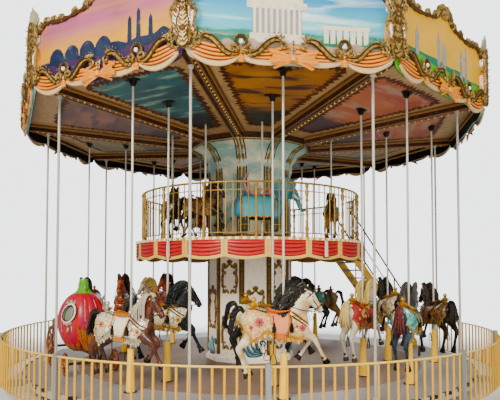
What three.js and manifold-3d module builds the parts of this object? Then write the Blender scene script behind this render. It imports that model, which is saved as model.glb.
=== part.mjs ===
// Double-deck fairground carousel with ten bays. Millimetres, +Z up, the origin on the ground under the mast.
// A bay is named by its number from 0, whose middle faces -Y; the numbers run towards +X. Riders travel towards +X there.
import * as THREE from "three";
import { mergeVertices } from "three/addons/utils/BufferGeometryUtils.js";
import Module from "manifold-3d";

const wasm = await Module();
wasm.setup();

// Driving dimensions
const BAYS = 10;
const HALF_BAY = Math.PI / BAYS;
const SEAT = 0.3; // gap that pieces keep where they rest on each other
const GROUND_BEAM_TOP = 110;
const PLATFORM_UNDER = 180;
const FLOOR = 300; // top of the lower platform
const PLATFORM_R = 4800;
const COLUMN_R = 960; // corner radius of the lower column
const DECK_UNDER = 2770;
const DECK = 2890; // top of the upper deck
const DECK_R = 2500;
const CANOPY_R = 5000; // corner radius of the rounding boards
const BOARD_THICK = 40;
const SWEEP_HUB_R = 1390;
const SWEEP_UNDER_HUB = 5040;
const SWEEP_SLOPE = 0.09;
const SWEEP_DEEP = 130;
const SWEEP_WIDE = 200;
const CEILING_THICK = 50;
const OUTER_ROW_R = 4047;
const INNER_ROW_R = 3085;
const UPPER_ROW_R = 1870;
const POLE_R = 20;
const STAND_TOP = FLOOR + 700;
const STAIR_BAY = 3;
const COACH_BAY = 8;
const FENCE_R = 5200;
const FENCE_TOP = 1020;
const FENCE_TURN = THREE.MathUtils.degToRad(-4.7); // where the fence posts stand at rest

// Derived places
const APOTHEM = Math.cos(HALF_BAY);
const BOARD_FACE = CANOPY_R * APOTHEM;
const BOARD_BACK = BOARD_FACE - BOARD_THICK;
const bayAngle = (bay) => 2 * HALF_BAY * bay;
const sweepUnder = (r) => SWEEP_UNDER_HUB + SWEEP_SLOPE * (r - SWEEP_HUB_R);
const sweepTop = (r) => sweepUnder(r) + SWEEP_DEEP;
// The ceiling panels are flat between the sweeps, so along a bay's middle the height goes by the corner radius.
const ceilingUnder = (r) => sweepTop(r / APOTHEM) + SEAT;

// Solid modelling helpers

function solidOf(geometry) {
  const bare = geometry.index ? geometry.toNonIndexed() : geometry.clone();
  bare.deleteAttribute("normal");
  bare.deleteAttribute("uv");
  const merged = mergeVertices(bare, 1e-3);
  const corner = merged.index.array;
  const kept = [];
  for (let i = 0; i < corner.length; i += 3) {
    const [a, b, c] = corner.slice(i, i + 3);
    if (a !== b && b !== c && a !== c) kept.push(a, b, c);
  }
  return new wasm.Manifold(
    new wasm.Mesh({
      numProp: 3,
      vertProperties: merged.attributes.position.array,
      triVerts: new Uint32Array(kept),
    }),
  );
}

function geometryOf(solid) {
  const mesh = solid.getMesh();
  const geometry = new THREE.BufferGeometry();
  geometry.setAttribute("position", new THREE.BufferAttribute(mesh.vertProperties, 3));
  geometry.setIndex(new THREE.BufferAttribute(mesh.triVerts, 1));
  geometry.computeVertexNormals();
  return geometry;
}

const joined = (...shapes) => geometryOf(shapes.map(solidOf).reduce((whole, next) => whole.add(next)));
const cut = (shape, ...tools) => geometryOf(tools.map(solidOf).reduce((rest, tool) => rest.subtract(tool), solidOf(shape)));
const common = (a, b) => geometryOf(solidOf(a).intersect(solidOf(b)));

// Basic shapes, with Z up

function block(x0, x1, y0, y1, z0, z1) {
  const geometry = new THREE.BoxGeometry(x1 - x0, y1 - y0, z1 - z0);
  return geometry.translate((x0 + x1) / 2, (y0 + y1) / 2, (z0 + z1) / 2);
}

// An upright round or tapered bar. Its flats face the axes' diagonals where turn is half a side.
function bar(x, y, z0, z1, r0, r1 = r0, sides = 8) {
  const geometry = new THREE.CylinderGeometry(r1, r0, z1 - z0, sides);
  return geometry.rotateX(Math.PI / 2).translate(x, y, (z0 + z1) / 2);
}

// A profile of [radius, height] points, listed upwards on the outside, turned about Z from the given angle.
function turned(profile, sides, start = 0) {
  const points = profile.map(([r, z]) => new THREE.Vector2(r, z));
  return new THREE.LatheGeometry(points, sides, start).rotateX(Math.PI / 2);
}

// An outline of [x, y] points, raised from z0 to z1.
function raised(outline, z0, z1) {
  const shape = new THREE.Shape(outline.map(([x, y]) => new THREE.Vector2(x, y)));
  return new THREE.ExtrudeGeometry(shape, { depth: z1 - z0, bevelEnabled: false }).translate(0, 0, z0);
}

// An outline of [x, z] points that stands upright and runs from y0 to y1.
function upright(outline, y0, y1) {
  return raised(outline, -y1, -y0).rotateX(Math.PI / 2);
}

// A point at radius r on the edge between two bays, moved into the bay by inset; side is 1 towards the next bay.
function bayEdge(r, side, inset) {
  const across = r * Math.sin(HALF_BAY) - inset * Math.cos(HALF_BAY);
  const out = r * Math.cos(HALF_BAY) + inset * Math.sin(HALF_BAY);
  return [side * across, -out];
}

// A loft through rings [x, z, half width, half depth, y] whose path lies in an upright plane; it has flat ends.
class LoftGeometry extends THREE.BufferGeometry {
  constructor(rings, sides) {
    super();
    const position = [];
    const index = [];
    rings.forEach(([x, z, wide, deep, y = 0], i) => {
      const [x0, z0] = rings[Math.max(i - 1, 0)];
      const [x1, z1] = rings[Math.min(i + 1, rings.length - 1)];
      const length = Math.hypot(x1 - x0, z1 - z0);
      const [nx, nz] = [-(z1 - z0) / length, (x1 - x0) / length];
      for (let s = 0; s < sides; s++) {
        const angle = (2 * Math.PI * (s + (sides % 4 === 0 ? 0.5 : 0))) / sides; // flat on top and below
        const across = wide * Math.cos(angle);
        const up = deep * Math.sin(angle);
        position.push(x + nx * up, y + across, z + nz * up);
      }
    });
    for (let i = 0; i + 1 < rings.length; i++)
      for (let s = 0; s < sides; s++) {
        const [a, b] = [i * sides + s, i * sides + ((s + 1) % sides)];
        index.push(a, b, a + sides, b, b + sides, a + sides);
      }
    const last = (rings.length - 1) * sides;
    for (let s = 1; s + 1 < sides; s++) {
      index.push(0, s + 1, s);
      index.push(last, last + s, last + s + 1);
    }
    this.setAttribute("position", new THREE.Float32BufferAttribute(position, 3));
    this.setIndex(index);
  }
}

// The assembly

const carousel = new THREE.Group();

const FINISH = {
  steel: { color: 0x9a9fa2, roughness: 0.5, metalness: 0.6 },
  yellow: { color: 0xe0a91c, roughness: 0.45, metalness: 0.1 },
  floor: { color: 0xa79a90, roughness: 0.6, metalness: 0.2 },
  cream: { color: 0xe9ddc4, roughness: 0.5, metalness: 0 },
  gold: { color: 0xb8924a, roughness: 0.45, metalness: 0.3 },
  red: { color: 0xc21a22, roughness: 0.5, metalness: 0 },
  sky: { color: 0x9fc3c4, roughness: 0.5, metalness: 0 },
  brown: { color: 0x5a3320, roughness: 0.5, metalness: 0 },
  white: { color: 0xe8e4dc, roughness: 0.4, metalness: 0 },
};

function place(name, geometry, finish, turn = 0) {
  const mesh = new THREE.Mesh(geometry, new THREE.MeshStandardMaterial(FINISH[finish]));
  mesh.name = name;
  mesh.rotation.z = turn;
  carousel.add(mesh);
}

const two = (number) => String(number).padStart(2, "0");

// Moves a shape drawn on the axis out to radius r, then round to an angle from -Y.
const atAngle = (shape, r, angle) => shape.translate(0, -r, 0).rotateZ(angle);

// Ground frame: a round pedestal under the mast, ten ground beams, and the fence posts on the ends of seven of them

const PEDESTAL_R = 700;
const BEAM_HALF = 60;
const BEAM_END = FENCE_R + 50;
const FENCE_BAYS = 6;
const POST_HALF = 38;
const postAngle = (post) => FENCE_TURN + bayAngle(post - FENCE_BAYS / 2);

function groundFrame() {
  const parts = [bar(0, 0, 0, PLATFORM_UNDER - SEAT, PEDESTAL_R, PEDESTAL_R, 20)];
  for (let beam = 0; beam < BAYS; beam++)
    parts.push(block(-BEAM_HALF, BEAM_HALF, -BEAM_END, 0, 0, GROUND_BEAM_TOP).rotateZ(postAngle(beam)));
  for (let post = 0; post <= FENCE_BAYS; post++) {
    const shape = block(-POST_HALF, POST_HALF, -POST_HALF, POST_HALF, GROUND_BEAM_TOP / 2, FENCE_TOP + 30);
    parts.push(atAngle(shape, FENCE_R, postAngle(post)));
  }
  return joined(...parts);
}
place("ground_frame", groundFrame(), "steel");

// Fence: six bays of two curved rails and upright bars between the posts; riders come in at the open side

const BARS_PER_BAY = 4; // every fifth of the real bars
const RAIL_HALF = 22;
const FENCE_BAR_R = 20;
const LOW_RAIL = 230;
const RAIL_STEPS = 5;

// A flat curved rail of square section between two angles.
function curvedRail(r, half, z, from, to, steps) {
  const edge = (radius, i) => {
    const angle = from + ((to - from) * i) / steps;
    return [radius * Math.sin(angle), -radius * Math.cos(angle)];
  };
  const count = Array.from({ length: steps + 1 }, (_, i) => i);
  const outline = [...count.map((i) => edge(r + half, i)), ...count.reverse().map((i) => edge(r - half, i))];
  return raised(outline, z - half, z + half);
}

function fencePanel() {
  const end = HALF_BAY - (POST_HALF + SEAT) / FENCE_R;
  const topRail = FENCE_TOP - RAIL_HALF;
  const parts = [LOW_RAIL, topRail].map((z) => curvedRail(FENCE_R, RAIL_HALF, z, -end, end, RAIL_STEPS));
  for (let i = 0; i < BARS_PER_BAY; i++) {
    const angle = 2 * HALF_BAY * ((i + 0.5) / BARS_PER_BAY - 0.5);
    parts.push(atAngle(bar(0, 0, LOW_RAIL, topRail, FENCE_BAR_R, FENCE_BAR_R, 4), FENCE_R, angle));
  }
  return joined(...parts);
}
for (let panel = 0; panel < FENCE_BAYS; panel++)
  place(`fence_panel_${two(panel + 1)}`, fencePanel(), "yellow", postAngle(panel) + HALF_BAY);

// Lower column: a ten-sided casing round the mast, with a plinth and a cornice, on the pedestal's bearing

const PLINTH = 90;
function lowerColumn() {
  const profile = [
    [0, PLATFORM_UNDER],
    [COLUMN_R, PLATFORM_UNDER],
    [COLUMN_R, FLOOR + SEAT],
    [COLUMN_R + 50, FLOOR + SEAT],
    [COLUMN_R + 50, FLOOR + PLINTH],
    [COLUMN_R, FLOOR + PLINTH + 40],
    [COLUMN_R, DECK_UNDER - 140],
    [COLUMN_R + 80, DECK_UNDER - SEAT],
    [0, DECK_UNDER - SEAT],
  ];
  return turned(profile, BAYS, HALF_BAY);
}
place("lower_column", lowerColumn(), "cream");

// Platform: ten floor sections, each with the stands that its horse poles slide in and a drop rod from the sweep above

const STAND_FOOT_R = 76;
const STAND_HEAD_R = 54;
const STAND_BORE_R = 29;
const STAND_BORE_END = FLOOR + 60;
const ROOT_IN = 40; // how far a stand or rod is let into the floor
const DROP_ROD_R = 25;
const DROP_ROD_AT = 4537;
const DROP_ROD_INSET = 45;
const RIM_STEPS = 5;

const hasOuterHorse = (bay) => bay !== STAIR_BAY && bay !== COACH_BAY;
const hasInnerHorse = hasOuterHorse;

function stand(r) {
  const profile = [
    [0, FLOOR - ROOT_IN],
    [STAND_FOOT_R, FLOOR - ROOT_IN],
    [STAND_HEAD_R, STAND_TOP],
    [STAND_BORE_R, STAND_TOP],
    [STAND_BORE_R, STAND_BORE_END],
    [0, STAND_BORE_END],
  ];
  return turned(profile, 6).translate(0, -r, 0);
}

function platformSection(bay) {
  const inner = COLUMN_R + SEAT;
  const gap = SEAT / 2;
  const outline = [bayEdge(inner, -1, gap)];
  const rim = Math.asin(gap / PLATFORM_R);
  for (let i = 0; i <= RIM_STEPS; i++) {
    const angle = (HALF_BAY - rim) * ((2 * i) / RIM_STEPS - 1);
    outline.push([PLATFORM_R * Math.sin(angle), -PLATFORM_R * Math.cos(angle)]);
  }
  outline.push(bayEdge(inner, 1, gap));
  const parts = [raised(outline, PLATFORM_UNDER, FLOOR)];
  if (hasOuterHorse(bay)) parts.push(stand(OUTER_ROW_R));
  if (hasInnerHorse(bay)) parts.push(stand(INNER_ROW_R));
  const [x, y] = bayEdge(DROP_ROD_AT, 1, DROP_ROD_INSET);
  // The rod's wide head stays clear of the sloping sweep.
  const rodTop = sweepUnder(DROP_ROD_AT - DROP_ROD_R) - SEAT;
  parts.push(bar(x, y, FLOOR - ROOT_IN, rodTop, DROP_ROD_R));
  return joined(...parts);
}
for (let bay = 0; bay < BAYS; bay++)
  place(`platform_section_${two(bay)}`, platformSection(bay), "floor", bayAngle(bay));

// Upper deck: a round floor on the lower column, with ten brackets under it

const BRACKET_HALF = 30;
const BRACKET_DEEP = 180;
const BRACKET_OUT = 2380;
function upperDeck() {
  const parts = [bar(0, 0, DECK_UNDER, DECK, DECK_R, DECK_R, 40)];
  for (let bay = 0; bay < BAYS; bay++) {
    const side = [
      [COLUMN_R + 90, DECK_UNDER + 10],
      [COLUMN_R + 90, DECK_UNDER - BRACKET_DEEP],
      [BRACKET_OUT, DECK_UNDER - 40],
      [BRACKET_OUT, DECK_UNDER + 10],
    ];
    const rib = upright(side, -BRACKET_HALF, BRACKET_HALF).rotateZ(-Math.PI / 2);
    parts.push(rib.rotateZ(HALF_BAY + bayAngle(bay)));
  }
  return joined(...parts);
}
place("upper_deck", upperDeck(), "gold");

// Valance: a thin ring round the deck's edge with twenty scallops

const VALANCE_R = 2560;
const VALANCE_IN = 2525;
const VALANCE_LOW = 2482;
const VALANCE_LIFT = 38;
const LIP_IN = 2415; // the valance hangs from a lip that lies on the deck
const LIP_THICK = 6;
const SCALLOPS = 20;
const SCALLOP_STEPS = 3;
function deckValance() {
  const steps = SCALLOPS * SCALLOP_STEPS;
  const blank = turned(
    [
      [VALANCE_IN, VALANCE_LOW - 50],
      [VALANCE_R, VALANCE_LOW - 50],
      [VALANCE_R, DECK + LIP_THICK],
      [LIP_IN, DECK + LIP_THICK],
      [LIP_IN, DECK + SEAT],
      [VALANCE_IN, DECK + SEAT],
      [VALANCE_IN, VALANCE_LOW - 50],
    ],
    steps,
  );
  // The scalloped lower edge is cut with an open ring whose top face waves.
  const position = [];
  const index = [];
  const radii = [VALANCE_IN - 40, VALANCE_R + 40];
  for (let i = 0; i < steps; i++) {
    const angle = (2 * Math.PI * i) / steps;
    const wave = Math.abs(Math.cos((Math.PI * (i % SCALLOP_STEPS)) / SCALLOP_STEPS));
    const top = VALANCE_LOW + VALANCE_LIFT * wave * wave;
    for (const r of radii)
      for (const z of [VALANCE_LOW - 90, top]) position.push(r * Math.sin(angle), -r * Math.cos(angle), z);
  }
  const quad = (a, b, c, d) => index.push(a, b, c, a, c, d);
  for (let i = 0; i < steps; i++) {
    const a = i * 4;
    const b = ((i + 1) % steps) * 4;
    quad(a, b, b + 1, a + 1);
    quad(a + 2, a + 3, b + 3, b + 2);
    quad(a + 1, b + 1, b + 3, a + 3);
    quad(a, a + 2, b + 2, b);
  }
  const knife = new THREE.BufferGeometry();
  knife.setAttribute("position", new THREE.Float32BufferAttribute(position, 3));
  knife.setIndex(index);
  const tool = solidOf(knife);
  const blade = tool.volume() < 0 ? tool.mirror([0, 0, 1]) : tool;
  return geometryOf(solidOf(blank).subtract(blade));
}
place("deck_valance", deckValance(), "red");

// Deck railing: a round handrail with upright bars and a gap where the stair arrives

const HANDRAIL_TOP = DECK + 1060;
const RAILING_R = 2450;
const HANDRAIL_HALF = 20;
const RAILING_BARS = 20; // every fifth of the real bars
const RAILING_BAR_R = 13;
const STAIR_HALF = 400;
const LOW_DECK_RAIL = DECK + 90;
function deckRailing() {
  const open = (STAIR_HALF + 60) / RAILING_R;
  const from = bayAngle(STAIR_BAY) + open;
  const to = bayAngle(STAIR_BAY) - open + 2 * Math.PI;
  const steps = 30;
  const parts = [
    curvedRail(RAILING_R, HANDRAIL_HALF, HANDRAIL_TOP - HANDRAIL_HALF, from, to, steps),
    curvedRail(RAILING_R, HANDRAIL_HALF / 2, LOW_DECK_RAIL, from, to, steps),
  ];
  for (let i = 0; i <= RAILING_BARS; i++) {
    const inset = 0.02;
    const angle = from + inset + ((to - from - 2 * inset) * i) / RAILING_BARS;
    const strong = i % 2 === 0;
    const r = strong ? RAILING_BAR_R * 1.7 : RAILING_BAR_R;
    const foot = strong ? DECK + LIP_THICK + SEAT : LOW_DECK_RAIL;
    parts.push(atAngle(bar(0, 0, foot, HANDRAIL_TOP - HANDRAIL_HALF, r, r, 4), RAILING_R, angle));
  }
  return joined(...parts);
}
place("deck_railing", deckRailing(), "yellow");

// Upper column: a ten-sided casing that flares out to meet the sweeps

function upperColumn() {
  const profile = [
    [0, DECK + SEAT],
    [COLUMN_R + 50, DECK + SEAT],
    [COLUMN_R + 50, DECK + PLINTH],
    [COLUMN_R, DECK + PLINTH + 40],
    [COLUMN_R, SWEEP_UNDER_HUB - 620],
    [COLUMN_R + 60, SWEEP_UNDER_HUB - 330],
    [COLUMN_R + 190, SWEEP_UNDER_HUB - 130],
    [SWEEP_HUB_R, SWEEP_UNDER_HUB - SEAT],
    [0, SWEEP_UNDER_HUB - SEAT],
  ];
  return turned(profile, BAYS, HALF_BAY);
}
place("upper_column", upperColumn(), "sky");

// Sweeps: ten sloping beams that radiate from the hub plate

const SWEEP_END = (BOARD_BACK - (SWEEP_WIDE / 2) * Math.sin(HALF_BAY)) / APOTHEM - 2 * SEAT;
function sweeps() {
  const parts = [
    turned(
      [
        [0, SWEEP_UNDER_HUB],
        [SWEEP_HUB_R, SWEEP_UNDER_HUB],
        [SWEEP_HUB_R, SWEEP_UNDER_HUB + SWEEP_DEEP],
        [0, sweepTop(0)],
      ],
      BAYS,
      HALF_BAY,
    ),
  ];
  for (let bay = 0; bay < BAYS; bay++) {
    const start = SWEEP_HUB_R - 200;
    const side = [
      [start, sweepUnder(SWEEP_HUB_R)],
      [SWEEP_HUB_R, sweepUnder(SWEEP_HUB_R)],
      [SWEEP_END, sweepUnder(SWEEP_END)],
      [SWEEP_END, sweepTop(SWEEP_END)],
      [start, sweepTop(start)],
    ];
    const beam = upright(side, -SWEEP_WIDE / 2, SWEEP_WIDE / 2).rotateZ(-Math.PI / 2);
    parts.push(beam.rotateZ(HALF_BAY + bayAngle(bay)));
  }
  return joined(...parts);
}
place("sweeps", sweeps(), "brown");

// Ceiling: ten flat panels on the sweeps, with a guide under it for each pole that rises through it

const CEILING_R = (BOARD_BACK - 2 * SEAT) / APOTHEM;
const GUIDE_DROP = 80;
const GUIDE_R = 62;
const GUIDE_LOW_R = 40;
const GUIDE_BORE_R = POLE_R + SEAT / Math.cos(Math.PI / 6); // the pole runs in it flat on flat
function ceiling() {
  const lift = SEAT;
  const plate = turned(
    [
      [0, sweepTop(0) + lift],
      [CEILING_R, sweepTop(CEILING_R) + lift],
      [CEILING_R, sweepTop(CEILING_R) + CEILING_THICK],
      [0, sweepTop(0) + CEILING_THICK],
    ],
    BAYS,
    HALF_BAY,
  );
  const guides = [];
  const bores = [];
  for (let bay = 0; bay < BAYS; bay++) {
    const rows = [];
    if (hasOuterHorse(bay)) rows.push(OUTER_ROW_R);
    if (hasInnerHorse(bay)) rows.push(INNER_ROW_R);
    for (const r of rows) {
      const under = ceilingUnder(r);
      guides.push(atAngle(bar(0, 0, under - GUIDE_DROP, under + 20, GUIDE_LOW_R, GUIDE_R, 6), r, bayAngle(bay)));
      bores.push(atAngle(bar(0, 0, under - 200, under + 200, GUIDE_BORE_R, GUIDE_BORE_R, 6), r, bayAngle(bay)));
    }
  }
  return cut(joined(plate, ...guides), ...bores);
}
place("ceiling", ceiling(), "gold");

// Rounding boards: ten painted boards, each with a swag along its foot and the cartouche on its next corner

const BOARD_END = BOARD_BACK * Math.tan(HALF_BAY) - SEAT;
// A half outline, listed from its outer end to the middle, becomes the whole one from left to right.
const mirrored = (half) => [...half.map(([x, z]) => [-x, z]), ...half.slice().reverse().filter(([x]) => x !== 0)];
const BOARD_FOOT = [
  [BOARD_END, 5380],
  [1440, 5260],
  [1150, 5207],
  [770, 5246],
  [260, 5207],
];
const BOARD_HEAD = [
  [BOARD_END, 6150],
  [1260, 6400],
  [900, 6380],
  [300, 6480],
  [150, 6640],
  [0, 6665],
];
const SWAG_OUT = 70;
const SWAG_HEAD = [
  [1400, 5480],
  [1150, 5480],
  [770, 5380],
  [0, 5480],
];
const SWAG_LIFT = 40;

const CARTOUCHE_OUT = CANOPY_R + 110;
const CARTOUCHE_HALF = 190;
const CARTOUCHE_SIDE = [
  [0, 5373],
  [120, 5430],
  [90, 5570],
  [CARTOUCHE_HALF, 5680],
  [CARTOUCHE_HALF, 6160],
  [110, 6330],
  [60, 6560],
  [0, 6620],
];

function cartouche() {
  const lean = Math.tan(HALF_BAY);
  const back = CANOPY_R - CARTOUCHE_HALF * lean;
  const plan = [
    [-CARTOUCHE_HALF, -(back - 12)],
    [-CARTOUCHE_HALF, -(CARTOUCHE_OUT - 50)],
    [-CARTOUCHE_HALF / 2, -CARTOUCHE_OUT],
    [CARTOUCHE_HALF / 2, -CARTOUCHE_OUT],
    [CARTOUCHE_HALF, -(CARTOUCHE_OUT - 50)],
    [CARTOUCHE_HALF, -(back + 2 * SEAT)],
    [0, -(CANOPY_R + 2 * SEAT)],
  ];
  const silhouette = [...CARTOUCHE_SIDE, ...CARTOUCHE_SIDE.slice(1, -1).reverse().map(([x, z]) => [-x, z])];
  const shape = common(raised(plan, 5300, 6700), upright(silhouette, -CARTOUCHE_OUT - 10, -BOARD_BACK));
  return shape.rotateZ(HALF_BAY);
}

function roundingBoard() {
  const outline = [...mirrored(BOARD_FOOT), ...mirrored(BOARD_HEAD).reverse()];
  const board = upright(outline, -BOARD_FACE, -BOARD_BACK);
  const hem = BOARD_FOOT.slice(1).map(([x, z]) => [x, z + SWAG_LIFT]);
  const swag = upright([...mirrored(hem), ...mirrored(SWAG_HEAD).reverse()], -BOARD_FACE - SWAG_OUT, -BOARD_FACE + 5);
  return joined(board, swag, cartouche());
}
for (let bay = 0; bay < BAYS; bay++) place(`rounding_board_${two(bay)}`, roundingBoard(), "cream", bayAngle(bay));

// Roof: a ten-sided tent over the ceiling, with a crown at its top

const ROOF_EAVE_R = (BOARD_BACK - 2 * SEAT) / APOTHEM;
const ROOF_EAVE = 6080;
const ROOF_TOP_R = 330;
const ROOF_TOP = 7500;
const ROOF_THICK = 40;
function roofCover() {
  return turned(
    [
      [0, ROOF_TOP - ROOF_THICK],
      [ROOF_TOP_R, ROOF_TOP - ROOF_THICK],
      [ROOF_EAVE_R - 160, ROOF_EAVE],
      [ROOF_EAVE_R, ROOF_EAVE],
      [ROOF_EAVE_R, ROOF_EAVE + ROOF_THICK],
      [ROOF_TOP_R, ROOF_TOP],
      [0, ROOF_TOP],
    ],
    BAYS,
    HALF_BAY,
  );
}
place("roof_cover", roofCover(), "cream");

function roofCrown() {
  return turned(
    [
      [0, ROOF_TOP + SEAT],
      [300, ROOF_TOP + SEAT],
      [260, ROOF_TOP + 90],
      [160, ROOF_TOP + 140],
      [250, ROOF_TOP + 330],
      [150, ROOF_TOP + 470],
      [50, ROOF_TOP + 520],
      [90, ROOF_TOP + 620],
      [30, ROOF_TOP + 700],
      [0, ROOF_TOP + 860],
    ],
    BAYS,
    HALF_BAY,
  );
}
place("roof_crown", roofCrown(), "gold");

// Stair: a steep flight from the platform to the gap in the railing, with strings, treads and handrails

const STAIR_TOP_Y = VALANCE_R + SEAT;
const STAIR_RUN = 2080;
const STAIR_STEPS = 12;
const STRING_THICK = 40;
const STRING_DEEP = 150;
const TREAD_THICK = 35;
const STAIR_RAIL_UP = 900;
const STAIR_RAIL_R = 20;
function stair() {
  const rise = DECK - FLOOR;
  const low = STAIR_TOP_Y + STAIR_RUN;
  const treadDeep = STAIR_RUN / STAIR_STEPS + 60;
  // Each side shape is drawn as [distance from the mast, height] and turned to face out of the bay.
  const lean = (outline, y0, y1) => upright(outline, y0, y1).rotateZ(-Math.PI / 2);
  const side = [
    [low, FLOOR + SEAT],
    [low, FLOOR + STRING_DEEP],
    [STAIR_TOP_Y, DECK],
    [STAIR_TOP_Y, DECK - STRING_DEEP * 1.9],
    [low - STRING_DEEP * 0.8, FLOOR + SEAT],
  ];
  const parts = [];
  for (const hand of [-1, 1]) {
    const [y0, y1] = [hand * STAIR_HALF, hand * (STAIR_HALF - STRING_THICK)].sort((a, b) => a - b);
    parts.push(lean(side, y0, y1));
    const mid = (y0 + y1) / 2;
    const slope = rise / STAIR_RUN;
    const railEnd = STAIR_RUN - 120;
    const at = (run) => [STAIR_TOP_Y + run, DECK - run * slope];
    const [ax, az] = at(20);
    const [bx, bz] = at(railEnd);
    const rail = [
      [ax, az + STAIR_RAIL_UP - STAIR_RAIL_R],
      [bx, bz + STAIR_RAIL_UP - STAIR_RAIL_R],
      [bx, bz + STAIR_RAIL_UP + STAIR_RAIL_R],
      [ax, az + STAIR_RAIL_UP + STAIR_RAIL_R],
    ];
    parts.push(lean(rail, mid - STAIR_RAIL_R, mid + STAIR_RAIL_R));
    for (const share of [0.03, 0.35, 0.67, 0.97]) {
      const [px, pz] = at(20 + (railEnd - 20) * share);
      parts.push(bar(mid, -px, pz - 60, pz + STAIR_RAIL_UP, 16, 16, 4));
    }
  }
  for (let step = 1; step < STAIR_STEPS; step++) {
    const y = low - (STAIR_RUN * step) / STAIR_STEPS;
    const z = FLOOR + (rise * step) / STAIR_STEPS;
    const half = STAIR_HALF - STRING_THICK / 2;
    parts.push(block(-half, half, -y - treadDeep / 2, -y + treadDeep / 2, z - TREAD_THICK, z));
  }
  return joined(...parts);
}
place("stair", stair(), "yellow", bayAngle(STAIR_BAY));

// Horses: a leaping body on a pole, drawn at the origin with its head towards +X and heights above the floor it rides over

const HORSE_BODY = [
  [-645, 1140, 95, 120],
  [-490, 1140, 180, 218],
  [-40, 1065, 180, 218],
  [290, 1110, 145, 205],
  [385, 1130, 75, 100],
];
const HORSE_NECK = [
  [150, 1180, 115, 215],
  [300, 1440, 78, 135],
  [350, 1570, 62, 95],
];
const HORSE_HEAD = [
  [355, 1640, 50, 75],
  [430, 1530, 62, 98],
  [612, 1310, 40, 48],
];
const HORSE_LEGS = [
  // fore legs, near and far
  [[250, 1020, 75, 120, -100], [465, 895, 46, 54, -100], [595, 645, 30, 34, -100], [660, 520, 50, 55, -100]],
  [[250, 1000, 70, 110, 100], [450, 865, 44, 52, 100], [335, 690, 30, 34, 100], [235, 565, 50, 55, 100]],
  // hind legs, near and far
  [[-450, 1060, 90, 170, -100], [-700, 800, 46, 58, -100], [-635, 500, 32, 36, -100], [-590, 340, 52, 58, -100]],
  [[-420, 1050, 88, 160, 100], [-660, 780, 46, 56, 100], [-560, 500, 32, 36, 100], [-515, 335, 52, 58, 100]],
];
const HORSE_MANE = [
  [390, 1665, 40, 60],
  [230, 1640, 95, 95],
  [40, 1490, 85, 130],
];
const HORSE_TAIL = [
  [-580, 1280, 50, 45],
  [-700, 1370, 60, 55],
  [-800, 1180, 70, 60],
  [-800, 880, 45, 50],
];
const SADDLE = [
  [-265, 1370, 110, 40],
  [-120, 1315, 150, 45],
  [100, 1360, 60, 45],
];

const BODY_SIDES = 8;
function horseShape() {
  return [
    new LoftGeometry(HORSE_BODY, BODY_SIDES),
    new LoftGeometry(HORSE_NECK, 4),
    new LoftGeometry(HORSE_HEAD, 4),
    ...HORSE_LEGS.map((leg) => new LoftGeometry(leg, 4)),
    new LoftGeometry(HORSE_MANE, 4),
    new LoftGeometry(HORSE_TAIL, 4),
    new LoftGeometry(SADDLE, 4),
  ];
}

// Heights at rest, as the cranks leave them, above the shape's own height
const REST_LIFT = [20, -15, -50, 0, -20, 30, 0, 50, 0, -80];
const INNER_REST_LIFT = [40, 15, 70, 0, 30, 50, 140, 140, 0, 30];
// How far each horse is turned inwards on its pole, in degrees
const REST_TURN = [4, 18, 20, 0, 12, 4, 14, 8, 0, 6];
const INNER_REST_TURN = [0, 11, 16, 0, 12, 0, 14, 10, 0, 20];
const POLE_ABOVE = 330;
const POLE_FOOT = 260; // above the floor, inside the stand

function jumper(r, rise, turn) {
  const parts = horseShape().map((g) => g.rotateZ((turn * Math.PI) / 180).translate(0, 0, FLOOR + rise));
  parts.push(bar(0, 0, FLOOR + POLE_FOOT + rise, ceilingUnder(r) + POLE_ABOVE + rise, POLE_R, POLE_R, 6));
  return joined(...parts).translate(0, -r, 0);
}
for (let bay = 0; bay < BAYS; bay++) {
  if (hasOuterHorse(bay))
    place(`outer_horse_${two(bay)}`, jumper(OUTER_ROW_R, REST_LIFT[bay], REST_TURN[bay]), "white", bayAngle(bay));
  if (hasInnerHorse(bay))
    place(`inner_horse_${two(bay)}`, jumper(INNER_ROW_R, INNER_REST_LIFT[bay], INNER_REST_TURN[bay]), "brown", bayAngle(bay));
}

// Figures on the upper deck: an elephant and four smaller horses, each fixed on a pole from the deck to the sweeps' hub

const UPPER_HORSE_BAYS = [2, 6, 8, 9];
const ELEPHANT_BAY = 0;
const UPPER_HORSE_SCALE = 0.76;
const UPPER_HORSE_SINK = -170;

function upperFigure(shape) {
  const poleTop = ceilingUnder(UPPER_ROW_R - POLE_R) - SEAT;
  return joined(...shape, bar(0, 0, DECK + SEAT, poleTop, POLE_R, POLE_R, 6)).translate(0, -UPPER_ROW_R, 0);
}

// Heights above the deck
const ELEPHANT = [
  [[[-520, 600, 80, 120], [-380, 620, 170, 215], [0, 590, 190, 205], [300, 630, 160, 195], [400, 680, 90, 120]], 6],
  [[[230, 700, 100, 150], [420, 1030, 170, 215], [590, 1020, 150, 190], [680, 960, 80, 100]], 6],
  [[[610, 940, 65, 70], [730, 740, 50, 52], [780, 590, 40, 42], [850, 580, 32, 34]], 5],
  [[[290, 1090, 270, 35], [360, 960, 300, 40], [400, 780, 220, 28]], 4],
  [[[-490, 640, 22, 26], [-600, 500, 18, 18], [-620, 360, 22, 22]], 4],
  [[[-230, 800, 150, 55], [0, 780, 170, 55], [210, 815, 140, 55]], 4],
];
const ELEPHANT_LEGS = [
  [260, -110],
  [260, 110],
  [-350, -110],
  [-350, 110],
];
function elephantShape() {
  const parts = ELEPHANT.map(([rings, sides]) => new LoftGeometry(rings, sides));
  for (const [x, y] of ELEPHANT_LEGS)
    parts.push(new LoftGeometry([[x, 540, 80, 85, y], [x + 15, 330, 62, 62, y], [x, 140, 72, 72, y]], 4));
  return parts.map((g) => g.translate(0, 0, DECK));
}
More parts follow.
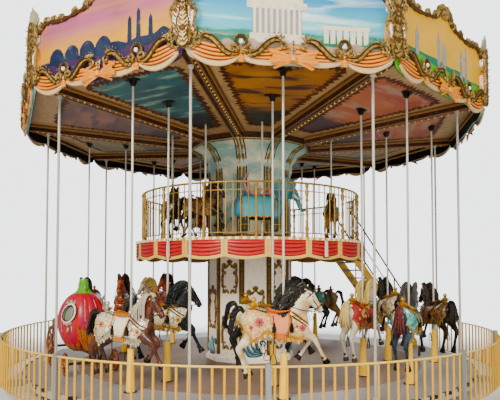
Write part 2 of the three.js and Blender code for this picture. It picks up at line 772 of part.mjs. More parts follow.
place("elephant", upperFigure(elephantShape()), "sky", bayAngle(ELEPHANT_BAY));

function upperHorse() {
  const scale = UPPER_HORSE_SCALE;
  return upperFigure(horseShape().map((g) => g.scale(scale, scale, scale).translate(0, 0, DECK + UPPER_HORSE_SINK)));
}
for (const bay of UPPER_HORSE_BAYS) place(`upper_horse_${two(bay)}`, upperHorse(), "brown", bayAngle(bay));

// Coach: a hollow fruit-shaped cabin with a window and a doorway, on a frame with four wheels

const COACH_AT = 3700;
const COACH_TURN = 7; // degrees, its front turned inwards
const CABIN_R = 470;
const CABIN_WALL = 35;
const CABIN_MID = 960; // above the floor
const CABIN_HALF = 560;
const DOOR_HALF = 230;
const REAR_WHEEL = [-640, 420]; // x and radius
const FRONT_WHEEL = [560, 220];
const WHEEL_OUT = 470;
function cabinProfile(inset) {
  const rings = 7;
  const profile = [];
  for (let i = 0; i <= rings; i++) {
    const angle = -Math.PI / 2 + (Math.PI * i) / rings;
    const r = i === 0 || i === rings ? 0 : (CABIN_R - inset) * Math.cos(angle) ** 0.7;
    profile.push([r, CABIN_MID + (CABIN_HALF - inset) * Math.sin(angle)]);
  }
  return profile;
}
function axle([x, r]) {
  const parts = [block(x - 30, x + 30, -WHEEL_OUT, WHEEL_OUT, r - 30, r + 30)];
  if (r < 400) parts.push(block(x - 30, x + 30, -60, 60, r, 430));
  for (const side of [-1, 1])
    parts.push(new THREE.CylinderGeometry(r, r, 50, 12).translate(x, side * WHEEL_OUT, r + SEAT));
  return parts;
}
function coach() {
  const cabin = cut(
    turned(cabinProfile(0), BAYS),
    turned(cabinProfile(CABIN_WALL), BAYS),
    block(-DOOR_HALF, DOOR_HALF, -CABIN_R - 50, 0, 930, 1340), // the window, on the outside
    block(-DOOR_HALF, DOOR_HALF, 0, CABIN_R + 50, 700, 1380), // the doorway, towards the mast
  );
  return joined(
    cabin,
    bar(0, 0, CABIN_MID + CABIN_HALF - 50, CABIN_MID + CABIN_HALF + 325, 150, 75, 7), // the stem
    bar(0, 0, 380, 560, 230, 340, 10), // the basket under the cabin
    block(-880, 740, -60, 60, 380, 470), // the beam
    bar(600, 0, 450, 860, 110, 230, 8), // the driver's seat and its cushion
    bar(600, 0, 855, 1050, 160, 100, 8),
    ...axle(REAR_WHEEL),
    ...axle(FRONT_WHEEL),
  )
    .rotateZ((COACH_TURN * Math.PI) / 180)
    .translate(0, -COACH_AT, FLOOR);
}
place("coach", coach(), "red", bayAngle(COACH_BAY));

export default carousel;
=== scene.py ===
# A double-deck fairground carousel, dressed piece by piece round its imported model. Metres, +Z up.
# A bay is named by its number from 0, whose middle faces -Y. An angle is measured from -Y towards +X.
import math
import random

import bpy
import numpy as np
from mathutils import Matrix, Vector


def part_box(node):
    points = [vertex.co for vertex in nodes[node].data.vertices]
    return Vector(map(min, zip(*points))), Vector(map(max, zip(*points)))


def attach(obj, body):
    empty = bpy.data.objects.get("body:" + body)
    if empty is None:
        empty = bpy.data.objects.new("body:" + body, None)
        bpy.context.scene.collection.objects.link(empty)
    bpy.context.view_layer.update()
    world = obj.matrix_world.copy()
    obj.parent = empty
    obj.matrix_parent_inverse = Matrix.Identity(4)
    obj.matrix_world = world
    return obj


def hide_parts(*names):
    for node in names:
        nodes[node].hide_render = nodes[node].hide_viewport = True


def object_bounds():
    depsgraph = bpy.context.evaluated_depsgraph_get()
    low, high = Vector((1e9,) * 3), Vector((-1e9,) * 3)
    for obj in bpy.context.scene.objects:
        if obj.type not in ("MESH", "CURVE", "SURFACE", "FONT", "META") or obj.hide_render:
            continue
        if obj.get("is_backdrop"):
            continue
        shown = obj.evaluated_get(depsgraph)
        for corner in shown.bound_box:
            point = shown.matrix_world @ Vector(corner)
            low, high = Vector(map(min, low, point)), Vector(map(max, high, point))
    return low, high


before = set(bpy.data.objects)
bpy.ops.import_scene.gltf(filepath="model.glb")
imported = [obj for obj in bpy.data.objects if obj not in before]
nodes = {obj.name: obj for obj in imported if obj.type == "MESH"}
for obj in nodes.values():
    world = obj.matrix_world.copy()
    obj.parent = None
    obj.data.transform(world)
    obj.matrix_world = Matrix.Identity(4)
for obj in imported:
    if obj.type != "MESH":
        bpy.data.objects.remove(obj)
cad_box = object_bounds()
BAYS = 10
TURN = 2 * math.pi
BAY = TURN / BAYS


# The view
# The photographer stood 12.1 m from the mast at eye height, seven degrees round from the middle of bay 0.
# The camera looks up by two degrees, and the rest of the framing is a small shift.
PICTURE_WIDE = 500
FOCAL_PIXELS = 523.6
HORIZON_PIXELS_BELOW_MIDDLE = 70.6
EYE_DISTANCE = 12.127
EYE_HEIGHT = 2.269
EYE_ANGLE = math.radians(-7.36)
LOOK_UP = math.radians(2.2)


def place_camera():
    data = bpy.data.cameras.new("eye")
    data.sensor_width = 36
    data.lens = data.sensor_width * FOCAL_PIXELS / PICTURE_WIDE
    tilted = FOCAL_PIXELS * math.tan(LOOK_UP)
    data.shift_y = (HORIZON_PIXELS_BELOW_MIDDLE - tilted) / PICTURE_WIDE
    eye = bpy.data.objects.new("eye", data)
    eye.location = (EYE_DISTANCE * math.sin(EYE_ANGLE), -EYE_DISTANCE * math.cos(EYE_ANGLE), EYE_HEIGHT)
    eye.rotation_euler = (math.pi / 2 + LOOK_UP, 0, EYE_ANGLE)
    bpy.context.collection.objects.link(eye)
    bpy.context.scene.camera = eye


place_camera()


# Light and floor
# A soft studio: a pale backdrop, a broad key from high on the left, a fill from the front and a low bounce.
# The low light reaches the painted ceiling as bright paving does. The floor fades into the backdrop.
BACKDROP = {"Color": (0.95, 0.97, 1.0, 1), "Strength": 3.2}
SKY_LIGHT = {"Color": (0.9, 0.94, 0.95, 1), "Strength": 0.5}
FLOOR_HALF = 60
FLOOR_GREY = (0.68, 0.68, 0.66, 1)
FLOOR_ROUGH = 0.9
FADE_FROM, FADE_TO = 5.6, 11.0
LAMPS = [
    # name, power, width, colour, place, point looked at
    ("key", 3900, 5, (1.0, 0.91, 0.79), (-8, -14, 10), (0, 0, 3)),
    ("fill", 1250, 10, (1.0, 0.94, 0.85), (11, -13, 6), (0, 0, 3)),
    ("bounce", 1450, 12, (1.0, 0.91, 0.78), (0, -11, 0.5), (0, 0, 2.2)),
    ("back", 1400, 9, (1.0, 1.0, 1.0), (3, 14, 9), (0, 0, 3)),
]


def put(tree, kind, inputs=None, **settings):
    """Adds a shader or geometry node; a socket given as an input is linked to it."""
    made = tree.nodes.new(kind)
    for key, value in settings.items():
        setattr(made, key, value)
    for key, value in (inputs or {}).items():
        if isinstance(value, bpy.types.NodeSocket):
            tree.links.new(value, made.inputs[key])
        else:
            made.inputs[key].default_value = value
    return made


def calc(tree, operation, *values):
    return put(tree, "ShaderNodeMath", dict(enumerate(values)), operation=operation).outputs[0]


def seen_by_camera(tree):
    return put(tree, "ShaderNodeLightPath").outputs["Is Camera Ray"]


def light_studio():
    world = bpy.data.worlds.new("studio")
    world.use_nodes = True
    tree = world.node_tree
    tree.nodes.clear()
    light, backdrop = (put(tree, "ShaderNodeBackground", look).outputs[0] for look in (SKY_LIGHT, BACKDROP))
    mix = put(tree, "ShaderNodeMixShader", {0: seen_by_camera(tree), 1: light, 2: backdrop})
    put(tree, "ShaderNodeOutputWorld", {"Surface": mix.outputs[0]})
    bpy.context.scene.world = world
    for name, power, width, colour, place, target in LAMPS:
        data = bpy.data.lights.new(name, "AREA")
        data.energy = power
        data.size = width
        data.color = colour
        lamp = bpy.data.objects.new(name, data)
        lamp.visible_glossy = name in ("key", "back")
        lamp.location = place
        lamp.rotation_euler = (Vector(target) - Vector(place)).to_track_quat("-Z", "Y").to_euler()
        bpy.context.collection.objects.link(lamp)


def lay_floor():
    material = bpy.data.materials.new("pale_floor")
    material.use_nodes = True
    tree = material.node_tree
    tree.nodes.clear()
    near = put(tree, "ShaderNodeBsdfPrincipled", {"Base Color": FLOOR_GREY, "Roughness": FLOOR_ROUGH})
    far = put(tree, "ShaderNodeEmission", BACKDROP)
    place = put(tree, "ShaderNodeTexCoord").outputs["Object"]
    reach = put(tree, "ShaderNodeVectorMath", {0: place}, operation="LENGTH").outputs["Value"]
    fade = {"Value": reach, "From Min": FADE_FROM, "From Max": FADE_TO}
    faded = put(tree, "ShaderNodeMapRange", fade, interpolation_type="SMOOTHSTEP").outputs["Result"]
    share = calc(tree, "MULTIPLY", faded, seen_by_camera(tree))
    mix = put(tree, "ShaderNodeMixShader", {0: share, 1: near.outputs[0], 2: far.outputs[0]})
    put(tree, "ShaderNodeOutputMaterial", {"Surface": mix.outputs[0]})
    mesh = bpy.data.meshes.new("studio_floor")
    corners = [(x * FLOOR_HALF, y * FLOOR_HALF, 0) for x, y in ((-1, -1), (1, -1), (1, 1), (-1, 1))]
    mesh.from_pydata(corners, [], [(0, 1, 2, 3)])
    mesh.materials.append(material)
    floor = bpy.data.objects.new("studio_floor", mesh)
    bpy.context.collection.objects.link(floor)
    floor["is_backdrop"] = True


light_studio()
lay_floor()


# Ground frame and fence posts
# Galvanised steel channels radiate from a pedestal under the mast, and carry square tube posts at their ends.
# The zinc has dulled unevenly, with rust where feet and barriers knock it.
PAINT_DEPTH = 1.35
PAINT_RICHNESS = 1.4
PAINT_INK = 0.5
COAT_SHARE = 0.45
COAT_ROUGHNESS = 0.12
SHEEN = 0.35
RELIEF = 0.004


def rgb(colour):
    """A paint as mixed: deeper and richer than it looks in soft light, and the strong colours most of all."""
    grey = sum(colour) / 3
    deep = [max(0.0, grey + (c - grey) * PAINT_RICHNESS) ** PAINT_DEPTH for c in colour]
    strength = (max(deep) - min(deep)) / (max(deep) + 1e-6)
    return (*[c * (1 - PAINT_INK * strength) for c in deep], 1)


def level(tree, value, start, stop, low=0.0, high=1.0):
    """Low up to start, high from stop on, and even between them."""
    sizes = {"Value": value, "From Min": start, "From Max": stop, "To Min": low, "To Max": high}
    return put(tree, "ShaderNodeMapRange", sizes).outputs["Result"]


def blend(tree, share, one, other):
    return put(tree, "ShaderNodeMix", {0: share, 6: one, 7: other}, data_type="RGBA").outputs[2]


def noise(tree, scale, detail=2.0, place=None, **more):
    place = place or put(tree, "ShaderNodeTexCoord").outputs["Object"]
    sizes = {"Vector": place, "Scale": scale, "Detail": detail}
    sizes.update((key.title(), value) for key, value in more.items())
    return put(tree, "ShaderNodeTexNoise", sizes).outputs["Fac"]


def shader_group(name, **inputs):
    """An empty shader group whose inputs start at the given values: colours, vectors and numbers."""
    tree = bpy.data.node_groups.new(name, "ShaderNodeTree")
    kinds = {1: "NodeSocketFloat", 3: "NodeSocketVector", 4: "NodeSocketColor"}
    for key, value in inputs.items():
        kind = kinds[len(value) if isinstance(value, tuple) else 1]
        title = key.replace("_", " ").title()
        tree.interface.new_socket(title, in_out="INPUT", socket_type=kind).default_value = value
    return tree, tree.nodes.new("NodeGroupInput").outputs


def weathering():
    """A node group that ages a paint: uneven tone, dirt in patches and worn spots."""
    tree, given = shader_group(
        "weathering",
        colour=(0.8, 0.8, 0.8, 1),
        worn_colour=(0.5, 0.45, 0.4, 1),
        dirt_colour=(0.12, 0.09, 0.06, 1),
        wear=0.1,
        dirt=0.3,
        grain=40.0,
        roughness=0.4,
    )
    for name in ("Colour", "Roughness", "Height"):
        kind = "NodeSocketColor" if name == "Colour" else "NodeSocketFloat"
        tree.interface.new_socket(name, in_out="OUTPUT", socket_type=kind)
    patches = noise(tree, 1.7, 5.0)
    grain = noise(tree, given["Grain"], 3.0)
    tone = level(tree, patches, 0.3, 0.7, 0.84, 1.1)
    toned = put(tree, "ShaderNodeVectorMath", {0: given["Colour"], 1: tone}, operation="MULTIPLY").outputs[0]
    mottle = calc(tree, "MULTIPLY", patches, grain)
    dirt = calc(tree, "MULTIPLY", level(tree, mottle, 0.2, 0.42), given["Dirt"])
    worn = calc(tree, "MULTIPLY", level(tree, grain, 0.62, 0.7), given["Wear"])
    dusty = blend(tree, dirt, toned, given["Dirt Colour"])
    looks = {
        "Colour": blend(tree, worn, dusty, given["Worn Colour"]),
        "Roughness": calc(tree, "MULTIPLY_ADD", dirt, 0.35, given["Roughness"]),
        "Height": calc(tree, "SUBTRACT", grain, worn),
    }
    put(tree, "NodeGroupOutput", looks)
    return tree


WEATHERING = weathering()


def finish(name, colour, roughness=0.4, metallic=0.0, coat=0.0, bump=0.15, pattern=None, **ageing):
    """A material whose paint is aged; pattern, if given, adds nodes that make the colour before ageing."""
    material = bpy.data.materials.new(name)
    material.use_nodes = True
    tree = material.node_tree
    shader = tree.nodes["Principled BSDF"]
    aged = put(tree, "ShaderNodeGroup", node_tree=WEATHERING)
    aged.inputs["Colour"].default_value = rgb(colour)
    aged.inputs["Roughness"].default_value = roughness
    for key, value in ageing.items():
        socket = aged.inputs[key.replace("_", " ").title()]
        socket.default_value = rgb(value) if isinstance(value, tuple) else value
    if pattern:
        tree.links.new(pattern(tree), aged.inputs["Colour"])
    relief = {"Height": aged.outputs["Height"], "Strength": bump, "Distance": RELIEF}
    relief = put(tree, "ShaderNodeBump", relief)
    tree.links.new(aged.outputs["Colour"], shader.inputs["Base Color"])
    tree.links.new(aged.outputs["Roughness"], shader.inputs["Roughness"])
    tree.links.new(relief.outputs[0], shader.inputs["Normal"])
    dull = min(1.0, 0.25 + 4 * max(colour))
    shader.inputs["Metallic"].default_value = metallic
    shader.inputs["Specular IOR Level"].default_value = SHEEN * dull
    shader.inputs["Coat Weight"].default_value = coat * COAT_SHARE * dull
    shader.inputs["Coat Roughness"].default_value = COAT_ROUGHNESS
    return material


def dress(node, material):
    """Gives a node of the model that keeps its shape its finish."""
    mesh = nodes[node].data
    mesh.materials.clear()
    mesh.materials.append(material)


STEEL = finish(
    "dulled_galvanised_steel", (0.42, 0.44, 0.45), 0.5, 0.7, wear=0.25, worn_colour=(0.25, 0.12, 0.06),
    dirt=0.35,
)
dress("ground_frame", STEEL)


# Fence
# Six bays of yellow enamelled steel: a round handrail, a lower rail and beaded bars about 160 mm apart.
# The panels are welded up on a curve and hung between the posts; the enamel is chipped at hand height.
FENCE_BAYS = 6
FENCE_R = 5.2
FENCE_POST_HALF = 0.038
RAIL_ROUND = 0.017
FENCE_BAR_ROUND = 0.018
FENCE_BARS_PER_BAY = 20
FENCE_BEADS = 18
FENCE_BEAD_DEPTH = 0.16
SHARP_EDGE = math.radians(38)


class Form:
    """Points and faces before they become a mesh, with a finish number for each face."""

    def __init__(self, points, faces, finish=0):
        self.points = np.asarray(points, float).reshape(-1, 3)
        self.faces = faces
        self.finishes = [finish] * len(faces) if isinstance(finish, int) else list(finish)

    def __add__(self, other):
        shift = len(self.points)
        faces = self.faces + [tuple(i + shift for i in face) for face in other.faces]
        return Form(np.vstack([self.points, other.points]), faces, self.finishes + other.finishes)

    def moved(self, x=0.0, y=0.0, z=0.0):
        return Form(self.points + (x, y, z), self.faces, self.finishes)

    def scaled(self, x, y, z):
        turned_over = x * y * z < 0
        faces = [face[::-1] for face in self.faces] if turned_over else self.faces
        return Form(self.points * (x, y, z), faces, self.finishes)

    def turned(self, angle, axis="Z"):
        matrix = np.array(Matrix.Rotation(angle, 3, axis))
        return Form(self.points @ matrix.T, self.faces, self.finishes)

    def mirrored(self):
        return self.scaled(-1, 1, 1)


def gathered(forms):
    """One form of many."""
    points, faces, finishes, shift = [], [], [], 0
    for form in forms:
        points.append(form.points)
        faces += [tuple(i + shift for i in face) for face in form.faces]
        finishes += form.finishes
        shift += len(form.points)
    return Form(np.vstack(points), faces, finishes)


def made(name, form, materials, body, smooth=True, replaces=(), slot=None):
    """Turns a form into a piece that rides on a body."""
    mesh = bpy.data.meshes.new(name)
    mesh.from_pydata(form.points.tolist(), [], form.faces)
    for material in materials:
        mesh.materials.append(material)
    mesh.polygons.foreach_set("material_index", form.finishes)
    mesh.polygons.foreach_set("use_smooth", [smooth] * len(form.faces))
    mesh.update()
    piece = bpy.data.objects.new(name, mesh)
    bpy.context.collection.objects.link(piece)
    if smooth:
        mesh.set_sharp_from_angle(angle=SHARP_EDGE)
    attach(piece, body)
    if replaces:
        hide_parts(*replaces)
    return piece


def sweep(path, wide, deep=None, side=(0, -1, 0), sides=8, finish=0, closed=False):
    """A bar along a path. Its section is 2*wide across the path and 2*deep along the side direction."""
    path = np.asarray(path, float)
    count = len(path)
    wide = np.broadcast_to(wide, count)
    deep = wide if deep is None else np.broadcast_to(deep, count)
    tangents = np.roll(path, -1, 0) - np.roll(path, 1, 0) if closed else np.gradient(path, axis=0)
    along = np.asarray(side, float)
    points = []
    for point, tangent, w, d in zip(path, tangents, wide, deep):
        across = np.cross(along, tangent)
        across /= np.linalg.norm(across) + 1e-12
        outward = np.cross(tangent, across)
        outward /= np.linalg.norm(outward) + 1e-12
        for s in range(sides):
            angle = TURN * (s + 0.5) / sides
            points.append(point + across * w * math.cos(angle) + outward * d * math.sin(angle))
    faces = []
    for i in range(count if closed else count - 1):
        here, there = i * sides, (i + 1) % count * sides
        for s in range(sides):
            t = (s + 1) % sides
            faces.append((here + s, here + t, there + t, there + s))
    if not closed:
        last = (count - 1) * sides
        faces += [tuple(range(sides))[::-1], tuple(range(last, last + sides))]
    a, b, c, d = (np.array(points[i]) for i in faces[0])
    if np.dot(np.cross(c - a, d - b), (a + b + c + d) / 4 - (path[0] + path[1]) / 2) < 0:
        faces = [face[::-1] for face in faces]
    return Form(points, faces, finish)


def arc(radius, start, stop, z, steps):
    angles = np.linspace(start, stop, steps + 1)
    return np.stack([radius * np.sin(angles), -radius * np.cos(angles), np.full_like(angles, z)], 1)


def new_tree(name, inputs):
    """An empty geometry tree with named inputs, given as name: value."""
    tree = bpy.data.node_groups.new(name, "GeometryNodeTree")
    for key, value in inputs.items():
        kind = "NodeSocketInt" if isinstance(value, int) else "NodeSocketFloat"
        tree.interface.new_socket(key, in_out="INPUT", socket_type=kind).default_value = value
    tree.interface.new_socket("Geometry", in_out="OUTPUT", socket_type="NodeSocketGeometry")
    return tree, tree.nodes.new("NodeGroupInput").outputs


def set_on_points(tree, count, spot, shape, rotation=(0, 0, 0)):
    """The end of a tree: the shape at every spot of a row, made real and coated."""
    row = put(tree, "GeometryNodeMeshLine", {"Count": count}).outputs[0]
    spread = put(tree, "GeometryNodeSetPosition", {"Geometry": row, "Position": spot}).outputs[0]
    many = {"Points": spread, "Instance": shape, "Rotation": rotation}
    instances = put(tree, "GeometryNodeInstanceOnPoints", many).outputs[0]
    solid = put(tree, "GeometryNodeRealizeInstances", {"Geometry": instances}).outputs[0]
    coated = put(tree, "GeometryNodeSetMaterial", {"Geometry": solid})
    put(tree, "NodeGroupOutput", {"Geometry": coated.outputs[0]})
    return tree, coated


def ring_of_bars():
    """Upright bars at equal angles on a circle, plain or beaded: the row that fences and railings repeat."""
    start = {"Count": 10, "Radius": 1.0, "First Angle": 0.0, "Step": 0.1, "Foot": 0.0, "Head": 1.0}
    bar = {"Bar Radius": 0.02, "Sides": 10, "Rows": 1, "Bead Pitch": 1.0, "Bead Depth": 0.0}
    tree, given = new_tree("ring_of_bars", {**start, **bar})
    index = put(tree, "GeometryNodeInputIndex").outputs[0]
    angle = calc(tree, "MULTIPLY_ADD", index, given["Step"], given["First Angle"])
    x = calc(tree, "MULTIPLY", calc(tree, "SINE", angle), given["Radius"])
    y = calc(tree, "MULTIPLY", calc(tree, "MULTIPLY", calc(tree, "COSINE", angle), given["Radius"]), -1.0)
    middle = calc(tree, "MULTIPLY", calc(tree, "ADD", given["Foot"], given["Head"]), 0.5)
    spot = put(tree, "ShaderNodeCombineXYZ", {"X": x, "Y": y, "Z": middle}).outputs[0]
    height = calc(tree, "SUBTRACT", given["Head"], given["Foot"])
    sizes = {
        "Vertices": given["Sides"], "Side Segments": given["Rows"], "Radius": given["Bar Radius"],
        "Depth": height,
    }
    plain = put(tree, "GeometryNodeMeshCylinder", sizes).outputs[0]
    at = put(tree, "GeometryNodeInputPosition").outputs[0]
    up = put(tree, "ShaderNodeSeparateXYZ", {0: at}).outputs[2]
    swell = calc(tree, "COSINE", calc(tree, "MULTIPLY", up, given["Bead Pitch"]))
    girth = calc(tree, "MULTIPLY_ADD", swell, given["Bead Depth"], 1.0)
    stretch = put(tree, "ShaderNodeCombineXYZ", {"X": girth, "Y": girth, "Z": 1.0}).outputs[0]
    swollen = put(tree, "ShaderNodeVectorMath", {0: at, 1: stretch}, operation="MULTIPLY").outputs[0]
    beaded = put(tree, "GeometryNodeSetPosition", {"Geometry": plain, "Position": swollen}).outputs[0]
    return set_on_points(
        tree, given["Count"], spot, beaded, put(tree, "ShaderNodeCombineXYZ", {"Z": angle}).outputs[0]
    )


RING_OF_BARS, RING_FINISH = ring_of_bars()


def grown(tree, coated, material, **inputs):
    """Runs a tree with the given inputs and returns its mesh as a form."""
    coated.inputs["Material"].default_value = material
    holder = bpy.data.objects.new("holder", bpy.data.meshes.new("holder"))
    bpy.context.collection.objects.link(holder)
    modifier = holder.modifiers.new("grow", "NODES")
    modifier.node_group = tree
    for item in tree.interface.items_tree:
        key = item.name.lower().replace(" ", "_")
        if item.in_out == "INPUT" and key in inputs:
            modifier[item.identifier] = inputs[key]
    ready = holder.evaluated_get(bpy.context.evaluated_depsgraph_get())
    mesh = bpy.data.meshes.new_from_object(ready)
    form = Form([v.co[:] for v in mesh.vertices], [tuple(p.vertices) for p in mesh.polygons])
    bpy.data.objects.remove(holder)
    bpy.data.meshes.remove(mesh)
    return form


YELLOW = finish(
    "yellow_enamel", (0.92, 0.64, 0.03), 0.35, 0.0, 0.2, wear=0.4, worn_colour=(0.5, 0.3, 0.12), dirt=0.4,
    dirt_colour=(0.4, 0.18, 0.02),
)
RAIL_CREAM = finish(
    "rubbed_handrail", (0.98, 0.78, 0.32), 0.3, 0.0, 0.3, wear=0.4, worn_colour=(0.75, 0.62, 0.42), dirt=0.2
)


def fence_panel(number):
    node = f"fence_panel_{number:02d}"
    low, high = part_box(node)
    middle = math.atan2(low[0] + high[0], -(low[1] + high[1]))
    end = BAY / 2 - FENCE_POST_HALF / FENCE_R
    foot, head = low[2] + RAIL_ROUND, high[2] - RAIL_ROUND
    rail = lambda z, thick, sides, finish: sweep(
        arc(FENCE_R, middle - end, middle + end, z, 14), thick, side=(0, 0, 1), sides=sides, finish=finish
    )
    step = BAY / FENCE_BARS_PER_BAY
    bars = grown(
        RING_OF_BARS,
        RING_FINISH,
        YELLOW,
        count=FENCE_BARS_PER_BAY,
        radius=FENCE_R,
        first_angle=middle - BAY / 2 + step / 2,
        step=step,
        bar_radius=FENCE_BAR_ROUND,
        foot=foot,
        head=head,
        rows=2 * FENCE_BEADS,
        bead_pitch=TURN * FENCE_BEADS / (high[2] - low[2] - 2 * RAIL_ROUND),
        bead_depth=FENCE_BEAD_DEPTH,
        sides=6,
    )
    form = gathered([rail(head, RAIL_ROUND, 10, 1), rail(foot, RAIL_ROUND * 0.8, 8, 0), bars])
    made(
        f"fence_bay_{number:02d}", form, [YELLOW, RAIL_CREAM], "ground_frame", replaces=[node],
        slot="yellow_enamel",
    )


for bay in range(1, FENCE_BAYS + 1):
    fence_panel(bay)


# Platform
# Ten floor sections hang from the sweeps on white drop rods. Painted boards cover the inside, and worn
# aluminium chequer plate the outside. Yellow steel stands are bolted down, and the poles slide in them.
# The rim is a steel angle with black and pale dashes.
FLOOR_TOP = 0.3
FLOOR_UNDER = 0.18
COLUMN_R = 0.96
PLATFORM_R = 4.8
CHEQUER_FROM = 3.75
SECTION_GAP = 0.003
OUTER_ROW = 4.047
INNER_ROW = 3.085
STAND_HEIGHT = 0.7
STAND_FOOT = 0.074
STAND_HEAD = 0.052
STAND_BORE = 0.031
DROP_ROD_AT = 4.537
DROP_ROD_INSET = 0.045
DROP_ROD_ROUND = 0.022
RIM_DASHES = 7
FLOORING, PLATE, RIM, STAND, DROP_ROD, RUBBER = range(6)
STAIR_BAY = 3
COACH_BAY = 8
HORSE_BAYS = [bay for bay in range(BAYS) if bay not in (STAIR_BAY, COACH_BAY)]


def chequer(tree):
    """Raised bars of chequer plate, set both ways, worn pale on a grey ground."""
    place = put(tree, "ShaderNodeTexCoord").outputs["Object"]
    bars = []
    for turn in (45, -45):
        turned = put(tree, "ShaderNodeMapping", {"Vector": place, "Rotation": (0, 0, math.radians(turn))})
        values = {"Vector": turned.outputs[0], "Scale": 5.2}
        wave = put(tree, "ShaderNodeTexWave", values, bands_direction="X")
        bars.append(level(tree, wave.outputs["Fac"], 0.55, 0.8))
    return blend(tree, calc(tree, "MAXIMUM", *bars), rgb((0.3, 0.29, 0.29)), rgb((0.62, 0.61, 0.6)))


BOARDS = finish(
    "mauve_floor_boards", (0.4, 0.31, 0.26), 0.55, dirt=0.55, wear=0.4, worn_colour=(0.5, 0.44, 0.4),
    grain=26.0,
)
CHEQUER = finish("chequer_plate", (0.5, 0.5, 0.5), 0.45, 0.45, pattern=chequer, dirt=0.3, bump=0.5)
BLACK = finish("black_paint", (0.015, 0.014, 0.013), 0.4, dirt=0.15)
WHITE_ENAMEL = finish("white_enamel", (0.48, 0.47, 0.43), 0.3, coat=0.3, dirt=0.3, wear=0.1)
PALE_STEEL = finish("pale_rim_steel", (0.6, 0.58, 0.54), 0.45, 0.3, dirt=0.3)
STAND_YELLOW = finish(
    "stand_yellow", (1.35, 0.98, 0.28), 0.35, coat=0.2, dirt=0.3, dirt_colour=(0.8, 0.42, 0.06), wear=0.2,
    worn_colour=(0.8, 0.66, 0.4),
)


def round_angles(count):
    return np.linspace(0, TURN, count, endpoint=False)


def lathe(profile, sides=16, finish=0):
    """A profile of (radius, height) from the foot up, turned about Z. Radius 0 closes on the axis."""
    points, rings = [], []
    for r, z in profile:
        if r < 1e-6:
            rings.append([len(points)] * sides)
            points.append((0, 0, z))
            continue
        rings.append(list(range(len(points), len(points) + sides)))
        points += [(r * math.sin(a), -r * math.cos(a), z) for a in round_angles(sides)]
    faces = []
    for low, high in zip(rings, rings[1:]):
        for s in range(sides):
            t = (s + 1) % sides
            face = dict.fromkeys((low[s], low[t], high[t], high[s]))
            if len(face) > 2:
                faces.append(tuple(face))
    return Form(points, faces, finish)


def rod(x, y, low, high, radius, sides=10, finish=0):
    return lathe([(0, low), (radius, low), (radius, high), (0, high)], sides, finish).moved(x, y)


def slab(outline, low, high, finish=0):
    """An outline of (x, y), raised from low to high."""
    count = len(outline)
    x, y = np.array(outline, float).T
    if np.dot(x, np.roll(y, -1)) < np.dot(y, np.roll(x, -1)):
        outline = outline[::-1]
    points = [(x, y, low) for x, y in outline] + [(x, y, high) for x, y in outline]
    faces = [tuple(range(count))[::-1], tuple(range(count, 2 * count))]
    faces += [(i, (i + 1) % count, (i + 1) % count + count, i + count) for i in range(count)]
    return Form(points, faces, finish)


def board(outline, front, back, finish=0):
    """An upright outline of (x, z), listed anticlockwise as seen from the front, between two y planes."""
    flat = slab(outline, -back, -front, finish)
    flat.points = flat.points[:, [0, 2, 1]] * (1, -1, 1)
    return flat


def upright(x0, x1, z0, z1):
    return [(x0, z0), (x1, z0), (x1, z1), (x0, z1)]


def bay_edge(r, side, inset):
    """A point (x, y) at radius r on the edge between two bays, moved into the bay by inset."""
    across = r * math.sin(BAY / 2) - inset * math.cos(BAY / 2)
    return side * across, -(r * math.cos(BAY / 2) + inset * math.sin(BAY / 2))


def ring_sector(inner, outer, low, high, steps, finish):
    """A floor plate of one bay; an inner radius at the column follows its flat side."""
    ends = [bay_edge(outer, -1, SECTION_GAP), bay_edge(outer, 1, SECTION_GAP)]
    sweep_angle = math.atan2(ends[1][0], -ends[1][1])
    outline = list(arc(outer, -sweep_angle, sweep_angle, 0, steps)[:, :2])
    if inner > COLUMN_R + 0.1:
        outline += list(arc(inner, sweep_angle, -sweep_angle, 0, steps)[:, :2])
    else:
        outline += [bay_edge(inner, 1, SECTION_GAP), bay_edge(inner, -1, SECTION_GAP)]
    return slab(outline, low, high, finish)


def stand(r):
    """A tapered pole stand with a lip at its mouth and a bolted foot flange."""
    head, lip = STAND_HEIGHT, STAND_HEAD + 0.006
    body = [(STAND_FOOT + 0.004, 0), (STAND_FOOT, 0.02), (STAND_HEAD, head - 0.03), (lip, head - 0.025)]
    mouth = [(lip, head), (STAND_BORE, head), (STAND_BORE, 0.06), (0, 0.06)]
    flange = [(0, 0), (STAND_FOOT + 0.035, 0), (STAND_FOOT + 0.035, 0.008), (STAND_FOOT, 0.011), (0, 0.011)]
    bolt = rod(0, STAND_FOOT + 0.02, 0, 0.017, 0.008, 6, RUBBER)
    parts = [lathe([(0, 0), *body, *mouth], 20, STAND), lathe(flange, 20, RUBBER)]
    parts += [bolt.turned(turn * math.pi / 3) for turn in range(6)]
    return gathered(parts).moved(y=-r, z=FLOOR_TOP)


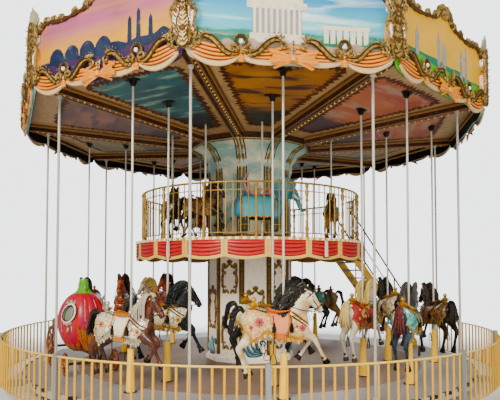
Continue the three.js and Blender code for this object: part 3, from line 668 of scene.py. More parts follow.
def platform_bay(bay):
    rim = PLATFORM_R + 0.003
    reach = math.asin(SECTION_GAP / PLATFORM_R)
    parts = [
        ring_sector(COLUMN_R + 0.001, CHEQUER_FROM, FLOOR_UNDER + 0.03, FLOOR_TOP, 8, FLOORING),
        ring_sector(CHEQUER_FROM + 0.002, PLATFORM_R - 0.03, FLOOR_UNDER + 0.03, FLOOR_TOP, 12, PLATE),
        ring_sector(PLATFORM_R - 0.028, PLATFORM_R, FLOOR_UNDER, FLOOR_TOP, 12, RIM),
        ring_sector(COLUMN_R + 0.06, PLATFORM_R - 0.06, FLOOR_UNDER, FLOOR_UNDER + 0.028, 8, RUBBER),
    ]
    step = BAY / RIM_DASHES
    for dash in range(RIM_DASHES):
        start = -BAY / 2 + step * dash + reach
        outer = arc(rim, start, start + step * 0.5, 0, 2)[:, :2]
        inner = arc(PLATFORM_R - 0.05, start + step * 0.5, start, 0, 2)[:, :2]
        parts.append(slab([*outer, *inner], FLOOR_TOP - 0.05, FLOOR_TOP + 0.002, RUBBER))
    if bay in HORSE_BAYS:
        parts += [stand(OUTER_ROW), stand(INNER_ROW)]
    node = f"platform_section_{bay:02d}"
    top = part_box(node)[1][2]
    x, y = bay_edge(DROP_ROD_AT, 1, DROP_ROD_INSET)
    foot = [(0, FLOOR_TOP), (0.05, FLOOR_TOP), (0.045, FLOOR_TOP + 0.03), (DROP_ROD_ROUND, FLOOR_TOP + 0.05)]
    head = [(DROP_ROD_ROUND, top - 0.06), (0.045, top - 0.04), (0.045, top), (0, top)]
    parts.append(rod(x, y, FLOOR_TOP, top, DROP_ROD_ROUND, 12, DROP_ROD))
    parts += [lathe(profile, 12, DROP_ROD).moved(x, y) for profile in (foot, head)]
    materials = [BOARDS, CHEQUER, PALE_STEEL, STAND_YELLOW, WHITE_ENAMEL, BLACK]
    form = gathered(parts).turned(BAY * bay)
    made(f"platform_bay_{bay:02d}", form, materials, "carousel", replaces=[node], slot="deck_plate")


for bay in range(BAYS):
    platform_bay(bay)


# Lower column
# Ten cream fibreglass panels stand round the mast. Every other one has a gilt rocaille frame above and one
# below, and the rest one frame and a blue plume. Old-gold strips run up both sides of every corner.
# The gilding is rubbed dark in its hollows.
PANEL_LOW = 0.46
PANEL_HIGH = 2.58
COLUMN_FACE = COLUMN_R * math.cos(BAY / 2)
COLUMN_HALF = COLUMN_R * math.sin(BAY / 2)
COLUMN_STUDS = 84
CARVED, FIELD, STRIP, PLUME, PLUME_EDGE = range(5)


def patches(one, other, low, high, scale, detail, stretch=(1.0, 1.0, 1.0), **more):
    """A pattern for finish: two paints, mixed where a noise lies between low and high."""

    def paint(tree):
        place = put(tree, "ShaderNodeTexCoord").outputs["Object"]
        stretched = put(tree, "ShaderNodeMapping", {"Vector": place, "Scale": stretch}).outputs[0]
        share = level(tree, noise(tree, scale, detail, stretched, **more), low, high)
        return blend(tree, share, rgb(one), rgb(other))

    return paint


CREAM = finish(
    "cream_casing", (1.08, 1.02, 0.92), 0.4, coat=0.25, dirt=0.25, dirt_colour=(0.4, 0.32, 0.25), grain=18.0
)
BLUSH = finish(
    "blush_panel", (1.04, 0.92, 0.88), 0.4, coat=0.25, dirt=0.2, dirt_colour=(0.5, 0.36, 0.3), grain=14.0
)
STRIP_BROWN = finish(
    "strip_brown", (0.3, 0.18, 0.07), 0.42, 0.2, coat=0.2, dirt=0.8, dirt_colour=(0.1, 0.05, 0.015), bump=0.4,
    grain=36.0,
)
PLUME_BLUE = finish(
    "plume_blue", (0.12, 0.26, 0.32), 0.4, coat=0.3, dirt=0.6, dirt_colour=(0.01, 0.02, 0.03), grain=14.0
)
PLUME_PALE = finish("plume_pale", (0.5, 0.68, 0.7), 0.4, coat=0.3, dirt=0.3)
OLD_GILT = patches((0.12, 0.07, 0.025), (0.6, 0.45, 0.17), 0.38, 0.56, 26.0, 4.0)
OLD_GOLD = finish("old_gold", (0.4, 0.27, 0.1), 0.38, 0.35, pattern=OLD_GILT, dirt=0.5, bump=0.6, grain=60.0)


def spiral(centre, start_r, end_r, start, turn, steps=14):
    """Points (x, z) on a spiral about a centre, from an angle and round by turn."""
    share = np.linspace(0, 1, steps)
    r = start_r + (end_r - start_r) * share
    angle = start + turn * share
    return np.stack([centre[0] + r * np.cos(angle), centre[1] + r * np.sin(angle)], 1)


def smooth_line(points, steps=6):
    """A Catmull-Rom line through points of any dimension."""
    points = np.asarray(points, float)
    ends = np.vstack([2 * points[0] - points[1], points, 2 * points[-1] - points[-2]])
    line = []
    for i in range(1, len(ends) - 2):
        a, b, c, d = ends[i - 1 : i + 3]
        for t in np.arange(steps) / steps:
            bend = (2 * a - 5 * b + 4 * c - d) * t**2 + (3 * b - a - 3 * c + d) * t**3
            line.append(0.5 * (2 * b + (c - a) * t + bend))
    return np.array([*line, points[-1]])


def upright_bar(line, wide, deep, front, finish=0, sides=6, taper=True):
    """A moulding bar along an (x, z) line on a wall whose face is at y = front."""
    path = np.stack([line[:, 0], np.full(len(line), front), line[:, 1]], 1)
    share = np.linspace(0, 1, len(path))
    swell = 0.35 + 0.65 * np.sin(math.pi * share) ** 0.5 if taper else np.ones(len(path))
    return sweep(path, wide * swell, deep * swell, sides=sides, finish=finish)


def rocaille_frame(half, low, high, front, wide=0.02, finish=0):
    """A frame of C and S scrolls with a shell crest, symmetrical about x = 0."""
    tall = high - low
    slim, corner = half * 0.86, (half, high - 0.07)
    right = [(0.02, high), (half * 0.45, high - 0.05), (half * 0.8, high + 0.01), corner]
    side = [corner, (slim, high - tall * 0.3), (half, high - tall * 0.55), (slim, low + 0.07)]
    foot = [(slim, low + 0.07), (half * 0.8, low), (half * 0.4, low + 0.04), (0.02, low - 0.03)]
    curls = [
        spiral((half * 0.62, high - 0.06), 0.045, 0.01, math.pi / 2, -4.5),
        spiral((half * 0.7, high - tall * 0.32), 0.05, 0.012, 0.3, 4.5),
        spiral((half * 0.68, low + 0.1), 0.045, 0.01, -0.6, 4.4),
    ]
    parts = [upright_bar(smooth_line(line), wide, wide * 0.75, front, finish) for line in (right, side, foot)]
    parts += [upright_bar(line, wide * 0.6, wide * 0.6, front, finish) for line in curls]
    parts.append(gilt_leaves(low + 0.08, high - 0.1, half * 0.93, front - 0.012, 0.085, finish))
    parts += [part.mirrored() for part in parts]
    for leaf in range(5):
        angle = math.pi / 2 + (leaf - 2) * 0.42
        tip = (0.09 * math.cos(angle), high + 0.02 + 0.1 * math.sin(angle))
        parts.append(upright_bar(smooth_line([(0, high - 0.02), tip]), 0.018, 0.022, front, finish))
    return gathered(parts)


def reshaped(form, stack):
    """The form after a stack of modifiers, each given as its kind and settings."""
    mesh = bpy.data.meshes.new("raw")
    mesh.from_pydata(form.points.tolist(), [], form.faces)
    mesh.polygons.foreach_set("material_index", form.finishes)
    for _ in range(max(form.finishes) + 1):
        mesh.materials.append(None)
    holder = bpy.data.objects.new("raw", mesh)
    bpy.context.collection.objects.link(holder)
    for kind, settings in stack:
        modifier = holder.modifiers.new(kind, kind)
        for key, value in settings.items():
            setattr(modifier, key, value)
    ready = bpy.data.meshes.new_from_object(holder.evaluated_get(bpy.context.evaluated_depsgraph_get()))
    faces = [tuple(p.vertices) for p in ready.polygons]
    result = Form([v.co[:] for v in ready.vertices], faces, [p.material_index for p in ready.polygons])
    bpy.data.objects.remove(holder)
    for spare in (mesh, ready):
        bpy.data.meshes.remove(spare)
    return result


def thinned(form, share):
    """The form with a share of its faces, fewest where it is flattest."""
    return reshaped(form, [("DECIMATE", {"ratio": share})])


def corner_strips(wide):
    """Flat brown strips on both sides of a corner."""
    heights = np.linspace(PANEL_LOW, PANEL_HIGH, 9)
    line = np.array([(COLUMN_HALF - wide / 2, -COLUMN_FACE - 0.004, z) for z in heights])
    return gathered([sweep(line * (side, 1, 1), wide / 2, 0.009, sides=4, finish=STRIP) for side in (-1, 1)])


def gilt_leaves(low, high, x, front, size, finish=0):
    """A climbing row of small leaves, turned left and right by turns."""
    parts = []
    count = max(2, round((high - low) / size))
    for i in range(count):
        z = low + (high - low) * (i + 0.5) / count
        lean = size * 0.35 * (-1) ** i
        line = smooth_line([(x - lean, z - size * 0.45), (x + lean * 0.2, z), (x + lean, z + size * 0.4)], 4)
        parts.append(upright_bar(line, size * 0.26, 0.012, front, finish, sides=5))
    return gathered(parts)


def blue_plume(front):
    """A painted plume of four feathers that end in a curl, on the foot of a panel."""
    parts = []
    bellies = [(-0.12, 0.45), (-0.1, 0.53), (-0.04, 0.6), (0.03, 0.65)]
    tips = [(-0.24, 0.62), (-0.2, 0.72), (-0.1, 0.79), (0.0, 0.83)]
    for i in range(4):
        line = smooth_line([(0.15, 0.47), bellies[i], tips[i]])
        parts.append(upright_bar(line, 0.042, 0.016 + 0.005 * i, front, PLUME))
        parts.append(upright_bar(line + (0.006, 0.012), 0.009, 0.024 + 0.005 * i, front, PLUME_EDGE))
    curl = spiral((0.14, 0.72), 0.075, 0.02, -1.2, 6.5, 20)
    parts.append(upright_bar(curl, 0.024, 0.034, front, PLUME))
    parts.append(upright_bar(curl + (0, 0.006), 0.006, 0.042, front, PLUME_EDGE))
    return gathered(parts)


def corner_studs():
    """A row of gilt studs up the corner between two strips."""
    line = [(COLUMN_HALF, -COLUMN_FACE, z) for z in np.linspace(PANEL_LOW, PANEL_HIGH, COLUMN_STUDS)]
    return sweep(line, np.where(np.arange(COLUMN_STUDS) % 2, 0.014, 0.026), sides=6)


def lower_column():
    face = -COLUMN_FACE - 0.004
    plain = [corner_strips(0.07), corner_studs()]
    field = lambda low, high: board(upright(-0.13, 0.13, low, high), face + 0.001, face + 0.006, FIELD)
    frame_round = lambda low, high: rocaille_frame(0.185, low, high, face, 0.036, CARVED)
    framed = lambda low, high: gathered([frame_round(low, high), field(low + 0.06, high - 0.1)])
    parts = []
    for bay in range(BAYS):
        group = [framed(1.8, 2.4), framed(0.6, 1.26)] if bay % 2 else [framed(1.02, 1.83), blue_plume(face)]
        parts.append(gathered(group + plain).turned(BAY * bay))
    coats = [OLD_GOLD, BLUSH, STRIP_BROWN, PLUME_BLUE, PLUME_PALE]
    made("column_gilding", thinned(gathered(parts), 0.66), coats, "carousel", slot="gilt")
    dress("lower_column", CREAM)


lower_column()


# Upper deck
# A round timber floor on ten brackets, with boards that run out from the column and a brown painted soffit.
# The steel brackets are boxed in and edged with gilt beading.
DECK = 2.89
DECK_UNDER = 2.77
DECK_BOARDS = 60
DECK_BOARDS_END = 2.405
SOFFIT_PANEL = (1.12, 2.36)


def deck_boards():
    edge = math.pi / DECK_BOARDS - 0.002
    inner, outer = (arc(r, -edge, edge, 0, 1)[:, :2] for r in (COLUMN_R + 0.06, DECK_BOARDS_END))
    plank = slab([*outer, *inner[::-1]], DECK, DECK + 0.004)
    return [plank.turned(TURN * i / DECK_BOARDS) for i in range(DECK_BOARDS)]


def soffit_panel(bay):
    """A moulded frame under the deck, between two brackets."""
    inner, outer = SOFFIT_PANEL
    z = DECK_UNDER - 0.006
    lines = []
    for r in (inner, outer):
        edge = BAY / 2 - 0.09 / r
        lines.append(arc(r, -edge, edge, z, 8))
    sides = [np.array([lines[0][i], lines[1][i]]) for i in (0, -1)]
    parts = [sweep(line, 0.022, 0.012, side=(0, 0, -1), sides=6, finish=1) for line in [*lines, *sides]]
    return gathered(parts).turned(BAY * bay)


def bracket_beads(bay):
    """Gilt beads along both faces of a bracket's lower edge."""
    bead = lathe([(0, -0.014), (0.02, -0.004), (0.02, 0.004), (0, 0.014)], 6, 1).turned(math.pi / 2, "Y")
    out = np.linspace(1.1, 2.36, 14)
    up = 2.59 + (out - 1.05) * (0.14 / 1.33) + 0.02
    parts = [bead.moved(side * 0.033, -y, z) for side in (-1, 1) for y, z in zip(out, up)]
    return gathered(parts).turned(BAY * (bay + 0.5))


DECK_TIMBER = finish(
    "deck_timber", (0.3, 0.2, 0.13), 0.6, dirt=0.4, wear=0.4, worn_colour=(0.45, 0.36, 0.27), grain=30.0
)
SOFFIT_BROWN = finish("soffit_brown", (0.16, 0.08, 0.04), 0.5, dirt=0.3, grain=20.0)
GILT = finish(
    "bright_gilt", (0.6, 0.45, 0.2), 0.36, 0.45, dirt=0.45, dirt_colour=(0.09, 0.045, 0.015), bump=0.4,
    grain=45.0,
)
dress("upper_deck", SOFFIT_BROWN)
made("deck_boards", gathered(deck_boards()), [DECK_TIMBER], "carousel", slot="gilt")
mouldings = [soffit_panel(bay) for bay in range(BAYS)] + [bracket_beads(bay) for bay in range(BAYS)]
made("deck_mouldings", gathered(mouldings), [SOFFIT_BROWN, GILT], "carousel", slot="gilt")


# Deck valance
# Moulded fibreglass made to look like hung cloth: twenty red swags with cream ribs and a cream hem between.
# Every fourth swag has a pink ribbon down its middle. A yellow cornice of square dentils caps it.
# Each swag's folds are painted a deeper red as shade in their valleys and a paler red as a highlight on their
# ridges.
VALANCE_R = 2.56
VALANCE_IN = 2.525
SWAGS = 20
SWAG_FIRST = math.radians(-9)
SWAG_HALF = 0.345
SWAG_TOP = 2.836
SWAG_FOLDS = 4
FOLD_ROWS = 5
HEM_LOW = 2.52
HEM_SAG = 0.055
DENTILS = 114
RIBBON_SWAGS = (2, 6, 10, 14, 18)
SWAG, HEM_BAND, RIBBON, CORNICE, DENTIL, SWAG_VALLEY, SWAG_PAINTED_HIGHLIGHT = range(7)


def bent(form, radius):
    """Wraps a flat form round the mast: x runs along the circle, and -y stands out from it."""
    angle = form.points[:, 0] / radius
    r = radius - form.points[:, 1]
    points = np.stack([r * np.sin(angle), -r * np.cos(angle), form.points[:, 2]], 1)
    return Form(points, form.faces, form.finishes)


def grid(points, finish=0):
    """Quads over a block of points given as rows of columns; a finish may be a function of (row, column)."""
    rows, columns = points.shape[:2]
    faces, finishes = [], []
    for r in range(rows - 1):
        for c in range(columns - 1):
            i = r * columns + c
            faces.append((i, i + 1, i + columns + 1, i + columns))
            finishes.append(finish(r, c) if callable(finish) else finish)
    return Form(points.reshape(-1, 3), faces, finishes)


def fold_paint(rows, cloth, valley, ridge):
    """The finish of a row of faces: painted shade in the valley between folds, a painted highlight on the
    ridge.
    """
    return lambda row, column: {0: valley, rows // 2: ridge}.get(row % rows, cloth)


def hung_cloth(left, right, top, end_drop, sag, folds, swell, finish, columns=14):
    """A swag in relief between two points of a wall. Its folds follow the sag, and each swells out."""
    across = np.linspace(-1, 1, columns)
    down = np.linspace(0, 1, folds * FOLD_ROWS + 1)
    top = np.broadcast_to(top, columns)
    block = np.zeros((len(down), columns, 3))
    for j, v in enumerate(down):
        drop = v * (end_drop + sag * (1 - across**2))
        share = 1 - 0.75 * np.abs(across) ** 3
        relief = 0.004 + swell * share * (
            0.35 + 0.65 * np.abs(math.sin(math.pi * folds * v)) ** 0.7
        ) * min(1, 8 * v)
        block[j] = np.stack([left + (right - left) * (across + 1) / 2, -relief, top - drop], 1)
    return grid(block[::-1], finish)


def fringe_band(left, right, top, low, out, finish=0, columns=14):
    """A plain band that follows a scalloped line; top and low are functions of -1..1 across it."""
    across = np.linspace(-1, 1, columns)
    x = left + (right - left) * (across + 1) / 2
    rows = []
    for share, depth in [(0, 0.0), (0, out), (0.25, out * 1.25), (0.9, out), (1.0, out * 0.6), (1.0, 0.0)]:
        z = low(across) + (top(across) - low(across)) * share
        rows.append(np.stack([x, np.full(columns, -depth), z], 1))
    return grid(np.array(rows), finish)


def valance():
    pitch = TURN / SWAGS * VALANCE_R
    folds = fold_paint(FOLD_ROWS, SWAG, SWAG_VALLEY, SWAG_PAINTED_HIGHLIGHT)
    parts = []
    hem_top = lambda u: HEM_LOW + 0.075 - HEM_SAG * (1 - u**2)
    hem_low = lambda u: HEM_LOW - HEM_SAG * (1 - u**2) + 0.012
    for i in range(SWAGS):
        group = [
            hung_cloth(-SWAG_HALF, SWAG_HALF, SWAG_TOP, 0.245, 0.06, SWAG_FOLDS, 0.026, folds),
            fringe_band(-pitch / 2, pitch / 2, hem_top, hem_low, 0.016, HEM_BAND, 16),
            board(upright(-0.03, 0.03, 2.56, 2.84), -0.024, 0.0, HEM_BAND).moved(x=-pitch / 2 + 0.034),
            board(upright(-0.026, 0.026, 2.56, 2.84), -0.02, 0.0, HEM_BAND).moved(x=pitch / 2 - 0.032),
        ]
        if i in RIBBON_SWAGS:
            ribbon = [(-0.042, 2.53), (0.042, 2.53), (0.036, 2.836), (-0.036, 2.836)]
            backing = [(-0.07, 2.51), (0.07, 2.51), (0.06, 2.836), (-0.06, 2.836)]
            group += [board(ribbon, -0.036, 0.0, RIBBON), board(backing, -0.029, 0.0, SWAG_VALLEY)]
        angle = SWAG_FIRST + TURN * i / SWAGS
        parts.append(bent(gathered(group), VALANCE_R - 0.004).turned(angle))
    dentil = bent(board(upright(-0.036, 0.036, 2.844, 2.892), -0.036, 0.0, DENTIL), VALANCE_R - 0.004)
    rim = [dentil.turned(TURN * i / DENTILS) for i in range(DENTILS)]
    ring = [(-0.006, 2.52), (-0.006, 2.836), (0.018, 2.84), (0.018, 2.893), (0.012, 2.8965)]
    ring = [(VALANCE_R + out, z) for out, z in ring]
    inside = [(2.415, 2.8965), (2.415, 2.8905), (VALANCE_IN, 2.8905), (VALANCE_IN, 2.52)]
    parts.append(lathe([(VALANCE_IN, 2.52), *ring, *inside], 120, CORNICE))
    form = gathered(parts + rim)
    coats = [RED, BUTTER, PINK, CORNICE_YELLOW, DENTIL_WHITE, RED_VALLEY, RED_PAINTED_HIGHLIGHT]
    made("deck_drapery", form, coats, "carousel", replaces=["deck_valance"], slot="red_valance")


RED = finish(
    "swag_red", (0.6, 0.0, 0.02), 0.5, coat=0.05, dirt=0.25, dirt_colour=(0.2, 0.0, 0.01), grain=20.0
)
# Painted shade for the swags' fold valleys, also the dark red edge behind each ribbon, and a painted
# highlight for their ridges.
RED_VALLEY = finish("swag_valley", (0.3, 0.0, 0.01), 0.55, dirt=0.2, dirt_colour=(0.1, 0.0, 0.0))
RED_PAINTED_HIGHLIGHT = finish("swag_ridge", (0.74, 0.04, 0.06), 0.32, coat=0.3, dirt=0.2, dirt_colour=(0.5, 0.0, 0.02))
BUTTER = finish("butter_cream", (0.95, 0.72, 0.34), 0.4, coat=0.25, dirt=0.3, dirt_colour=(0.5, 0.28, 0.08))
PINK = finish("faded_pink", (0.92, 0.68, 0.66), 0.4, coat=0.25, dirt=0.2)
CORNICE_YELLOW = finish(
    "cornice_yellow", (0.86, 0.54, 0.14), 0.4, coat=0.25, dirt=0.4, dirt_colour=(0.35, 0.16, 0.03)
)
DENTIL_WHITE = finish(
    "dentil_white", (0.92, 0.85, 0.7), 0.4, coat=0.25, dirt=0.3, dirt_colour=(0.5, 0.3, 0.12)
)
valance()


# Deck railing
# Gilt steel bars stand between a round handrail and a low rail, and every seventh is a turned post.
# The row is open where the stair comes up.
RAILING_R = 2.45
HANDRAIL_TOP = 3.95
LOW_DECK_RAIL = 2.98
RAILING_BARS = 100
POST_EVERY = 7
RAILING_OPEN = 0.46 / RAILING_R


def turned_post(foot, head, radius):
    tall = head - foot
    shares = [(0, 1.0), (0.06, 1.0), (0.07, 0.55), (0.16, 1.15), (0.26, 0.6), (0.3, 0.95), (0.34, 0.5)]
    shares += [(0.5, 0.8), (0.66, 0.5), (0.7, 0.95), (0.74, 0.6)]
    shares += [(0.84, 1.15), (0.93, 0.55), (0.94, 1.0), (1.0, 1.0)]
    return lathe([(0, foot), *[(radius * r, foot + tall * t) for t, r in shares], (0, head)], 10)


def deck_railing():
    first = BAY * STAIR_BAY + RAILING_OPEN
    last = first + TURN - 2 * RAILING_OPEN
    parts = []
    rails = [(HANDRAIL_TOP - 0.02, 0.02, 8), (HANDRAIL_TOP - 0.17, 0.01, 6), (LOW_DECK_RAIL, 0.011, 6)]
    for z, thick, sides in rails:
        parts.append(sweep(arc(RAILING_R, first, last, z, 90), thick, side=(0, 0, 1), sides=sides))
    step = (last - first - 0.03) / RAILING_BARS
    sizes = {"radius": RAILING_R, "bar_radius": 0.011, "foot": LOW_DECK_RAIL, "head": 3.93, "sides": 6}
    sizes |= {"count": RAILING_BARS + 1, "step": step, "first_angle": first + 0.015}
    parts.append(grown(RING_OF_BARS, RING_FINISH, GILT, **sizes))
    post = turned_post(2.897, 3.915, 0.036).moved(y=-RAILING_R)
    parts += [post.turned(first + 0.015 + step * i) for i in range(0, RAILING_BARS + 1, POST_EVERY)]
    made("deck_rail", gathered(parts), [GILT], "carousel", replaces=["deck_railing"], slot="gilt")


deck_railing()


# Stair
# A steep steel flight from the platform to the gap in the railing: yellow strings, chequer treads with
# pale nosings, and brown tube handrails on both sides with a knee rail.
STAIR_HALF = 0.4
STAIR_TOP_R = 2.5603
STAIR_RUN = 2.08
STAIR_STEPS = 12
STRING_THICK = 0.04
STAIR_RAIL_UP = 0.9
STRING, HANDRAIL, TREAD, NOSING = range(4)


def stair():
    rise = DECK - FLOOR_TOP
    slope = rise / STAIR_RUN
    low = STAIR_TOP_R + STAIR_RUN
    side = [(low, FLOOR_TOP), (low, FLOOR_TOP + 0.15), (STAIR_TOP_R, DECK)]
    side += [(STAIR_TOP_R, DECK - 0.285), (low - 0.12, FLOOR_TOP)]
    on_slope = lambda run, up: (STAIR_TOP_R + run, DECK - run * slope + up)
    parts = []
    for hand in (-1, 1):
        x = hand * (STAIR_HALF - STRING_THICK / 2)
        string = board(side[::-1], -STRING_THICK / 2, STRING_THICK / 2, STRING).turned(-math.pi / 2)
        parts.append(string.moved(x=x))
        for up, thick in ((STAIR_RAIL_UP - 0.02, 0.02), (STAIR_RAIL_UP * 0.52, 0.013)):
            line = [on_slope(run, up) for run in (0.02, 0.6, 1.3, STAIR_RUN - 0.12)]
            ends = [(STAIR_TOP_R + 0.02, DECK + up - 0.13), *line] if up > 0.6 else line
            rail = [(x, -r, z) for r, z in ends]
            parts.append(sweep(rail, thick, side=(1, 0, 0), sides=8, finish=HANDRAIL))
        for run in (0.05, 0.72, 1.36, STAIR_RUN - 0.13):
            r, z = on_slope(run, 0)
            parts.append(rod(x, -r, z - 0.06, z + STAIR_RAIL_UP - 0.02, 0.016, 8, HANDRAIL))
    going = STAIR_RUN / STAIR_STEPS
    inside = STAIR_HALF - STRING_THICK
    for i in range(STAIR_STEPS):
        z = FLOOR_TOP + rise * (i + 1) / (STAIR_STEPS + 1)
        out = low - going * (i + 0.35)
        parts.append(slab(upright(-inside, inside, -out, -out + going + 0.04), z - 0.03, z, TREAD))
        parts.append(slab(upright(-inside, inside, -out - 0.004, -out + 0.03), z - 0.034, z + 0.003, NOSING))
    form = gathered(parts).turned(BAY * STAIR_BAY)
    coats = [YELLOW, RAIL_BROWN, CHEQUER, PALE_STEEL]
    made("deck_stair", form, coats, "carousel", replaces=["stair"], slot="yellow_enamel")


RAIL_BROWN = finish("handrail_brown", (0.2, 0.08, 0.03), 0.4, coat=0.2, dirt=0.2)
stair()


# Upper column
# The casing above the deck flares out under the sweeps. Its fibreglass panels are painted as a pale sky,
# and old-gold strips with brown edges and gilt beads climb every corner into the flare.
FLARE = [(0.96, 2.98), (0.96, 4.42), (1.02, 4.71), (1.15, 4.91), (1.38, 5.03)]
SKY_STRIP_IN = 0.1
SKY_STRIP, SKY_EDGE, SKY_BEAD = range(3)


def on_flare(side, inset, lift, steps):
    """Points on the casing from foot to flare, at a distance in from the corner and out from its face."""
    line = smooth_line(FLARE, steps)
    return [(side * (r * math.sin(BAY / 2) - inset), -(r * math.cos(BAY / 2)) - lift, z) for r, z in line]


def upper_column():
    bead = lathe([(0, -0.02), (0.015, -0.012), (0.015, 0.012), (0, 0.02)], 6, SKY_BEAD)
    group = []
    for side in (-1, 1):
        group.append(sweep(on_flare(side, 0.04, 0.004, 5), 0.042, 0.012, sides=4, finish=SKY_STRIP))
        group.append(sweep(on_flare(side, SKY_STRIP_IN, 0.004, 5), 0.02, 0.016, sides=4, finish=SKY_EDGE))
        group += [bead.moved(*spot) for spot in on_flare(side, 0.04, 0.017, 9)[2::2]]
    top = -FLARE[-1][0] * math.cos(BAY / 2) + 0.01
    group.append(sweep([(-0.4, top, 5.02), (0.4, top, 5.02)], 0.018, 0.018, sides=6))
    foot = -COLUMN_FACE - 0.004
    group.append(sweep([(-0.25, foot, 3.03), (0.25, foot, 3.03)], 0.03, 0.014, sides=6))
    strips = gathered([gathered(group).turned(BAY * bay) for bay in range(BAYS)])
    made("sky_column_strips", strips, [OLD_GOLD, SOFFIT_BROWN, GILT], "carousel", slot="gilt")
    dress("upper_column", SKY)


CLOUDS = patches((0.4, 0.55, 0.5), (0.86, 0.82, 0.7), 0.42, 0.66, 1.6, 5.0, (1.0, 1.0, 1.9), roughness=0.55)
SKY = finish(
    "painted_sky_casing", (0.5, 0.6, 0.62), 0.42, coat=0.2, pattern=CLOUDS, dirt=0.3,
    dirt_colour=(0.12, 0.16, 0.14),
)
upper_column()


# Sweeps
# Ten box beams slope up from the hub. They are stained brown, edged with tan stepped mouldings, and carry
# a row of small amber lamps.
SWEEP_SLOPE = 0.09
SWEEP_HUB_R = 1.39
SWEEP_UNDER = 5.04
SWEEP_DEEP = 0.13
BULBS_PER_SWEEP = 26
BULB_FIRST = 1.62
BULB_PITCH = 0.125
BULB_R = 0.017
TAN_PAINT, DARK_PAINT, BAND_PAINT = range(3)


def row_of_bulbs():
    """Round lamps at equal steps on a sloping line out from the mast."""
    inputs = {"Count": 10, "First": 1.5, "Pitch": 0.1, "Side": 0.0, "Height": 5.0, "Slope": 0.1}
    tree, given = new_tree("row_of_bulbs", {**inputs, "Bulb Radius": 0.02})
    index = put(tree, "GeometryNodeInputIndex").outputs[0]
    out = calc(tree, "MULTIPLY_ADD", index, given["Pitch"], given["First"])
    y = calc(tree, "MULTIPLY", out, -1.0)
    z = calc(tree, "MULTIPLY_ADD", out, given["Slope"], given["Height"])
    spot = put(tree, "ShaderNodeCombineXYZ", {"X": given["Side"], "Y": y, "Z": z}).outputs[0]
    bulb = put(tree, "GeometryNodeMeshUVSphere", {"Segments": 7, "Rings": 4, "Radius": given["Bulb Radius"]})
    return set_on_points(tree, given["Count"], spot, bulb.outputs[0])


def amber_bulb():
    """Glass that glows a little, brighter in patches."""
    material = bpy.data.materials.new("amber_lamp")
    material.use_nodes = True
    tree = material.node_tree
    shader = tree.nodes["Principled BSDF"]
    tone = blend(tree, noise(tree, 30.0), rgb((0.75, 0.42, 0.12)), rgb((0.95, 0.75, 0.4)))
    tree.links.new(tone, shader.inputs["Base Color"])
    tree.links.new(tone, shader.inputs["Emission Color"])
    shader.inputs["Emission Strength"].default_value = 0.25
    shader.inputs["Roughness"].default_value = 0.15
    return material


def on_sweep(r, up=0.0):
    return SWEEP_UNDER + SWEEP_SLOPE * (r - SWEEP_HUB_R) + up


def sweep_trim(bay):
    start, stop = 1.42, 4.93
    bars = [(-0.045, -0.003, 0.02, 0.005, BAND_PAINT), (0.012, -0.003, 0.009, 0.007, TAN_PAINT)]
    for side in (-1, 1):
        bars.append((side * 0.088, -0.004, 0.012, 0.008, TAN_PAINT))
        bars.append((side * 0.118, 0.095, 0.018, 0.026, TAN_PAINT))
        bars.append((side * 0.15, 0.113, 0.014, 0.014, DARK_PAINT))
    parts = []
    for x, up, wide, deep, kind in bars:
        end = stop - abs(x) * 0.4
        line = [(x, -r, on_sweep(r, up)) for r in (start, (start + end) / 2, end)]
        parts.append(sweep(line, wide, deep, side=(0, 0, -1), sides=4, finish=kind))
    return gathered(parts).turned(BAY * (bay + 0.5))


WOOD_STREAKS = patches((0.05, 0.018, 0.01), (0.17, 0.075, 0.035), 0.35, 0.68, 9.0, 6.0, distortion=1.5)
STAIN = finish("brown_stain", (0.1, 0.04, 0.02), 0.4, coat=0.3, pattern=WOOD_STREAKS, dirt=0.2)
TAN = finish(
    "tan_moulding", (0.5, 0.33, 0.17), 0.45, dirt=0.5, dirt_colour=(0.14, 0.06, 0.02), wear=0.2, grain=30.0
)
BROWN_MOULDING = finish("brown_moulding", (0.3, 0.15, 0.06), 0.45, dirt=0.4, grain=30.0)
MAROON = finish("maroon_band", (0.06, 0.015, 0.012), 0.4, coat=0.3, dirt=0.2)
AMBER = amber_bulb()
BULB_ROW, BULB_FINISH = row_of_bulbs()
dress("sweeps", STAIN)
trims = gathered([sweep_trim(bay) for bay in range(BAYS)])
coats = [TAN, BROWN_MOULDING, MAROON]
made("sweep_mouldings", trims, coats, "carousel", smooth=False, slot="painted_timber")
sizes = {"count": BULBS_PER_SWEEP, "first": BULB_FIRST, "pitch": BULB_PITCH, "side": 0.055}
sizes |= {"height": on_sweep(0) - BULB_R * 0.6, "slope": SWEEP_SLOPE, "bulb_radius": BULB_R}
bulbs = grown(BULB_ROW, BULB_FINISH, AMBER, **sizes)
lamps = gathered([bulbs.turned(BAY * (bay + 0.5)) for bay in range(BAYS)])
made("sweep_lamps", lamps, [AMBER], "carousel", slot="painted_timber")


# Ceiling
# Ten plywood panels between the sweeps, painted tan with a scene in a brown feathered border on each.
# A black cast guide is screwed under the panel where each pole goes through.
PANEL_NEAR = 1.72
PANEL_FAR = 4.16
PANEL_DROP = 0.004
FEATHER = 0.11
GUIDE_DROP = 0.085
PALETTES = {
    "amber": [(0.42, 0.2, 0.05), (0.62, 0.35, 0.1), (0.12, 0.045, 0.015), (0.012, 0.01, 0.008)],
    "teal": [(0.0, 0.14, 0.17), (0.0, 0.26, 0.28), (0.3, 0.42, 0.36), (0.004, 0.025, 0.05)],
    "plum": [(0.22, 0.13, 0.1), (0.42, 0.25, 0.2), (0.16, 0.1, 0.14), (0.05, 0.03, 0.03)],
    "rose": [(0.48, 0.1, 0.06), (0.64, 0.27, 0.11), (0.54, 0.37, 0.27), (0.1, 0.035, 0.04)],
    "olive": [(0.3, 0.24, 0.1), (0.5, 0.36, 0.2), (0.14, 0.16, 0.12), (0.05, 0.03, 0.02)],
}
CEILING_THEMES = ["amber", "rose", "rose", "olive", "teal", "plum", "amber", "olive", "plum", "teal"]


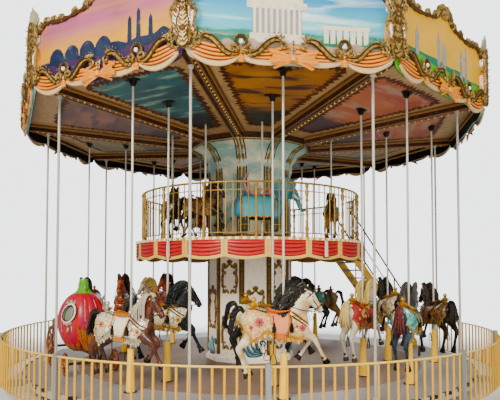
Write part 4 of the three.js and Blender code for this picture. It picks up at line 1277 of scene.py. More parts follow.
def ceiling_under(out):
    """Height of the ceiling's underside at a distance out, measured square to the bay's edge."""
    return SWEEP_UNDER + SWEEP_SLOPE * (out / math.cos(BAY / 2) - SWEEP_HUB_R) + SWEEP_DEEP


def ceiling_painting(tree, colours):
    """Brushed clouds and foliage in four colours, dark towards the mast."""
    ground, light, brushed, dark = (rgb(colour) for colour in colours)
    spot = put(tree, "ShaderNodeUVMap", uv_map="panel").outputs[0]
    swirl = noise(tree, 2.6, 6.0, spot, distortion=1.2)
    stretched = put(tree, "ShaderNodeMapping", {"Vector": spot, "Scale": (2.0, 7.0, 1.0)}).outputs[0]
    streak = noise(tree, 1.6, 4.0, stretched)
    height = put(tree, "ShaderNodeSeparateXYZ", {0: spot}).outputs["Y"]
    torn = calc(tree, "MULTIPLY_ADD", swirl, 0.5, height)
    clouds = blend(tree, level(tree, swirl, 0.36, 0.6), ground, light)
    foliage = blend(tree, level(tree, streak, 0.52, 0.62), clouds, brushed)
    return blend(tree, level(tree, torn, 0.62, 0.5), foliage, dark)


def panel_outline():
    """The painted field's corners and rounded ends as (x, out) points, anticlockwise from below."""
    near, far = PANEL_NEAR, PANEL_FAR
    half = lambda out: out * math.tan(BAY / 2) - 0.35
    right = [
        (half(near) * 0.9, near), *[(half(out), out) for out in (near + 0.12, 3.2, far - 0.2)],
        (half(far) * 0.86, far),
    ]
    left = [(-x, out) for x, out in right[::-1]]
    return np.array([*right, (0, far + 0.03), *left, (0, near - 0.03)])


def closed_line(points, steps=8):
    """A smooth closed line through points."""
    points = np.asarray(points, float)
    looped = np.vstack([points[-1], points, points[0], points[1]])
    line = smooth_line(looped, steps)
    return line[steps : steps * (len(points) + 1)]


def below_ceiling(spot, drop=PANEL_DROP):
    return spot[0], -spot[1], ceiling_under(spot[1]) - drop


def feathers(edge, chance):
    """Painted feathers along the edge, each a low pyramid of its own size and lean."""
    closed = np.vstack([edge, edge[0]])
    walked = np.concatenate([[0], np.cumsum(np.linalg.norm(np.diff(closed, axis=0), axis=1))])
    count = int(walked[-1] / FEATHER)
    at = lambda along: np.array([np.interp(along, walked, closed[:, axis]) for axis in (0, 1)])
    parts = []
    for i in range(count):
        along = walked[-1] * (i + 0.5) / count
        spot, ahead = at(along), at((along + 0.03) % walked[-1])
        way = (ahead - spot) / (np.linalg.norm(ahead - spot) + 1e-9)
        out = np.array([way[1], -way[0]])
        size = FEATHER * (0.7 + 0.6 * chance.random())
        lean = way * FEATHER * (chance.random() - 0.5)
        half = way * FEATHER * 0.62
        ring = [spot - half, spot + out * size * 0.8 + lean, spot + half, spot - out * size * 0.9 - lean]
        tip = below_ceiling(spot, PANEL_DROP + 0.006)
        parts.append(Form([*map(below_ceiling, ring), tip], [(0, 1, 4), (1, 2, 4), (2, 3, 4), (3, 0, 4)], 1))
    return gathered(parts)


def ceiling_panel(bay):
    edge = closed_line(panel_outline())
    middle = np.array([0, (PANEL_NEAR + PANEL_FAR) / 2 + 0.3])
    rings = [middle + (edge - middle) * share for share in (1.0, 0.66, 0.33)]
    points = [below_ceiling(p) for ring in rings for p in ring] + [below_ceiling(middle)]
    count = len(edge)
    faces = []
    for i in range(count):
        j = (i + 1) % count
        faces += [(k + count + i, k + count + j, k + j, k + i) for k in (0, count)]
        faces.append((3 * count, 2 * count + j, 2 * count + i))
    flat = Form(points, faces)
    plain = gathered([flat, feathers(edge, random.Random(50 + bay))])
    coats = [PAINTINGS[CEILING_THEMES[bay]], FEATHER_BROWN]
    form = plain.turned(BAY * bay)
    piece = made(f"ceiling_painting_{bay:02d}", form, coats, "carousel", smooth=False, slot="painted_panels")
    shift = 3.7 * bay
    corners = np.array([loop.vertex_index for loop in piece.data.loops])
    x, y = plain.points[corners, :2].T
    spots = np.stack([x / 3 + shift, (-y - PANEL_NEAR) / (PANEL_FAR - PANEL_NEAR)], 1)
    piece.data.uv_layers.new(name="panel").data.foreach_set("uv", spots.ravel())


def pole_guide(out):
    """A flanged plate, a sleeve and four screws."""
    cone = [
        (0.16, 0), (0.15, -0.008), (0.075, -0.016), (0.052, -0.05), (0.042, -0.11), (0.026, -0.11),
        (0.026, -0.02),
    ]
    plate = lathe([*cone, (0.026, 0.0), (0.16, 0)], 16).scaled(1, 0.55, 1)
    sleeve = [(0.07, 0), (0.068, -0.02), (0.047, -GUIDE_DROP), (0.03, -GUIDE_DROP), (0.03, 0), (0.07, 0)]
    screws = [rod(x, y, -0.016, 0.0, 0.008, 6) for x in (-0.12, 0.12) for y in (-0.02, 0.02)]
    return gathered([plate, lathe(sleeve, 12), *screws]).moved(y=-out, z=ceiling_under(out) + 0.002)


FEATHER_BROWN = finish(
    "feathered_brown", (0.13, 0.055, 0.02), 0.55, dirt=0.7, dirt_colour=(0.34, 0.14, 0.04), grain=7.0
)
CEILING_TAN = finish(
    "ceiling_tan", (0.62, 0.47, 0.3), 0.5, dirt=0.5, dirt_colour=(0.2, 0.11, 0.05), grain=12.0
)
PAINTINGS = {}
for theme, colours in PALETTES.items():
    pattern = lambda tree, colours=colours: ceiling_painting(tree, colours)
    PAINTINGS[theme] = finish(f"ceiling_{theme}", (0.3, 0.3, 0.3), 0.45, pattern=pattern, dirt=0.15)
dress("ceiling", CEILING_TAN)
for bay in range(BAYS):
    ceiling_panel(bay)
guides = [pole_guide(row).turned(BAY * bay) for row in (OUTER_ROW, INNER_ROW) for bay in HORSE_BAYS]
made("pole_guides", gathered(guides), [BLACK], "carousel", slot="painted_panels")


# Rounding boards
# Ten carved and painted boards hide the canopy's edge. Each has a painted landscape with cut-out layers,
# gilt scrollwork along its head and foot, and moulded orange drapery with a cream hem and a bow.
# A gilt cartouche with white drops covers every corner, and the backs are painted black.
BOARD_FACE = 4.7553
BOARD_BACK = 4.7153
BOARD_END = 1.5315
CORNER_R = 5.0
BOARD_FOOT = [(0, 5.215), (0.26, 5.207), (0.77, 5.246), (1.15, 5.207), (1.44, 5.26), (BOARD_END, 5.38)]
BOARD_HEAD = [(0, 6.665), (0.15, 6.64), (0.3, 6.48), (0.9, 6.38), (1.26, 6.4), (BOARD_END, 6.15)]
CLASP_X = 0.75
CLASP_Z = 5.335
MURAL, DRAPE, CARVING, BOW, HOLLOW, PEARL_DROP, SILVERING, BOARD_REAR, HEM, LATH = range(10)
STONE_PAINT, FAR_GREEN, MEADOW_PAINT, SCRUB_PAINT, NIGHT_PAINT, HAZE_PAINT, PLUM_PAINT = range(10, 17)
# Finishes 17 and 18 paint the drapery's folds: shade in their valleys and a highlight on their ridges.
VALLEY, PAINTED_RIDGE_HIGHLIGHT = 17, 18
MURAL_THEMES = ["hall", "hills", "lake", "hall", "dusk", "hills", "lake", "dusk", "lake", "dusk"]
MURAL_COLOURS = {
    # sky high, sky low, cloud, ground far, ground near
    "hall": [(0.05, 0.44, 0.7), (0.28, 0.66, 0.78), (0.7, 0.82, 0.82), (0.08, 0.4, 0.33), (0.55, 0.5, 0.4)],
    "hills": [
        (0.98, 0.66, 0.02), (0.95, 0.68, 0.14), (0.92, 0.66, 0.12), (0.0, 0.38, 0.18), (0.2, 0.55, 0.08)
    ],
    "lake": [(0.45, 0.66, 0.74), (0.66, 0.76, 0.76), (0.8, 0.84, 0.82), (0.2, 0.36, 0.44), (0.3, 0.5, 0.5)],
    "dusk": [(0.52, 0.24, 0.34), (0.84, 0.54, 0.06), (0.7, 0.4, 0.22), (0.02, 0.05, 0.14), (0.1, 0.04, 0.14)],
}


def mural_backdrop(tree, colours):
    """Sky, streaked clouds and ground, brushed on from the board's own coordinates."""
    high, low, cloud, far, near = (rgb(colour) for colour in colours)
    spot = put(tree, "ShaderNodeUVMap", uv_map="mural").outputs[0]
    height = put(tree, "ShaderNodeSeparateXYZ", {0: spot}).outputs["Y"]
    wide = put(tree, "ShaderNodeMapping", {"Vector": spot, "Scale": (2.2, 6.0, 1.0)}).outputs[0]
    wisp = level(tree, noise(tree, 1.1, 6.0, wide, distortion=0.6), 0.5, 0.72)
    ragged = calc(tree, "MULTIPLY_ADD", noise(tree, 9.0, 5.0, spot), 0.12, height)
    sky = blend(tree, level(tree, height, 0.42, 0.7), low, high)
    ground = blend(tree, level(tree, ragged, 0.12, 0.3), near, far)
    return blend(tree, level(tree, ragged, 0.34, 0.31), blend(tree, wisp, sky, cloud), ground)


def ridge(seed, left, right, base, low, high, count, rounded=True):
    """A cut-out skyline of hills or trees between two ends, from a seeded row of heights."""
    chance = random.Random(seed)
    line = [
        (left + (right - left) * i / count, base + low + (high - low) * chance.random())
        for i in range(count + 1)
    ]
    top = smooth_line(line, 3) if rounded else np.array(line)
    return [(left, base), (right, base), *[tuple(p) for p in top[::-1]]]


def cut_outs(theme):
    """Flat layers glued on the landscape; each is its layer's number, its paint and its outline."""
    box = upright
    layers = []
    if theme == "hall":
        layers = [(1, FAR_GREEN, ridge(3, -1.3, 1.3, 5.5, 0.06, 0.16, 14))]
        layers.append((2, STONE_PAINT, box(-0.62, 0.18, 5.52, 5.66)))
        layers.append((2, HAZE_PAINT, box(-0.58, 0.14, 5.66, 6.02)))
        layers.append((3, STONE_PAINT, box(-0.66, 0.22, 6.02, 6.12)))
        layers.append((2, STONE_PAINT, box(-0.6, 0.16, 6.12, 6.2)))
        for x in -0.55 + 0.0825 * np.arange(9):
            layers.append((3, STONE_PAINT, box(x - 0.02, x + 0.02, 5.66, 6.02)))
        for x in 0.5 + 0.1 * np.arange(7):
            layers.append((2, STONE_PAINT, box(x - 0.035, x + 0.035, 5.56, 5.76)))
        layers.append((3, STONE_PAINT, box(0.44, 1.16, 5.76, 5.82)))
        layers.append((3, SCRUB_PAINT, ridge(8, -1.3, 1.3, 5.42, 0.08, 0.16, 22)))
    if theme == "hills":
        layers = [(1, FAR_GREEN, ridge(5, -1.35, 1.35, 5.5, 0.1, 0.26, 7))]
        spires = [(-0.9, 0.5, 0.05), (-0.2, 0.62, 0.045), (-0.02, 0.5, 0.06), (0.62, 0.56, 0.05)]
        for x, tall, wide in [*spires, (0.8, 0.66, 0.04)]:
            low, shoulder, top = 5.6, 5.6 + tall * 0.7, 5.6 + tall
            spire = [(x - wide, low), (x + wide, low), (x + wide, shoulder), (x, top), (x - wide, shoulder)]
            layers.append((2, HAZE_PAINT, spire))
        layers.append((3, MEADOW_PAINT, ridge(11, -1.35, 1.35, 5.44, 0.12, 0.24, 9)))
    if theme == "lake":
        layers = [
            (1, HAZE_PAINT, ridge(21, -1.35, 0.2, 5.62, 0.1, 0.34, 5, False)),
            (2, HAZE_PAINT, ridge(23, 0.1, 1.35, 5.6, 0.06, 0.28, 4, False)),
            (3, FAR_GREEN, ridge(22, -1.35, 1.35, 5.5, 0.05, 0.12, 18)),
        ]
    if theme == "dusk":
        layers = [(1, NIGHT_PAINT, ridge(31, -1.35, 1.35, 5.58, 0.08, 0.2, 16))]
        dome = [(-0.17, 5.6), (0.17, 5.6), (0.15, 5.78), (0.08, 5.86), (0, 5.89)]
        dome += [(-0.08, 5.86), (-0.15, 5.78)]
        for x in -1.0 + 0.34 * np.arange(4):
            layers.append((2, NIGHT_PAINT, [(x + aside, z) for aside, z in dome]))
        for x, tall in [(0.55, 0.42), (0.72, 0.5), (0.95, 0.36)]:
            top = [(x + 0.03, 5.6 + tall), (x, 5.66 + tall), (x - 0.03, 5.6 + tall)]
            layers.append((2, NIGHT_PAINT, [(x - 0.045, 5.6), (x + 0.045, 5.6), *top]))
        layers.append((3, PLUM_PAINT, ridge(33, -1.35, 1.35, 5.44, 0.1, 0.2, 20)))
    face = -BOARD_FACE
    return [board(outline, face - 0.004 * layer, face - 0.0005, paint) for layer, paint, outline in layers]


def draped(left, right, sags, folds, swell, front, finish, columns=13):
    """Cloth hung between two upright ends, each a pair of (x, z); the folds run from end to end."""
    block = []
    for j in range(folds * FOLD_ROWS + 1):
        v = j / (folds * FOLD_ROWS)
        start = np.array(left[0]) * (1 - v) + np.array(left[1]) * v
        end = np.array(right[0]) * (1 - v) + np.array(right[1]) * v
        t = np.linspace(0, 1, columns)
        dip = (sags[0] * (1 - v) + sags[1] * v) * 4 * t * (1 - t)
        belly = (4 * t * (1 - t)) ** 0.45
        relief = 0.006 + swell * belly * (0.45 + 0.55 * abs(math.sin(math.pi * folds * v)) ** 0.75)
        x = start[0] + (end[0] - start[0]) * t
        z = start[1] + (end[1] - start[1]) * t - dip
        block.append(np.stack([x, front - relief, z], 1))
    return grid(np.array(block)[::-1], finish)


def lobe_hem(left, right, sag, front, thin, thick, finish):
    """The hem under a lobe of cloth, thickest in its middle."""
    top = lambda u: left[1] + (right[1] - left[1]) * (u + 1) / 2 - sag * (1 - u**2) + 0.012
    low = lambda u: top(u) - thin - (thick - thin) * (1 - u**2) ** 0.8
    return fringe_band(left[0], right[0], top, low, 0.03, finish, 14).moved(y=front)


def bow(front):
    """Two loops and two tails with three folds each, a round knot and a string of beads over it."""
    knot = np.array([0.0, 5.27])
    parts = []
    for hand in (-1, 1):
        for top, low, reach, out in [(5.42, 5.2, 0.33, 0.035), (5.22, 5.12, 0.27, 0.02)]:
            block = []
            for a in np.linspace(0, 1, 13):
                end = np.array([hand * (reach + 0.03 * math.sin(3 * math.pi * a)), top * (1 - a) + low * a])
                root = knot + np.array([0, 0.03 - 0.06 * a])
                s = np.linspace(0, 1, 6)
                relief = out + 0.035 * s * abs(math.sin(3 * math.pi * a)) + 0.02 * np.sin(math.pi * s)
                spot = root[None] * (1 - s[:, None]) + end[None] * s[:, None]
                block.append(np.stack([spot[:, 0], front - relief, spot[:, 1]], 1))
            block = np.array(block)
            parts.append(grid(block if hand < 0 else block[::-1], BOW))
    knob = lathe([(0, -0.055), (0.04, -0.035), (0.05, 0), (0.04, 0.035), (0, 0.055)], 10, BOW)
    parts.append(knob.moved(0, front - 0.05, knot[1]))
    bead = lathe([(0, -0.022), (0.022, 0), (0, 0.022)], 8, CARVING)
    parts += [bead.moved(0.0, front - 0.045, knot[1] + 0.08 + 0.042 * i) for i in range(5)]
    return gathered(parts)


def scroll_pair(x, z, front):
    """Two mirrored S-scrolls that spring from a clasp, with the arch and pearl above it."""
    s_line = [(-0.115, 0.03), (-0.13, -0.035), (-0.22, -0.01), (-0.33, 0.1), (-0.43, 0.185), (-0.53, 0.2)]
    s_line = smooth_line([*s_line, (-0.6, 0.16)], 5)
    eye = spiral((-0.088, 0.04), 0.074, 0.016, math.pi * 1.25, -6.6, 20)
    half = [
        upright_bar(s_line, 0.034, 0.034, front, CARVING),
        upright_bar(s_line + (0.022, 0.02), 0.012, 0.042, front - 0.012, HOLLOW),
        upright_bar(s_line - (0.024, 0.022), 0.008, 0.034, front - 0.006, HOLLOW),
        upright_bar(eye, 0.022, 0.036, front - 0.006, CARVING, taper=False),
        upright_bar(
            spiral((-0.6, 0.125), 0.058, 0.012, math.pi / 2, 5.6, 16), 0.02, 0.03, front - 0.004, CARVING
        ),
    ]
    for i, (px, pz) in enumerate(s_line[6:28:3]):
        lean = 0.03 if i < 4 else 0.0
        leaf = smooth_line([(px, pz), (px - 0.03 + lean, pz + 0.05), (px - 0.075 + lean, pz + 0.075)], 3)
        half.append(upright_bar(leaf, 0.02, 0.026, front, CARVING, sides=5))
        half.append(
            lathe([(0, 0.0), (0.012, 0.012), (0, 0.03)], 6, CARVING).moved(px - 0.02, front, pz + 0.095)
        )
    both = half + [part.mirrored() for part in half]
    omega = arc(0.075, -2.5, 2.5, 0, 12)[:, :2] * (1, -1)
    both.append(upright_bar(omega + (0, 0.16), 0.016, 0.03, front, HOLLOW, taper=False))
    both.append(upright_bar(omega * 1.3 + (0, 0.16), 0.008, 0.022, front, CARVING, taper=False))
    pearl = lathe([(0, -0.036), (0.026, -0.026), (0.036, 0), (0.026, 0.026), (0, 0.036)], 10, PEARL_DROP)
    both.append(pearl.moved(0, front - 0.012, 0.15))
    both.append(upright_bar(np.array([(0, -0.05), (0, 0.0), (0, 0.05)]), 0.022, 0.034, front, CARVING))
    for side in (-0.028, 0, 0.028):
        ribbon = np.array([(side, -0.14), (side * 0.8, -0.09), (side * 0.5, -0.04)])
        both.append(upright_bar(ribbon, 0.013, 0.02, front, BOW, taper=False))
    band = np.array([(-0.045, -0.09), (0.045, -0.09)])
    both.append(upright_bar(band, 0.012, 0.026, front, BOW, taper=False))
    return gathered(both).moved(x, 0, z)


def whole_line(half):
    """The mirrored half line and then the half itself."""
    return [(-x, z) for x, z in half[::-1]] + half[1:]


def head_crest(front):
    """The rope and the run of C-scrolls along the board's head."""
    outline = smooth_line(whole_line(BOARD_HEAD), 6)
    inset = outline - (0, 0.045)
    share = np.arange(len(inset))
    rope = 0.03 * (1 + 0.3 * np.where(share % 2, 1, -1))
    path = np.stack([inset[:, 0], np.full(len(inset), front), inset[:, 1]], 1)
    parts = [sweep(path, rope, rope * 1.1, sides=6, finish=HOLLOW)]
    count = 22
    for i in range(count):
        t = (i + 0.5) / count * (len(outline) - 1)
        k = min(int(t), len(outline) - 2)
        spot = outline[k] + (outline[k + 1] - outline[k]) * (t - k)
        way = outline[k + 1] - outline[k]
        tilt = math.atan2(way[1], way[0])
        flip = 1 if i % 2 else -1
        curl = spiral((0, -0.005), 0.085, 0.018, math.pi * (0.5 - 0.6 * flip), flip * 5.4, 14)
        turn = np.array([[math.cos(tilt), -math.sin(tilt)], [math.sin(tilt), math.cos(tilt)]])
        parts.append(upright_bar(curl @ turn.T + spot - (0, 0.02), 0.026, 0.034, front, CARVING))
        for reach, up in ((0.075, 0.0), (0.05, 0.06), (-0.06, 0.04)):
            leaf = smooth_line([(0, -0.08), (0.4 * reach * flip, up - 0.03), (reach * flip, up)], 3)
            leaf = leaf @ turn.T + spot
            parts.append(upright_bar(leaf, 0.022, 0.028, front - 0.006, CARVING if up else HOLLOW, sides=5))
    for i in range(7):
        angle = math.pi / 2 + (i - 3) * 0.36
        reach = 0.2 - 0.012 * abs(i - 3)
        tip = (reach * math.cos(angle), 6.49 + reach * math.sin(angle))
        leaf = smooth_line([(0.02 * math.cos(angle), 6.49), tip], 4)
        parts.append(upright_bar(leaf, 0.034, 0.04, front - 0.01, CARVING))
    return gathered(parts)


def cartouche():
    """The upright carved strap on the corner after the bay, drawn facing out and turned to its corner."""
    front = -CORNER_R - 0.04
    strap = [(0.0, 5.375), (0.06, 5.4), (0.1, 5.47), (0.07, 5.56), (0.095, 5.66), (0.1, 5.76)]
    strap += [(0.055, 5.88), (0.05, 6.1), (0.085, 6.24), (0.095, 6.32), (0.06, 6.4), (0.0, 6.43)]
    side = smooth_line(strap, 3)
    outline = [*side.tolist(), *[(-x, z) for x, z in side[::-1][1:-1].tolist()]]
    parts = [board(outline, front - 0.035, -CORNER_R + 0.09, CARVING)]
    rim = np.array([*outline, outline[0]])
    parts.append(upright_bar(rim * (0.86, 1), 0.009, 0.016, front - 0.035, HOLLOW, sides=5, taper=False))
    for z, size in ((5.64, 0.05), (5.92, 0.028), (6.0, 0.024), (6.08, 0.024), (6.16, 0.028), (6.3, 0.04)):
        boss = [(size * r, size * up) for r, up in ((0, -0.4), (0.7, -0.25), (1, 0), (0.7, 0.25), (0, 0.4))]
        parts.append(lathe(boss, 8, HOLLOW).turned(math.pi / 2, "X").moved(0, front - 0.035, z))
        for leaf in range(6):
            angle = leaf * math.pi / 3
            tip = np.array([(math.cos(angle), math.sin(angle))]) * np.array([[0.3], [1.25]]) * size + (0, z)
            parts.append(upright_bar(tip, size * 0.3, 0.012, front - 0.036, CARVING, sides=4))
    tall = [
        (0.07, 5.52), (0.15, 5.5), (0.19, 5.58), (0.15, 5.68), (0.16, 5.78), (0.19, 5.9), (0.14, 6.0),
        (0.07, 6.03),
    ]
    short = [(0.06, 6.05), (0.14, 6.08), (0.19, 6.16), (0.16, 6.26), (0.12, 6.34)]
    scrolls = [
        (smooth_line(tall, 4), 0.02),
        (smooth_line(short, 4), 0.018),
        (spiral((0.13, 5.545), 0.045, 0.01, -0.8, 5.2), 0.013),
        (spiral((0.135, 5.945), 0.045, 0.01, 0.9, -5.2), 0.013),
        (spiral((0.13, 6.13), 0.04, 0.01, -0.8, 5.2), 0.012),
        (spiral((0.12, 6.3), 0.04, 0.01, 0.4, 5.0), 0.012),
        (smooth_line([(0.02, 5.4), (0.12, 5.38), (0.17, 5.44), (0.12, 5.5)], 4), 0.016),
    ]
    half = [upright_bar(scroll, wide, 0.028, front - 0.006, CARVING) for scroll, wide in scrolls]
    drop = lathe([(0, -0.1), (0.024, -0.075), (0.036, -0.02), (0.026, 0.06), (0, 0.11)], 10, PEARL_DROP)
    half.append(drop.scaled(1.25, 0.8, 1.2).moved(0.115, front - 0.01, 5.77))
    fields = [([(0.06, 5.52), (0.15, 5.6), (0.15, 5.9), (0.06, 5.99)], BOW)]
    fields.append(([(0.05, 6.05), (0.13, 6.1), (0.13, 6.26), (0.06, 6.34)], PEARL_DROP))
    half += [board(outline, front + 0.004, -CORNER_R + 0.07, paint) for outline, paint in fields]
    for i, z in enumerate(np.linspace(5.46, 6.34, 15)):
        vein = smooth_line([(0.012, z - 0.03), (0.04, z), (0.07, z + 0.035)], 3)
        half.append(upright_bar(vein, 0.011, 0.016, front - 0.036, HOLLOW if i % 2 else CARVING, sides=5))
        reach = 0.05 + 0.03 * (i % 2)
        spray = [(0.07, 0.05, -0.03), (0.1, 0.02 - 0.3 * reach, 0.01), (0.12, -reach, 0.055)]
        spray = smooth_line(np.array(spray) + (0, front, z), 3)
        girth = [0.02, 0.024, 0.026, 0.022, 0.014, 0.008, 0.004]
        half.append(sweep(spray, girth, 0.012, side=(1, 0, 0), sides=5, finish=CARVING))
    for i, (reach, lean) in enumerate([(0.25, 0.03), (0.2, 0.1), (0.14, 0.16), (0.06, 0.19)]):
        leaf = [(0.02, 6.36), (0.02 + lean * 0.5, 6.36 + reach * 0.6), (0.02 + lean, 6.4 + reach)]
        leaf = smooth_line(leaf, 4)
        half.append(upright_bar(leaf, 0.034, 0.03, front + 0.01 * i, SILVERING))
    for i in range(4):
        angle = -math.pi / 2 + 0.3 + i * 0.33
        leaf = np.array([(0.0, 5.47), (0.1 * math.cos(angle), 5.47 + 0.1 * math.sin(angle))])
        half.append(upright_bar(leaf, 0.016, 0.024, front - 0.03, CARVING, sides=5))
    parts += half + [part.mirrored() for part in half]
    for tip in (0.3, 0.2):
        parts.append(
            upright_bar(np.array([(0, 6.36), (0, 6.4 + tip)]), 0.03, 0.034, front - 0.004, SILVERING)
        )
    return gathered(parts).turned(BAY / 2)


def carved_board():
    """All that the ten boards share."""
    face = -BOARD_FACE
    foot, head = (smooth_line(whole_line(half), 3) for half in (BOARD_FOOT, BOARD_HEAD))
    outline = [*foot.tolist(), *head[::-1].tolist()]
    parts = [board(outline, face, face + 0.03, MURAL), board(outline, face + 0.0305, -BOARD_BACK, BOARD_REAR)]
    front = face - 0.012
    end = [(-1.36, 5.5), (-1.475, 5.33)]
    clasp = [(-CLASP_X, 5.42), (-CLASP_X, 5.3)]
    middle = [(-0.02, 5.52), (-0.06, 5.3)]
    folds = fold_paint(FOLD_ROWS, DRAPE, VALLEY, PAINTED_RIDGE_HIGHLIGHT)
    half = [
        draped(end, clasp, (0.03, 0.105), 4, 0.062, front, folds),
        draped(clasp, middle, (0.06, 0.045), 3, 0.05, front, folds),
        lobe_hem(end[1], clasp[1], 0.105, front, 0.03, 0.085, HEM),
        lobe_hem(clasp[1], middle[1], 0.045, front, 0.05, 0.085, HEM),
        scroll_pair(-CLASP_X, CLASP_Z, front - 0.062),
    ]
    parts += half + [part.mirrored() for part in half]
    parts += [bow(front - 0.03), head_crest(face - 0.02), cartouche()]
    parts.append(board(upright(-1.5, 1.5, 5.4, 5.44), -BOARD_BACK + 0.0005, -BOARD_BACK + 0.02, LATH))
    return gathered(parts)


DRAPE_ORANGE = finish(
    "drapery_orange", (0.86, 0.44, 0.06), 0.42, coat=0.2, dirt=0.4, dirt_colour=(0.6, 0.2, 0.03), grain=14.0
)
# The drapery's fold valleys are painted darker as shade, and its ridges paler as a highlight.
DRAPE_PAINTED_SHADE = finish("drapery_valley", (0.36, 0.12, 0.01), 0.5, dirt=0.3, dirt_colour=(0.2, 0.06, 0.01))
DRAPE_PAINTED_HIGHLIGHT = finish(
    "drapery_ridge", (0.96, 0.57, 0.12), 0.36, coat=0.35, dirt=0.4, dirt_colour=(0.9, 0.42, 0.08)
)
BOW_ORANGE = finish("bow_orange", (0.92, 0.5, 0.08), 0.35, coat=0.35, dirt=0.2, dirt_colour=(0.5, 0.12, 0.02))
HEM_CREAM = finish("hem_cream", (0.74, 0.6, 0.4), 0.45, coat=0.2, dirt=0.4, dirt_colour=(0.25, 0.13, 0.06))
SHADOW_GILT = finish(
    "shadow_gilt", (0.2, 0.12, 0.04), 0.45, 0.25, dirt=0.5, dirt_colour=(0.05, 0.02, 0.01), bump=0.5
)
WORN_GILT = patches((0.2, 0.13, 0.05), (0.58, 0.46, 0.24), 0.38, 0.56, 26.0, 4.0)
CARVED_GILT = finish(
    "carved_gilt", (0.46, 0.34, 0.15), 0.42, 0.25, pattern=WORN_GILT, dirt=0.4,
    dirt_colour=(0.1, 0.055, 0.02), bump=0.6, grain=35.0,
)
PEARL = finish("pearl_white", (0.8, 0.78, 0.72), 0.25, coat=0.4, dirt=0.2)
SILVERED = finish("silvered_leaf", (0.55, 0.53, 0.42), 0.4, 0.4, dirt=0.5, dirt_colour=(0.16, 0.12, 0.06))
BOARD_BLACK = finish("board_back_black", (0.012, 0.011, 0.012), 0.6, dirt=0.2, dirt_colour=(0.06, 0.05, 0.04))
STONE = finish("mural_stone", (0.74, 0.7, 0.6), 0.5, dirt=0.45, dirt_colour=(0.42, 0.36, 0.3), grain=12.0)
TREE_GREEN = finish(
    "mural_far_green", (0.04, 0.34, 0.24), 0.5, dirt=0.5, dirt_colour=(0.01, 0.14, 0.1), grain=10.0
)
MEADOW = finish("mural_meadow", (0.28, 0.6, 0.09), 0.5, dirt=0.6, dirt_colour=(0.04, 0.4, 0.1), grain=8.0)
SCRUB = finish("mural_scrub", (0.5, 0.42, 0.34), 0.5, dirt=0.6, dirt_colour=(0.24, 0.2, 0.16), grain=14.0)
PLUM_LAND = finish(
    "mural_plum", (0.11, 0.055, 0.13), 0.5, dirt=0.7, dirt_colour=(0.05, 0.07, 0.2), grain=12.0
)
NIGHT_BLUE = finish(
    "mural_night_blue", (0.03, 0.05, 0.12), 0.5, dirt=0.7, dirt_colour=(0.07, 0.1, 0.14), grain=8.0
)
HAZE = finish("mural_haze", (0.34, 0.34, 0.34), 0.5, dirt=0.6, dirt_colour=(0.16, 0.19, 0.24), grain=10.0)
MURALS = {}
for theme, colours in MURAL_COLOURS.items():
    pattern = lambda tree, colours=colours: mural_backdrop(tree, colours)
    MURALS[theme] = finish(f"mural_{theme}", (0.5, 0.5, 0.5), 0.4, coat=0.2, pattern=pattern, dirt=0.1)
shared_board = thinned(carved_board(), 0.64)
BOARD_COATS = [
    DRAPE_ORANGE, CARVED_GILT, BOW_ORANGE, SHADOW_GILT, PEARL, SILVERED, BOARD_BLACK, HEM_CREAM, CEILING_TAN
]
MURAL_COATS = [STONE, TREE_GREEN, MEADOW, SCRUB, NIGHT_BLUE, HAZE, PLUM_LAND, DRAPE_PAINTED_SHADE, DRAPE_PAINTED_HIGHLIGHT]
for bay in range(BAYS):
    theme = MURAL_THEMES[bay]
    form = gathered([shared_board, *cut_outs(theme)])
    coats = [MURALS[theme], *BOARD_COATS, *MURAL_COATS]
    node = f"rounding_board_{bay:02d}"
    turned = form.turned(BAY * bay)
    piece = made(f"carved_board_{bay:02d}", turned, coats, "carousel", replaces=[node], slot="gilt_boards")
    corners = np.array([loop.vertex_index for loop in piece.data.loops])
    spots = np.stack([form.points[corners, 0] / 3 + 0.5 + 2 * bay, (form.points[corners, 2] - 5.4) / 1.1], 1)
    piece.data.uv_layers.new(name="mural").data.foreach_set("uv", spots.ravel())


# Roof
# The photograph hides it: a ribbed cover of cream sheet over the canopy, with gilt ribs on its ten hips
# and a turned gilt crown.
ROOF_EAVE = (4.957, 6.12)
ROOF_TOP = (0.33, 7.5)


def roof_ribs():
    (eave_r, eave_z), (top_r, top_z) = ROOF_EAVE, ROOF_TOP
    hip = []
    for r in np.linspace(eave_r - 0.2, top_r, 7):
        hip.append((r, eave_z + (eave_r - r) * (top_z - eave_z) / (eave_r - top_r)))
    line = [(0, -r, z + 0.01) for r, z in hip]
    parts = [sweep(line, 0.04, 0.022, side=(0, 0, 1), sides=6, finish=1).turned(BAY / 2)]
    for share in (-0.62, -0.31, 0.0, 0.31, 0.62):
        seam = [(share * r * math.sin(BAY / 2), -r * math.cos(BAY / 2), z + 0.004) for r, z in hip]
        parts.append(sweep(seam, 0.008, 0.012, side=(0, 0, 1), sides=4, finish=0))
    return [gathered(parts).turned(BAY * bay) for bay in range(BAYS)]


ROOF_CREAM = finish("roof_cream", (0.7, 0.64, 0.52), 0.5, dirt=0.5, dirt_colour=(0.3, 0.26, 0.2), grain=8.0)
dress("roof_cover", ROOF_CREAM)
made("roof_ribs", gathered(roof_ribs()), [ROOF_CREAM, CARVED_GILT], "carousel", slot="roof_skin")
crown = [
    (0, 7.5005), (0.3, 7.5005), (0.31, 7.53), (0.25, 7.58), (0.16, 7.63), (0.15, 7.67), (0.22, 7.72),
    (0.25, 7.82), (0.235, 7.9), (0.16, 7.96),
]
crown += [
    (0.06, 7.99), (0.05, 8.03), (0.085, 8.08), (0.09, 8.13), (0.06, 8.18), (0.03, 8.2), (0.022, 8.26),
    (0.0, 8.36),
]
made("turned_crown", lathe(crown, 24), [CARVED_GILT], "carousel", replaces=["roof_crown"], slot="gilt")


